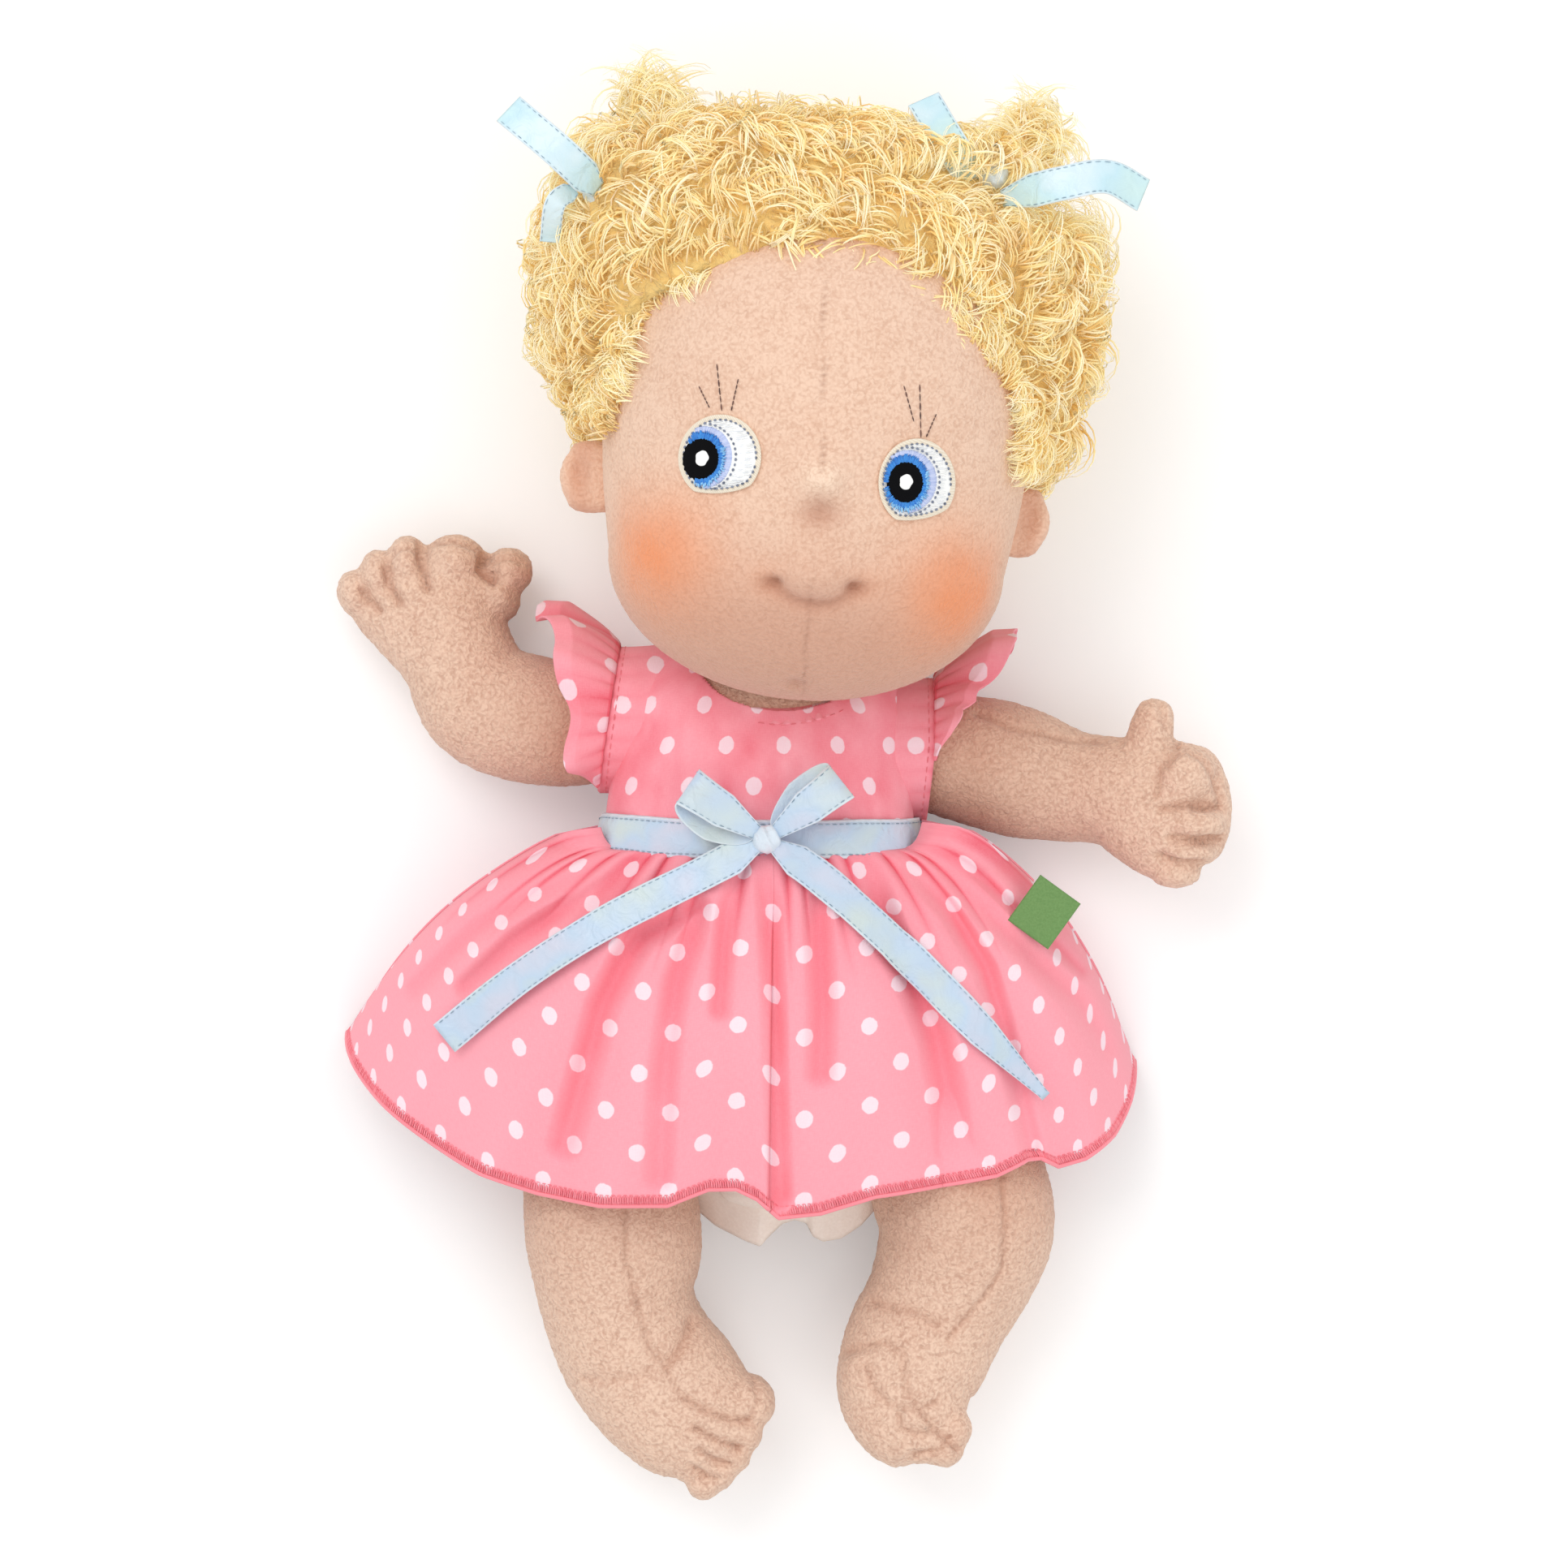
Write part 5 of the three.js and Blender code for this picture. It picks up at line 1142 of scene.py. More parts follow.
# ---------------------------------------------------------------------------------------------
# The bunches: longer locks gathered by a ribbon at each corner of the wig, from where they fan
# out and curl back over themselves.

for side, sign in (("right", -1), ("left", 1)):
    heading = np.radians(66)
    way = np.array([sign * np.cos(heading), np.sin(heading), 0])
    base = np.array([sign * 33.0, 50.0, 50.0])
    stations = [(*(base + way * 22 * k / 2), r, r) for k, r in enumerate((6.0, 7.0, 4.0))]
    heart = form(f"bunch_{side}_heart", to_doll(stuffed(stations, (4, 6), 60, 46)), pile_cloth)
    belongs(heart, "head", "curly_pile", f"bunch_{side}")
    count = 740
    along = rng.uniform(-4, 26, count)
    around = rng.uniform(0, 2 * np.pi, count)
    level = np.cross(way, [0, 0, 1.0])
    out = np.cos(around)[:, None] * level + np.sin(around)[:, None] * np.array([0, 0, 1.0])
    radius_there = np.interp(along, [-4, 0, 11, 22, 26], [5, 6, 7, 4, 1])
    roots = base + np.minimum(along, 23.5)[:, None] * way + out * radius_there[:, None] * 0.9
    facings = unit(out * 0.8 + way * (0.35 + 0.04 * along[:, None]))
    flows = unit(np.cross(facings, rng.normal(0, 1, (count, 3)))) * 0.6 + way * 0.5
    flows = unit(flows - facings * (flows * facings).sum(-1, keepdims=True))
    locks(f"bunch_{side}_locks", roots, facings, flows, rng.uniform(9, 20, count),
          rng.uniform(1.6, 5.4, count), 0.25, 3, 700 + sign)

# ---------------------------------------------------------------------------------------------
# The nappy: pants of thin off-white cloth, closed at the front by two tabs of hook tape. Its two
# lower corners hang out below the dress between the legs.

nappy_cotton = one_texture("nappy_cloth", "ShaderNodeTexNoise", {"Scale": 1500.0, "Detail": 3.0}, "Fac",
                           ((246, 234, 224), (232, 216, 204)), 0.3, 0.0004, roughness=0.92, sheen=0.25,
                           specular=0.15)[0]


def open_sheet(name, grid, material, thick, wrapped=False, keep=None, offset=-1.0, core=None):
    """A cloth from a grid of points: quads, less those that keep leaves out, with a thickness.

    Its faces look away from its core, a point in millimetres: by itself the middle, 20 mm high."""
    rows, columns = grid.shape[:2]
    faces = np.array(grid_faces(rows, columns, wrapped, False))
    flat = grid.reshape(-1, 3)
    heart = np.array(core or (flat[:, 0].mean(), flat[:, 1].mean(), 20.0), float)
    ahead = np.cross(flat[faces[:, 2]] - flat[faces[:, 0]], flat[faces[:, 3]] - flat[faces[:, 1]])
    if ((flat[faces].mean(axis=1) - heart) * ahead).sum() < 0:
        faces = faces[:, ::-1]
    if keep is not None:
        faces = faces[keep.reshape(-1)[faces].all(axis=1)]
    used, faces = np.unique(faces, return_inverse=True)
    faces = faces.reshape(-1, 4)
    made = piece(name, flat[used], faces.tolist(), material)
    wall = made.modifiers.new("wall", "SOLIDIFY")
    wall.thickness = thick * MM
    wall.offset = offset
    return made, used


LEG_ROOTS = {side: SEAM_BALLS[f"hip_{side}"][0] for side in ("right", "left")}
belly = torso_grid(0.4, 150, 150)
below_waist = belly[..., 1] < -42
for root in LEG_ROOTS.values():
    reach = belly - np.array(root)
    below_waist &= ~((np.hypot(reach[..., 0], reach[..., 2]) < 20.5) & (belly[..., 1] < root[1] + 14))
belly[..., 2] += 0.5 * value_noise(belly, 9.0, 71)
pants, _ = open_sheet("nappy_cloth", belly, nappy_cotton, 1.0, wrapped=True, keep=below_waist, offset=1.0)
belongs(pants, "torso", "nappy_cloth", "nappy")

lobe_edge = np.array([[-21, -99], [-17.3, -102.2], [-12.9, -105.3], [-6, -108.2], [-2.8, -109.6],
                      [-0.5, -106.3], [2.1, -103.7], [5, -102.9], [7.5, -103.6], [8.9, -107.2],
                      [11.2, -108.4], [15.3, -108.1], [19.8, -105.3], [23.4, -101.8], [26.1, -97.2],
                      [27, -95]])
lobe_x, lobe_share = np.meshgrid(np.linspace(-21, 27, 100), np.linspace(0, 1, 34), indexing="xy")
lobe_line = np.convolve(np.pad(lobe_edge[:, 1], 1, mode="edge"), [0.12, 0.76, 0.12], "valid")
lobe_low = np.interp(lobe_x, lobe_edge[:, 0], lobe_line) - 2.6 * np.sin(np.pi * (lobe_x + 21) / 48) ** 0.5
lobe_grid = np.stack([lobe_x, -80 + (lobe_low + 80) * lobe_share,
                      35 - 12 * lobe_share ** 1.5 + 1.6 * np.sin(lobe_x / 4.2 + 2 * lobe_share) * lobe_share
                      - 0.012 * (lobe_x - 3) ** 2], -1)
lobes, _ = open_sheet("nappy_corners", lobe_grid, nappy_cotton, 0.9, core=(3, -90, 0))
belongs(lobes, "torso", "nappy_cloth")

tape = one_texture("touch_tape", "ShaderNodeTexVoronoi", {"Scale": 1500.0}, "Distance",
                   ((250, 248, 244), (214, 210, 204)), 0.7, 0.0005,
                   roughness=0.95, sheen=0.3, specular=0.15)[0]


def tape_patch(node, way, lift):
    """A patch of touch tape with rounded corners, laid over the torso where its solid lies.

    Its outline is |x|^6 + |y|^6 = 1 in the solid's plan; way is 1 in front and -1 behind."""
    low, high = (np.array(c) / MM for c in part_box(node))
    middle, half = (low + high) / 2, (high - low) / 2
    turn, share = np.meshgrid(np.linspace(0, 2 * np.pi, 72, endpoint=False), np.linspace(0.02, 1, 14),
                              indexing="xy")
    radial = 1 / (np.abs(np.cos(turn)) ** 6 + np.abs(np.sin(turn)) ** 6) ** (1 / 6) * share
    x = middle[0] + half[0] * radial * np.cos(turn)
    y = middle[1] + half[1] * radial * np.sin(turn)
    middle_x, middle_z, wide, deep = cut_at(TORSO, y)
    level = np.sqrt(np.clip(1 - ((x - middle_x) / (wide + lift)) ** 2, 0, 1))
    z = np.maximum(middle_z + way * (deep + lift) * level, 0.3)
    z += way * 0.12 * (share > 0.86) * (share < 0.95)
    made, _ = open_sheet(node + "_tape", np.stack([x, y, z], -1), tape, 0.8, wrapped=True, offset=1.0,
                         core=(middle[0], middle[1], 22))
    belongs(made, "torso", "touch_tape", node)


tape_patch("nappy_tab_right", 1, 1.6)
tape_patch("nappy_tab_left", 1, 1.6)

# ---------------------------------------------------------------------------------------------
# The dress's cotton: coral red with white dots in staggered rows, a plain weave, and a deeper
# red painted into the folds as their shade.


DOT_ROW, DOT_STEP = 0.009, 0.0152


def dot_group():
    """White dots in staggered rows over cloth coordinates in metres.

    Rows are 9 mm apart and dots 15.2 mm apart in them, every second row moved by half; a dot is
    where the distance from its centre is below 2 mm. Puts out the dots and the weave's height."""
    group = output_group("cotton_print", "Dots", "Weave")
    place = add(group, "ShaderNodeUVMap", uv_map="cloth").outputs[0]
    shake = add(group, "ShaderNodeVectorMath", {0: noise_on(group, place, 700.0, 2.0, "Color"),
                                                1: (0.5, 0.5, 0.5)}, operation="SUBTRACT")
    shaken = add(group, "ShaderNodeVectorMath", {0: shake.outputs[0], 1: (0.0006, 0.0006, 0.0), 2: place},
                 operation="MULTIPLY_ADD")
    x, y = add(group, "ShaderNodeSeparateXYZ", {0: shaken.outputs[0]}).outputs[:2]
    row = maths(group, "FLOOR", maths(group, "DIVIDE", y, DOT_ROW))
    slid = maths(group, "MULTIPLY_ADD", maths(group, "FLOORED_MODULO", row, 2.0), DOT_STEP / 2, x)
    across = maths(group, "SUBTRACT", maths(group, "FLOORED_MODULO", slid, DOT_STEP), DOT_STEP / 2)
    along = maths(group, "SUBTRACT", maths(group, "FLOORED_MODULO", y, DOT_ROW), DOT_ROW / 2)
    spot = add(group, "ShaderNodeCombineXYZ", {0: across, 1: along})
    far = add(group, "ShaderNodeVectorMath", {0: spot.outputs[0]}, operation="LENGTH").outputs["Value"]
    drawn = [add(group, "ShaderNodeMapping", {0: place, "Scale": scale}).outputs[0]
             for scale in ((4200, 700, 1), (700, 4200, 1))]
    yarns = [noise_on(group, stretched, 1.0, 1.0) for stretched in drawn]
    add(group, "NodeGroupOutput", {"Dots": ranged(group, far, 0.00185, 0.00208, 1.0, 0.0),
                                   "Weave": maths(group, "MULTIPLY", maths(group, "ADD", *yarns), 0.5)})
    return group


cotton_print = dot_group()

# printed cotton: the ground and its dots both deepen with the painted shade that the fold attribute carries
skirt_cotton, cotton_tree, cotton_shader = finish("skirt_cotton", roughness=0.8, sheen=0.2,
                                                  tint=(1, 0.8, 0.8), specular=0.2)
printed = add(cotton_tree, "ShaderNodeGroup", node_tree=cotton_print).outputs
cotton_depth = maths(cotton_tree, "ADD", attribute(cotton_tree, "fold"),
                     ranged(cotton_tree, printed["Weave"], 0.3, 0.7, -0.10, 0.10), clamp=True)
cotton_ground = toned(cotton_tree, cotton_depth, light(254, 170, 182), light(238, 100, 118))
cotton_dot = toned(cotton_tree, cotton_depth, light(251, 228, 236), light(244, 190, 202))
surface(cotton_tree, cotton_shader, toned(cotton_tree, printed["Dots"], cotton_ground, cotton_dot),
        raised(cotton_tree, printed["Weave"], 0.3, 0.0002))


def cloth_map(made, used, u, v):
    """Writes the cloth's own coordinates, in metres, as the UV map that its print reads."""
    layer = made.data.uv_layers.new(name="cloth")
    corner = np.empty(len(made.data.loops), int)
    made.data.loops.foreach_get("vertex_index", corner)
    flat = np.stack([np.asarray(u).ravel()[used], np.asarray(v).ravel()[used]], -1)[corner] * MM
    layer.data.foreach_set("uv", flat.ravel())


ARM_ROOTS = {side: (np.array(SEAM_BALLS[f"shoulder_{side}"][0], float), sign)
             for side, sign in (("right", -1), ("left", 1))}
ARM_ROOM, ARMHOLE = 15.3, 16.5
NECK_HOLE = np.array([2.0, 20.0])
NECK_WIDE, NECK_DEEP = 18.5, 11.8
PRINT_X, PRINT_Y = 4.6, 40.2


def arm_room(points):
    """True inside the room of an upper arm at its armhole, a bar outwards from its root."""
    inside = np.zeros(points.shape[:-1], bool)
    for side, (root, sign) in ARM_ROOTS.items():
        reach = points - root
        along = reach[..., 0] * sign
        far = np.hypot(reach[..., 1], reach[..., 2])
        inside |= (far < ARM_ROOM) & (along > -1.0)
        inside |= np.linalg.norm(reach, axis=-1) < ARM_ROOM
    return inside


def in_neck_hole(points):
    """True inside the neckline: an oval that is deep in front and shallow behind."""
    deep = np.where(points[..., 2] > 19, NECK_DEEP, 5.0)
    across, along = points[..., 0] - NECK_HOLE[0], points[..., 1] - NECK_HOLE[1]
    return (across / NECK_WIDE) ** 2 + (along / deep) ** 2 < 1


chest = torso_grid(1.2, 320, 320)
worn = (chest[..., 1] > -19.0) & ~arm_room(chest) & ~in_neck_hole(chest)
puckers = (0.5 * value_noise(chest * np.array([1, 0.45, 1]), 5.0, 81)
           + 0.3 * value_noise(chest * np.array([1, 0.6, 1]), 2.6, 82)) * (chest[..., 2] > 8)
chest = chest + unit((chest - [0, 0, 22.0]) * [1, 0, 1]) * puckers[..., None] * 0.55
bodice, used = open_sheet("bodice_cotton", chest, skirt_cotton, 0.7, wrapped=True, keep=worn)
around = np.arctan2(chest[..., 2] - 22, chest[..., 0])
cloth_map(bodice, used, 33 * (np.pi / 2 - around) + PRINT_X, chest[..., 1] + PRINT_Y)
# painted light and shade: lighter on the raised puckers, darker in their dips
mark(bodice, "fold", np.clip(0.30 - 0.5 * puckers, 0, 0.9).ravel()[used])
belongs(bodice, "torso", "spotted_cotton", "bodice")


def follows_leg(made, side, slot, spots, *nodes):
    """Blends a piece of the dress from the torso to a leg's hip, by where its points are."""
    if nodes:
        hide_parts(*nodes)
    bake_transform(made, "torso", f"hip_{side}", start=(0, -0.06, 0.04), end=(0, -0.1, 0.04))
    weights = made.data.attributes.get("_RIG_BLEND")
    weights.data.foreach_set("value", np.ascontiguousarray(leg_weights(spots, side), dtype=np.float32))


def leg_weights(spot, side):
    """How much a point of the skirt's front follows its leg: none above the hip line, all of it
    at the hem over the leg, less towards the middle fold and nothing at the side seam."""
    down = np.clip((-66 - spot[:, 1]) / 30, 0, 1)
    reach = np.clip(1.25 - np.abs(spot[:, 0] - LEG_ROOTS[side][0]) / 34, 0, 1)
    return down ** 2 * (3 - 2 * down) * reach ** 0.8


def threads(name, starts, ends, ups, radius, arch, material, slot, seed, body="torso", leg=None):
    """Short threads laid on cloth: slim spindles from starts to ends, arched along ups by
    arch sin(pi t)."""
    rng = np.random.default_rng(seed)
    bow = np.sin(np.pi * np.linspace(0, 1, 6))
    middle = straight(starts, ends, 6) + ups[:, None] * (arch * bow)[None, :, None]
    points = spindles(middle, ups[:, None] + 1e-6, radius, 0.4, 1.0, rng, (0.8, 1.2))
    made = piece(name, points, chains(points), material)
    mark(made, "stitch", np.repeat(rng.uniform(0, 1, len(starts)), 30))
    if leg:
        follows_leg(made, leg, slot, points.reshape(-1, 3))
    else:
        belongs(made, body, slot)


coral_thread = thread_colours("coral_thread", (248, 142, 152), (228, 106, 118), (1, 0.8, 0.8))


def armhole_x(side, y):
    """How far from the middle the armhole's seam lies at a height along the body."""
    if side == "right":
        return 34.6 + 0.15 * (20 - y)
    return 36.2 - 0.11 * np.clip(-y, 0, 99)


def row_of_stitches(name, route, length, gap, outward, seed):
    """A row of sewn stitches along a route: each as long as length, with a gap between them."""
    at = np.arange(0.2, run(route)[-1] - length, length + gap)
    up = at_run(outward, at, run(route))
    threads(name, at_run(route, at) + up * 0.05, at_run(route, at + length) + up * 0.05, up, 0.14, 0.05,
            coral_thread, "spotted_cotton", seed)


def round_arm(root, sign, x, angle, radius):
    """Places round an upper arm's root, x along it, kept above the table."""
    return np.stack([sign * x, root[1] + radius * np.cos(angle),
                     np.maximum(root[2] + radius * np.sin(angle), 0.75)], -1)


for side, (root, sign) in ARM_ROOTS.items():
    share, part = np.meshgrid(np.linspace(0, 1, 180), np.linspace(0, 1, 36), indexing="xy")
    angle = np.radians(-105 + 279 * share)
    x = 19 + (armhole_x(side, root[1] + ARMHOLE * np.cos(angle)) - 19) * part
    tuck = np.abs(np.sin(np.pi * 13 * share + 1.1 * np.sin(9 * share))) ** 0.7
    radius = 16.4 + 1.7 * (1 - part) ** 2 + 0.35 * (tuck - 0.6) * part ** 3 - 0.5 * (part > 0.985)
    panel_grid = round_arm(root, sign, x, angle, radius)
    panel_grid[..., 2] += 0.25 * value_noise(panel_grid * np.array([1, 0.5, 0.5]), 3.5, 83)
    panel, used = open_sheet(f"armhole_{side}_cotton", panel_grid, skirt_cotton, 0.6,
                             core=(sign * 28, root[1], root[2]))
    cloth_map(panel, used, sign * x * 1.05 + PRINT_X, panel_grid[..., 1] + PRINT_Y)
    # painted shade: darker between the tucks and along the panel's outer edge
    tone = 0.22 + 0.3 * (0.6 - tuck) * part ** 2 + 0.45 * np.clip(part * 12 - 11, 0, 1)
    mark(panel, "fold", np.clip(tone, 0, 0.9).ravel()[used])
    belongs(panel, "torso", "spotted_cotton")
    seam_row = panel_grid[32]
    row_of_stitches(f"armhole_{side}_row", seam_row, 1.4, 0.8, unit((seam_row - root) * [0, 1, 1]), 31)

edge_turn, edge_in = np.meshgrid(np.radians(np.linspace(184, 356, 320)), np.linspace(0, 1, 40),
                                 indexing="xy")
outward_x, outward_y = np.cos(edge_turn) / NECK_WIDE, np.sin(edge_turn) / NECK_DEEP
outward_far = np.hypot(outward_x, outward_y)
pleat = np.abs(np.sin(edge_turn * 21 + 1.5 * np.sin(edge_turn * 5))) ** 0.7
wide_there = 4.6 * edge_in - 0.6
bind_x = NECK_HOLE[0] + NECK_WIDE * np.cos(edge_turn) + outward_x / outward_far * wide_there
bind_y = NECK_HOLE[1] + NECK_DEEP * np.sin(edge_turn) + outward_y / outward_far * wide_there
middle_x, middle_z, wide, deep = cut_at(TORSO, bind_y)
bind_z = middle_z + (deep + 1.3) * np.sqrt(np.clip(1 - ((bind_x - middle_x) / (wide + 1.3)) ** 2, 0.02, 1))
bind_z += (0.95 + 0.45 * (pleat - 0.5) * np.sin(np.pi * edge_in) - 1.0 * np.clip(1 - edge_in * 6, 0, 1) ** 2
           - 0.75 * np.clip(edge_in * 5 - 4, 0, 1))
bind_grid = np.stack([bind_x, bind_y, bind_z], -1)
binding, used = open_sheet("neck_binding_cotton", bind_grid, skirt_cotton, 0.5, core=(2, 12, 0))
cloth_map(binding, used, bind_x + PRINT_X, bind_y + PRINT_Y)
# painted light and shade: lighter on the pleats' crests, darker between them and along the outer edge
mark(binding, "fold", np.clip(0.30 - 0.35 * (pleat - 0.5) + 0.3 * (edge_in > 0.86), 0, 0.9).ravel()[used])
belongs(binding, "torso", "spotted_cotton", "neck_binding")
row_of_stitches("neck_row", bind_grid[33] + [0, 0, 0.35], 1.3, 1.1, np.tile([0, 0, 1.0], (320, 1)), 32)
tape_patch("hook_strip", -1, 1.9)
tape_patch("loop_strip", -1, 1.9)

# ---------------------------------------------------------------------------------------------
# The skirt: a length of the same cotton, gathered into the waist seam. It lies flat behind and
# falls over the legs in front, in soft folds that open towards a thread-overlocked hem.

HEM = np.array([[0, -70.5], [10, -79.0], [20, -86.5], [30, -91.5], [37, -93.2], [41, -91.2],
                [44, -91.4], [50, -94.8], [60, -97.0], [70, -99.2], [78, -103.0], [84, -103.8],
                [87, -99.6], [90, -97.4], [94, -97.6], [100, -101.3], [110, -101.2], [120, -98.7],
                [130, -94.4], [140, -88.2], [150, -81.6], [160, -75.4], [170, -69.2], [180, -64.0]])
MIDDLE_TURN = np.radians(85.3)
WAIST_X, WAIST_Y = -2.6, -22.6
_, WAIST_Z, *waist_half = cut_at(TORSO, -23.0)
WAIST_WIDE, WAIST_DEEP = (half + 1.9 for half in waist_half)
VALLEYS = [([(-2.2, -25.5), (-0.6, -36), (0.4, -60), (1.6, -99)], 3.4, 2.6, 0.50),
           ([(9.9, -33), (10.6, -46), (11.0, -58), (10.5, -72)], 2.6, 2.8, 0.55),
           ([(21, -27), (26.0, -42), (31.4, -53), (36.1, -64), (38.6, -76), (40, -88)], 3.6, 3.4, 0.75),
           ([(28.8, -25.5), (38.9, -35.6), (47.1, -48.9), (50.9, -62), (54.6, -77.2), (57.8, -90)],
            2.8, 2.4, 0.5),
           ([(38, -27), (48.3, -37.5), (58.5, -48.0), (68.2, -56.2), (75.2, -66.7)], 2.0, 2.8, 0.35),
           ([(-16.4, -35.3), (-28.5, -41.8), (-32.4, -46.9), (-37.5, -57.1), (-41.3, -71.2), (-46, -88)],
            3.6, 3.2, 0.6),
           ([(-16.4, -36), (-18, -43), (-21.2, -52), (-22.8, -61.6), (-24, -74), (-25, -95)],
            3.0, 3.0, 0.55),
           ([(-7.4, -27.7), (-10, -36), (-10.8, -45), (-11.6, -58)], 2.2, 2.2, 0.45),
           ([(-29.5, -23.8), (-34.9, -28.9), (-45.2, -35.3), (-57.3, -43), (-68, -53)], 2.4, 2.6, 0.5),
           ([(-37.5, -22.5), (-43.9, -28.9), (-54.1, -32.8), (-66, -40.5), (-80, -54)], 1.8, 2.6, 0.35),
           ([(35.7, -18), (45.2, -28), (53.4, -35.6), (62.8, -43.8), (69, -50)], 1.6, 1.5, 0.6)]
THIGHS = [[(-31, -70, 22.5, 17, 17), (-31, -82, 22.5, 19, 19), (-36, -97, 21, 19.4, 19),
           (-35.4, -112, 19.4, 19.6, 18.4)],
          [(35, -68, 22.5, 17, 17), (35, -80, 22.5, 19, 19), (41, -96, 21, 19.8, 19),
           (43.2, -107, 19.6, 19.8, 18.4)]]


def waist_puff(side, fall):
    """How far the gathers stand up beside the sash: most at the side seams, gone by the hem."""
    return np.where(side < 0, 4.8, 6.0) * np.abs(side) ** 26 * np.exp(-fall / 0.07)


def skirt_side(side):
    """Where the hem lies sideways, and the power of the fall by which the cloth gets there."""
    return -8 + (88 + 1.6 * (side > 0)) * side, 0.9 - (0.45 + 0.08 * (side > 0)) * np.abs(side) ** 3


def skirt_front(turn, fall):
    """The skirt's upper face: turn runs over the front, fall from the waist seam to the hem.

    A point runs from the waist's oval to the hem's line, sideways as fall^p with p from 0.9 in
    the middle to about 0.4 at the sides; its height runs from waist to hem with a puff of sine fall;
    then valleys are pressed in and the gathers of the seam are added."""
    side, front = np.cos(turn), np.clip(np.sin(turn), 0, 1)
    top_x, top_z = WAIST_X + WAIST_WIDE * side, WAIST_Z + WAIST_DEEP * front
    hem_x, bulge = skirt_side(side)
    hem_y = np.interp(np.degrees(turn), HEM[:, 0], HEM[:, 1])
    hem_z = 0.6 + 46.4 * front ** 0.7 + 2.2 * np.sin(turn * 17 + 0.6) * np.clip(2 * front, 0, 1)
    x = top_x + (hem_x - top_x) * fall ** bulge
    y = WAIST_Y + (hem_y - WAIST_Y) * fall + waist_puff(side, fall)
    z = top_z + (hem_z - top_z) * fall + 9.5 * np.sin(np.pi * fall ** 0.85) * front
    spot = np.stack([x, y, z], -1)
    # tone is painted light and shade of the folds: darker in and beside the valleys, under the middle overlap,
    # between the gathers, near the waist and at the hem's edge, lighter on the overlapping edge, with a broad
    # random tone added
    pressed, tone = np.zeros(turn.shape), np.zeros(turn.shape)
    flat = spot.reshape(-1, 3)
    fade = np.clip((1.0 - fall) * 1.7, 0, 1) ** 1.3
    for route, depth, wide_there, shade in VALLEYS:
        near, wider, crease = (groove(flat, route, wide_there * k).reshape(turn.shape)
                               for k in (1, 2.4, 0.55))
        pressed = np.maximum(pressed, 1.3 * near * depth) - 0.32 * depth * (wider - near).clip(0)
        tone = np.maximum(tone, shade * fade * (0.34 * crease + 0.22 * near + 0.20 * wider))
    past = (turn - MIDDLE_TURN) * 88
    opened = np.clip(fall * 3 - 0.4, 0, 1)
    over = np.exp(-np.clip(past, 0, None) / 5.5) * (past > 0) * opened
    under = np.exp(-np.clip(-past, 0, None) / 2.2) * (past <= 0) * opened
    pressed = pressed - 1.5 * over
    tone = np.maximum(tone - 0.2 * over, 0.5 * under)
    wave = turn + 0.05 * np.sin(9 * turn + 1) + 0.03 * np.sin(23 * turn)
    gather = np.abs(np.sin(wave * 19)) ** 0.6
    close = np.clip(1 - fall / 0.42, 0, 1) ** 1.4 * np.clip(fall / 0.03, 0, 1)
    lifted = 1.9 * (gather - 0.75) * close - pressed * np.clip(fall * 5, 0, 1)
    spot[..., 2] += lifted * np.clip(3 * front, 0.15, 1)
    tone = np.maximum(tone * np.clip(fall * 4, 0, 1), 1.1 * (1 - gather) * close ** 0.8)
    broad = 0.5 + 0.5 * value_noise(spot * np.array([1, 0.35, 0.2]), 13.0, 91)
    tone = np.clip(tone + 0.10 * broad + 0.18 * np.clip(1 - fall * 2.2, 0, 1) + 0.08 * (fall > 0.97), 0, 1)
    spot[..., 2] += 0.35 * value_noise(spot * np.array([1, 0.5, 0.2]), 6.0, 92)
    for limb in THIGHS:
        limb = np.array(limb)
        mid_x, mid_z, wide_there, deep_there = (np.interp(-spot[..., 1], -limb[:, 1], limb[:, k])
                                                for k in (0, 2, 3, 4))
        arch = np.sqrt(np.clip(1 - ((spot[..., 0] - mid_x) / (wide_there + 1.2)) ** 2, 0, 1))
        over_thigh = np.maximum(spot[..., 2], mid_z + (deep_there + 1.6) * arch)
        spot[..., 2] = np.where(arch > 0, over_thigh, spot[..., 2])
    spot[..., 2] = np.maximum(spot[..., 2], 0.9)
    return spot, tone


fall_steps = np.concatenate([np.linspace(0, 0.2, 26, endpoint=False), np.linspace(0.2, 1, 90)])
FRONT_SIDES = {"left": (0.0, MIDDLE_TURN), "right": (MIDDLE_TURN, np.pi)}
for side, ends in FRONT_SIDES.items():
    grid_turn, grid_fall = np.meshgrid(np.linspace(*ends, 220), fall_steps, indexing="xy")
    spot, tone = skirt_front(grid_turn, grid_fall)
    made, used = open_sheet(f"skirt_front_{side}", spot, skirt_cotton, 0.5)
    cloth_map(made, used, 7.6 - (grid_turn - MIDDLE_TURN) * (44 + 46 * grid_fall), -grid_fall * 80 + 0.5)
    mark(made, "fold", tone.ravel()[used])
    stands_for = ["skirt"] if side == "right" else []
    follows_leg(made, side, "spotted_cotton", spot.reshape(-1, 3)[used], *stands_for)

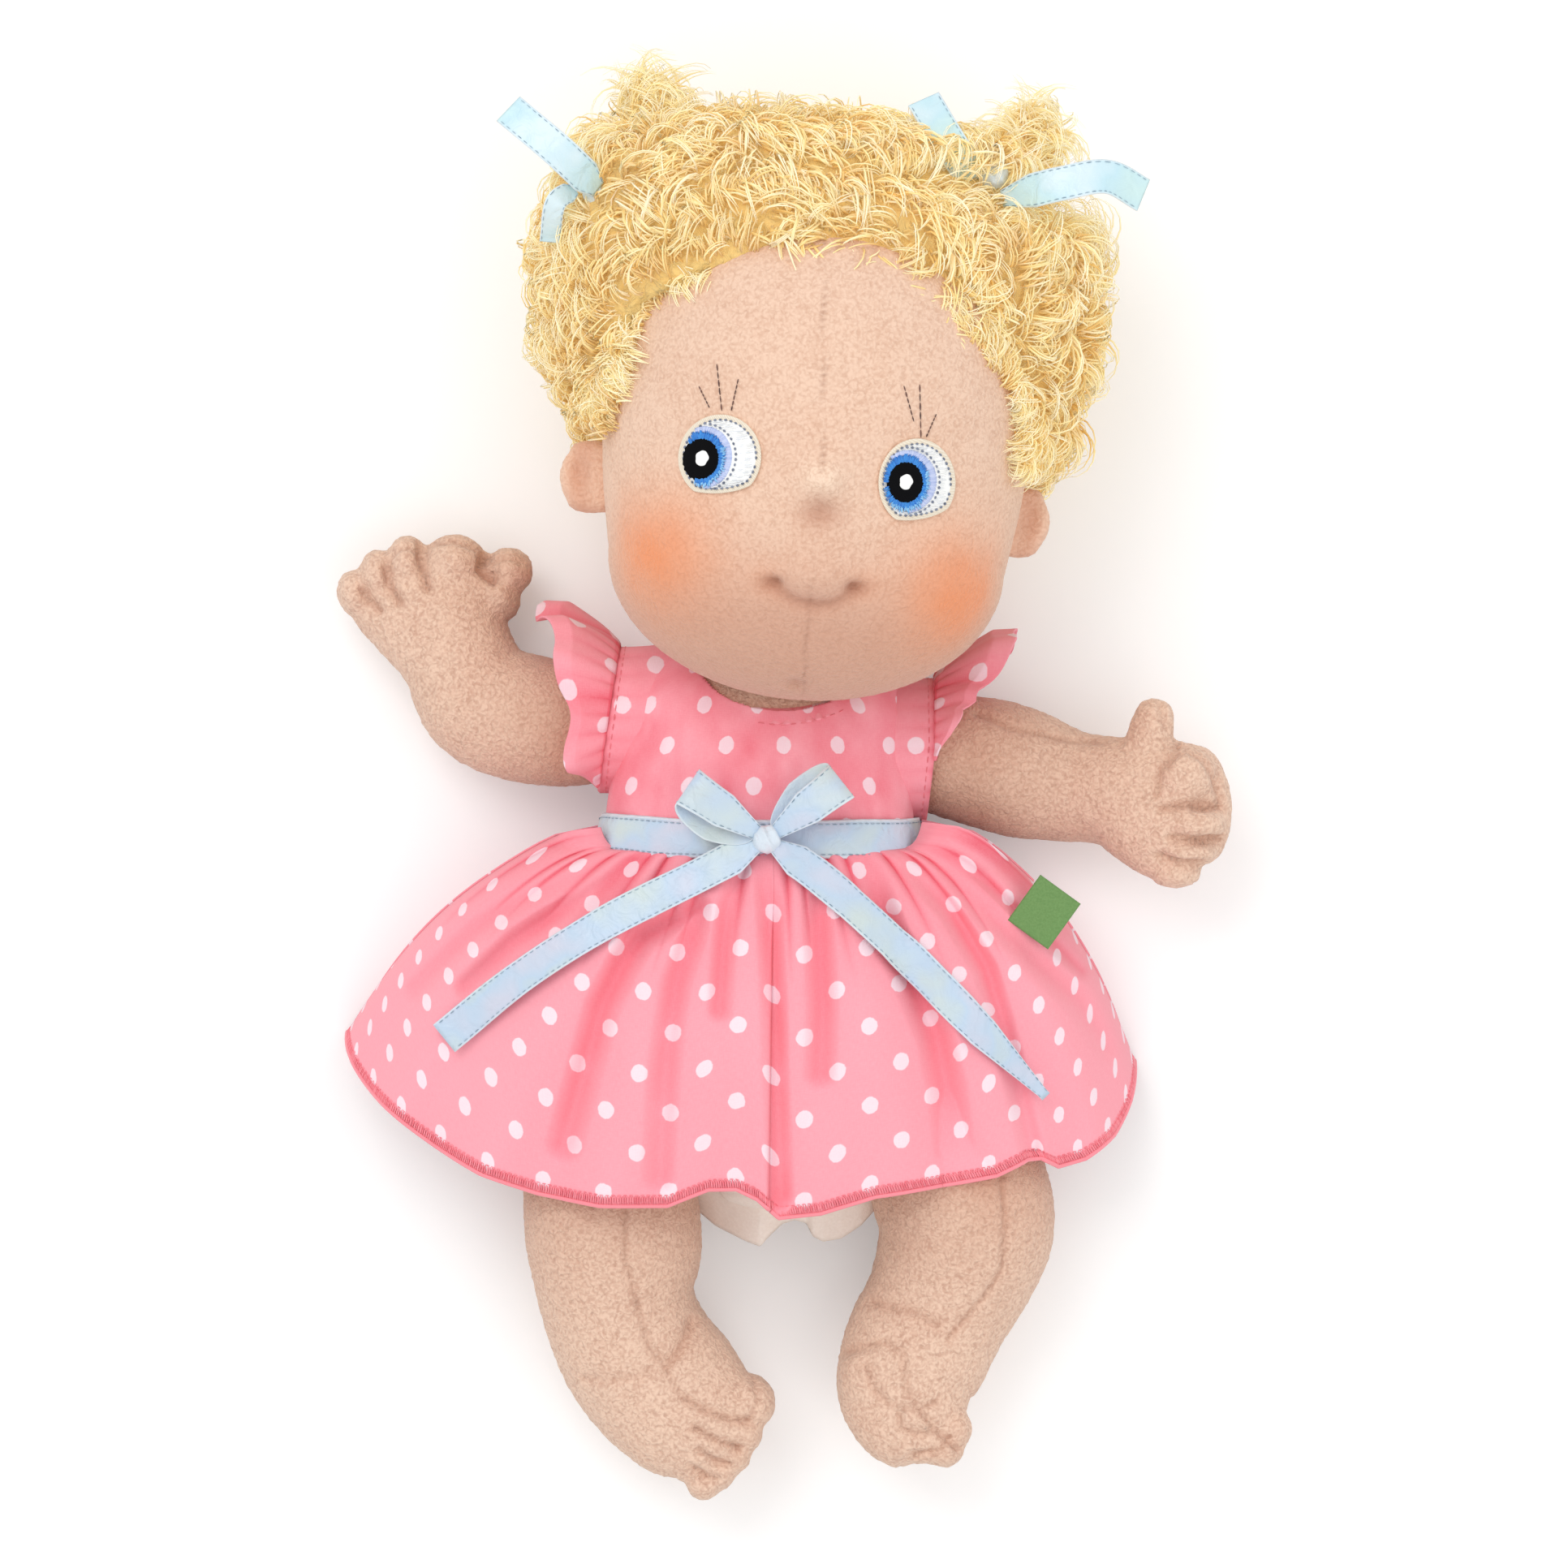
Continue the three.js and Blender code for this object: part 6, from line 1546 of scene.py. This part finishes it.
back_turn, back_fall = np.meshgrid(np.linspace(np.pi, 2 * np.pi, 200), np.linspace(0, 1, 50), indexing="xy")
front_side, rear = np.cos(back_turn), np.clip(-np.sin(back_turn), 0, 1)
back_hem_x, bulge = skirt_side(front_side)
back_x = ((WAIST_X + WAIST_WIDE * front_side) * (1 - back_fall ** bulge)
          + back_hem_x * back_fall ** bulge)
back_hem = np.where(front_side > 0, -70.5, -64.0) - 30 * rear ** 0.8
back_y = WAIST_Y + (back_hem - WAIST_Y) * back_fall + waist_puff(front_side, back_fall)
top_z = np.maximum(WAIST_Z - WAIST_DEEP * rear, 1.0)
settled = np.clip(back_fall * 2.5, 0, 1)
settled = settled * settled * (3 - 2 * settled)
ease = np.clip(3 * rear, 0, 1) * settled + (1 - np.clip(3 * rear, 0, 1)) * back_fall
back_z = top_z + (0.75 + 0.5 * (1 + np.sin(20 * back_turn)) * back_fall - top_z) * ease
back_grid = np.stack([back_x, back_y, np.maximum(back_z, 0.75)], -1)
skirt_back, used = open_sheet("skirt_back", back_grid, skirt_cotton, 0.5, offset=1.0)
cloth_map(skirt_back, used, back_turn * (44 + 46 * back_fall), -back_fall * 80 + 0.5)
mark(skirt_back, "fold", np.full(len(used), 0.3))
belongs(skirt_back, "torso", "spotted_cotton")

# the hem: overlock threads round the cut edge, a roll under them and a row of stitches above
hem_thread = thread_colours("hem_thread", (252, 146, 158), (238, 112, 126), (1, 0.8, 0.8))
rng = np.random.default_rng(404)
for side, ends in FRONT_SIDES.items():
    turns = np.linspace(*ends, 2000)
    edge, _ = skirt_front(turns, np.ones(2000))
    inner, _ = skirt_front(turns, np.full(2000, 0.972))
    far = run(edge)
    at = np.arange(0.2, far[-1] - 0.4, 0.56)
    at = at + rng.uniform(-0.06, 0.06, len(at))
    first, second = at_run(edge, at, far), at_run(inner, at + 0.5, far)
    way = unit(first - second)
    upward = np.tile([0, 0, 1.0], (len(at), 1))
    threads(f"hem_{side}_threads", second + way * 2.25, second + way * 0.2, upward, 0.24, 0.30, hem_thread,
            "spotted_cotton", 9, leg=side)
    bead = edge + unit(edge - inner) * 0.2
    ring = np.linspace(0, 2 * np.pi, 9)[:-1]
    ahead = unit(np.gradient(bead, axis=0))[::4]
    out = unit(np.cross(ahead, [0, 0, 1.0]))
    roll = (bead[::4, None] + 0.50 * np.cos(ring)[None, :, None] * out[:, None]
            + 0.46 * np.sin(ring)[None, :, None] * np.cross(out, ahead)[:, None])
    hem = form(f"hem_{side}_roll", roll, hem_thread)
    mark(hem, "stitch", np.full(len(hem.data.vertices), 0.25))
    follows_leg(hem, side, "spotted_cotton", points_of(hem))
    row = np.arange(0.2, far[-1] - 0.9, 1.35)
    threads(f"hem_{side}_row", at_run(inner, row, far), at_run(inner, row + 0.95, far),
            np.tile([0, 0, 1.0], (len(row), 1)), 0.13, 0.10, hem_thread, "spotted_cotton", 10, leg=side)

# ---------------------------------------------------------------------------------------------
# The flutter sleeves: strips of the same cotton, gathered along one edge and sewn round the
# armholes. They stand up over the shoulders and fold under at the front.

# how far a frill reaches and flares (mm) at angles round the armhole (degrees)
FRILLS = {"right": np.array([[-105, 1, 1], [-60, 8, 4], [-25, 14, 9], [0, 18.5, 10], [20, 17.5, 9],
                             [45, 14, 6], [75, 10.5, 4], [100, 8.5, 3.5], [122, 7.5, 3],
                             [136, 4.5, 2], [150, 0.6, 1]]),
          "left": np.array([[-105, 1, 1], [-60, 8, 4], [-25, 14, 9], [0, 19.5, 10], [20, 18, 8],
                            [40, 12, 5], [55, 9.5, 3.5], [62, 5.5, 3], [80, 4, 3], [97, 0.6, 1]])}
for side, (root, sign) in ARM_ROOTS.items():
    table = FRILLS[side]
    share, out = np.meshgrid(np.linspace(0, 1, 220), np.linspace(0, 1, 44), indexing="xy")
    degrees = table[0, 0] + (table[-1, 0] - table[0, 0]) * share
    angle = np.radians(degrees)
    reach = np.interp(degrees, table[:, 0], table[:, 1])
    flare = np.interp(degrees, table[:, 0], table[:, 2]) * np.clip(out * 1.4, 0, 1) ** 0.7
    folds = np.sin(2 * np.pi * 3.6 * share + 0.8) + 0.4 * np.sin(2 * np.pi * 8.3 * share)
    gather = np.abs(np.sin(np.pi * 21 * share + 0.8 * np.sin(11 * share))) ** 0.6 - 0.6
    near_seam = np.clip(1 - out / 0.55, 0, 1) ** 1.5
    radius = 16.7 + flare + 2.3 * folds * out * np.clip(reach / 8, 0, 1) + 0.9 * gather * near_seam
    seam_x = armhole_x(side, root[1] + ARMHOLE * np.cos(angle)) - 0.3
    x = seam_x + reach * out + 1.0 * np.sin(2 * np.pi * 5 * share) * out
    frill, used = open_sheet(f"frill_{side}_cotton", round_arm(root, sign, x, angle, radius),
                             skirt_cotton, 0.5, core=(root[0] + sign * 8, root[1], 20))
    cloth_map(frill, used, share * 84 + 3, out * reach + 4)
    # painted light and shade: darker between the gathers, in the folds' hollows and along the seam, lighter on
    # the folds' crests
    tone = (0.28 - 0.5 * gather * (1 - out) - 0.2 * folds * out + 0.5 * np.clip(-folds, 0, 1) * (1 - out)
            + 0.35 * (out < 0.05))
    mark(frill, "fold", np.clip(tone, 0, 0.95).ravel()[used])
    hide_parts(f"frill_{side}")
    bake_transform(frill, "torso", f"shoulder_{side}", start=(sign * 0.037, 0, 0.02), end=(sign * 0.052, 0, 0.02))

# ---------------------------------------------------------------------------------------------
# The sash and its bow: pale blue satin ribbon with a stitched edge along both sides. The sash is
# sewn on, the bow is tied and caught down at its knot, and its tails lie over the skirt.

satin, satin_tree, satin_shader = finish("satin_ribbon", roughness=0.34, sheen=0.15, specular=0.55)
satin_place = own_place(satin_tree)
satin_ramp = add(satin_tree, "ShaderNodeValToRGB", {0: noise_on(satin_tree, satin_place, 75.0, 2.0)})
satin_steps = satin_ramp.color_ramp.elements
satin_steps[0].position, satin_steps[0].color = 0.32, light(202, 216, 216)
satin_steps[1].position, satin_steps[1].color = 0.68, light(206, 210, 226)
satin_steps.new(0.5).color = light(190, 210, 230)
satin_uv = add(satin_tree, "ShaderNodeUVMap", uv_map="cloth").outputs[0]
satin_across = add(satin_tree, "ShaderNodeSeparateXYZ", {0: satin_uv}).outputs[0]
satin_edge = ranged(satin_tree, maths(satin_tree, "ABSOLUTE", satin_across), 0.0036, 0.0038, 0.0, 0.65)
satin_rib = add(satin_tree, "ShaderNodeMapping", {0: satin_uv, "Scale": (5200, 900, 1)}).outputs[0]
satin_bump = raised(satin_tree, noise_on(satin_tree, satin_rib, 1.0, 1.0), 0.25, 0.0001)
satin_crush = noise_on(satin_tree, satin_place, 210.0, 3.0, Distortion=1.0)
surface(satin_tree, satin_shader,
        toned(satin_tree, satin_edge, satin_ramp.outputs[0], light(232, 240, 246)),
        raised(satin_tree, satin_crush, 0.5, 0.0012, Normal=satin_bump))

ribbon_thread = thread_colours("ribbon_thread", (168, 190, 204), (110, 136, 156))


def ribbon(node, middle, across, body="torso", core=(0, -40, 20), leg=None, cloth=satin):
    """A ribbon along a line: middle + s across, s from -1 to 1, with its map and a row of
    stitches along each edge."""
    s = np.linspace(-1, 1, 17)
    grid = middle[:, None] + s[None, :, None] * across[:, None]
    made, used = open_sheet(node + "_ribbon", grid, cloth, 0.3, core=core)
    far = run(middle)
    across_map, along_map = np.broadcast_arrays(s * 4.0, far[:, None])
    cloth_map(made, used, across_map, along_map)
    if leg:
        follows_leg(made, leg, "satin_ribbon", grid.reshape(-1, 3)[used], node)
    else:
        belongs(made, body, "satin_ribbon", node)
    for edge_sign, edge_name in ((-1, "low"), (1, "high")):
        line = middle + edge_sign * 0.86 * across
        up = unit(np.cross(across, np.gradient(middle, axis=0)))
        up = up * np.where(((line - np.array(core)) * up).sum(-1) < 0, -1, 1)[:, None]
        at = np.arange(0.4, far[-1] - 1.2, 1.7)
        first, last, up = (at_run(rows, at + ahead, far)
                           for rows, ahead in ((line, 0), (line, 1.05), (up, 0)))
        threads(f"{node}_ribbon_{edge_name}", first + up * 0.08, last + up * 0.08, up, 0.10, 0.06,
                ribbon_thread, "satin_ribbon", 27, body, leg)
    return made


turn, s = np.meshgrid(np.linspace(0, 2 * np.pi, 361), np.linspace(-1, 1, 19), indexing="ij")
left_end = np.clip(-np.cos(turn), 0, 1) ** 3 * np.clip(np.sin(turn) + 0.4, 0, 1)
sash_y = (-20.0 + 1.9 * left_end - 0.5 * np.clip(np.sin(turn), 0, 1)
          + 4.3 * s * (1 + 0.02 * np.sin(9 * turn)))
waist_x, waist_z, waist_wide, waist_deep = cut_at(TORSO, sash_y)
crumple = 2.9 + (0.3 * np.sin(7 * turn + 1) * np.clip(np.sin(turn) * 2, 0, 1) - 0.5 * np.abs(s) ** 3)
sash_grid = np.stack([waist_x + (waist_wide + crumple) * np.cos(turn), sash_y,
                      np.maximum(waist_z + (waist_deep + crumple) * np.sin(turn), 0.35)], -1)
sash, used = open_sheet("sash_ribbon", sash_grid, satin, 0.35, core=(0, -20, 25))
cloth_map(sash, used, s * 4.2, turn * 32)
belongs(sash, "torso", "satin_ribbon", "waist_sash")
for column, edge_name in ((2, "low"), (16, "high")):
    row = sash_grid[:, column]
    at = np.arange(0, run(row)[-1] - 1, 1.6)
    first, last = at_run(row, at), at_run(row, at + 1.1)
    outward = unit((first - [-3, 0, 26]) * [1, 0, 1])
    threads(f"sash_row_{edge_name}", first + outward * 0.1, last + outward * 0.1, outward, 0.13, 0.1,
            ribbon_thread, "satin_ribbon", 21)

front_plan = np.meshgrid(np.linspace(0, np.pi, 420), np.linspace(0, 1, 130), indexing="xy")
skirt_map = skirt_front(*front_plan)[0].reshape(-1, 3)


def cloth_height(places, radius=1.3):
    """The highest point of the skirt's front within a radius of each place in the plan."""
    found = np.empty(len(places))
    for k, (x, y) in enumerate(places[:, :2]):
        near = (np.abs(skirt_map[:, 0] - x) < radius) & (np.abs(skirt_map[:, 1] - y) < radius)
        found[k] = skirt_map[near, 2].max() if near.any() else 54.0
    return found


def eased(values, reach):
    """A running mean over so many neighbours on each side."""
    share = np.ones(2 * reach + 1) / (2 * reach + 1)
    return np.convolve(np.pad(values, reach, mode="edge"), share, "valid")


TAILS = {"right": [(-3.5, -21.6), (-14.7, -27.5), (-38, -39.4), (-56, -51), (-72.3, -64.2)],
         "left": [(0.6, -21.8), (10.4, -28.7), (26.5, -43), (40.9, -57.4), (60.6, -77.5)]}
TAIL_STEPS = np.linspace(0, 1, 90)
for side, plan in TAILS.items():
    line = smooth_line(np.column_stack([np.array(plan, float), np.zeros(len(plan))]), TAIL_STEPS)
    way = unit(np.gradient(line, axis=0))
    level_across = np.stack([-way[:, 1], way[:, 0], np.zeros(len(way))], -1)
    narrow = np.clip(0.45 + TAIL_STEPS * 4.5, 0, 1)
    if side == "left":
        narrow = narrow * np.clip((1.06 - TAIL_STEPS) * 4.2, 0.3, 1)
    rest = np.maximum.reduce([cloth_height(line + level_across * 3.2 * k) for k in (-1, 0, 1)])
    rest = np.where(line[:, 1] > -25.6, np.maximum(rest, 55.9), rest)
    tilt = cloth_height(line + level_across * 3.6) - cloth_height(line - level_across * 3.6)
    line[:, 2] = eased(rest, 8) + 0.8 + np.clip((line[:, 1] + 28) / 6, 0, 1) * 1.5
    across = level_across.copy()
    across[:, 2] = np.clip(eased(tilt, 6) / 8.5, -0.45, 0.45)
    across = unit(across) * 3.9 * narrow[:, None]
    if side == "right":
        line[-6:] += way[-6:] * np.linspace(0, 0.6, 6)[:, None]
    made = ribbon(f"bow_tail_{side}", line, across, leg=side)

KNOT = np.array([-1.3, -20.4, 58.2])
for side, heading, sway, droop in (("right", 146, 1, 3.8), ("left", 38, -1, 2.6)):
    way = np.array([np.cos(np.radians(heading)), np.sin(np.radians(heading)), 0])
    across_way = np.array([-way[1], way[0], 0])
    start = KNOT + way * 2.2
    a = np.linspace(0.06, 2 * np.pi - 0.06, 110)[:, None]
    out = (1 - np.cos(a)) / 2
    rise = 2.5 * np.sin(a) * (0.6 + 0.4 * out) * 1.05 + 0.4 + 0.8 * out
    middle = (start + way * (0.3 + 18.4 * out) + np.array([0, 0, 1.0]) * rise
              + across_way * droop * np.clip(-np.sin(a), 0, 1))
    wide_there = 3.9 * (0.42 + 0.58 * np.clip(2.1 * out, 0, 1)) * (1 + 0.22 * out ** 3)
    leaning = across_way + np.array([0, 0, 0.30 * sway]) * out
    ribbon(f"bow_loop_{side}", middle, unit(leaning) * wide_there,
           core=tuple(start + way * 10 + [0, 0, 0.5]))


def ribbon_knot(node, place, radii, heading, ripple, slant, cloth, body):
    """A knot of ribbon: an egg-shaped lump with slanting ripples."""
    lump = ellipsoid(place, radii, heading)
    lump += ripple * np.sin(2.6 * lump[..., :1] + slant * lump[..., 1:2]) * np.array([0.3, 0.3, 1.0])
    made = form(node + "_ribbon", lump, cloth)
    made.data.uv_layers.new(name="cloth")
    belongs(made, body, "satin_ribbon", node)


ribbon_knot("bow_knot", KNOT, (3.1, 3.2, 2.4), -20, 0.45, 1.3, satin, "torso")

HAIR_RIBBONS = {"right": ((-38, 121, 66), [[(-38, 121.5, 69), (-46, 129, 74), (-57.6, 139, 71)],
                                          [(-43, 121.5, 69), (-47, 118.5, 73.5), (-48.6, 110, 68)]]),
                "left": ((48, 125, 65), [[(50, 119.5, 68), (63, 122.5, 74), (73, 124, 73), (81, 120.2, 69)],
                                         [(44, 124, 68), (39.5, 130, 71.5), (33, 141.5, 66)]])}
hair_satin = satin.copy()
hair_satin.name = "hair_satin"
HAIR_TONES = (206, 234, 232), (196, 228, 238), (216, 236, 244)
for node in hair_satin.node_tree.nodes:
    if node.bl_idname == "ShaderNodeValToRGB":
        for element, tone in zip(node.color_ramp.elements, HAIR_TONES):
            element.color = light(*tone)
for side, (place, tails) in HAIR_RIBBONS.items():
    ribbon_knot(f"hair_knot_{side}", place, (3.6, 3.4, 2.6), 20, 0.25, 1.6, hair_satin, "head")
    for k, tail in enumerate(tails, 1):
        line = smooth_line(tail, np.linspace(0, 1, 60))
        across = unit(np.cross(unit(np.gradient(line, axis=0)), [0.15, 0.1, 1.0])) * 3.8
        across[:, 2] += 0.9 * np.sin(np.linspace(0.5, 3.4, 60))
        across *= 0.6 if (side, k) == ("right", 2) else 1.0
        across *= np.clip(0.5 + np.linspace(0, 1, 60) * 3, 0, 1)[:, None]
        ribbon(f"hair_tail_{side}_{k}", line, across, "head", tuple(line.mean(0) - [0, 0, 30]),
               cloth=hair_satin)

# ---------------------------------------------------------------------------------------------
# The side label: a folded tab of green woven tape, left bare, caught in the skirt's side seam.

label_cloth = one_texture("label_tape", "ShaderNodeTexNoise", {"Scale": 2200.0, "Detail": 2.0}, "Fac",
                          ((122, 160, 98), (92, 134, 72)), 0.3, 0.0002, roughness=0.6, sheen=0.2,
                          tint=(0.9, 1, 0.8), specular=0.3)[0]
p, q = np.meshgrid(np.linspace(-5.5, 5.5, 24), np.linspace(-6.2, 6.2, 26), indexing="ij")
c, sn = np.cos(np.radians(-36)), np.sin(np.radians(-36))
label_grid = np.stack([60.2 + c * p - sn * q, -36.6 + sn * p + c * q,
                       37.6 + 0.05 * p + 0.4 * np.sin(p / 4) - 0.12 * q], -1)
label, used = open_sheet("side_label_tape", label_grid, label_cloth, 0.6, core=(60, -37, 0))
belongs(label, "torso", "label_cloth", "side_label")
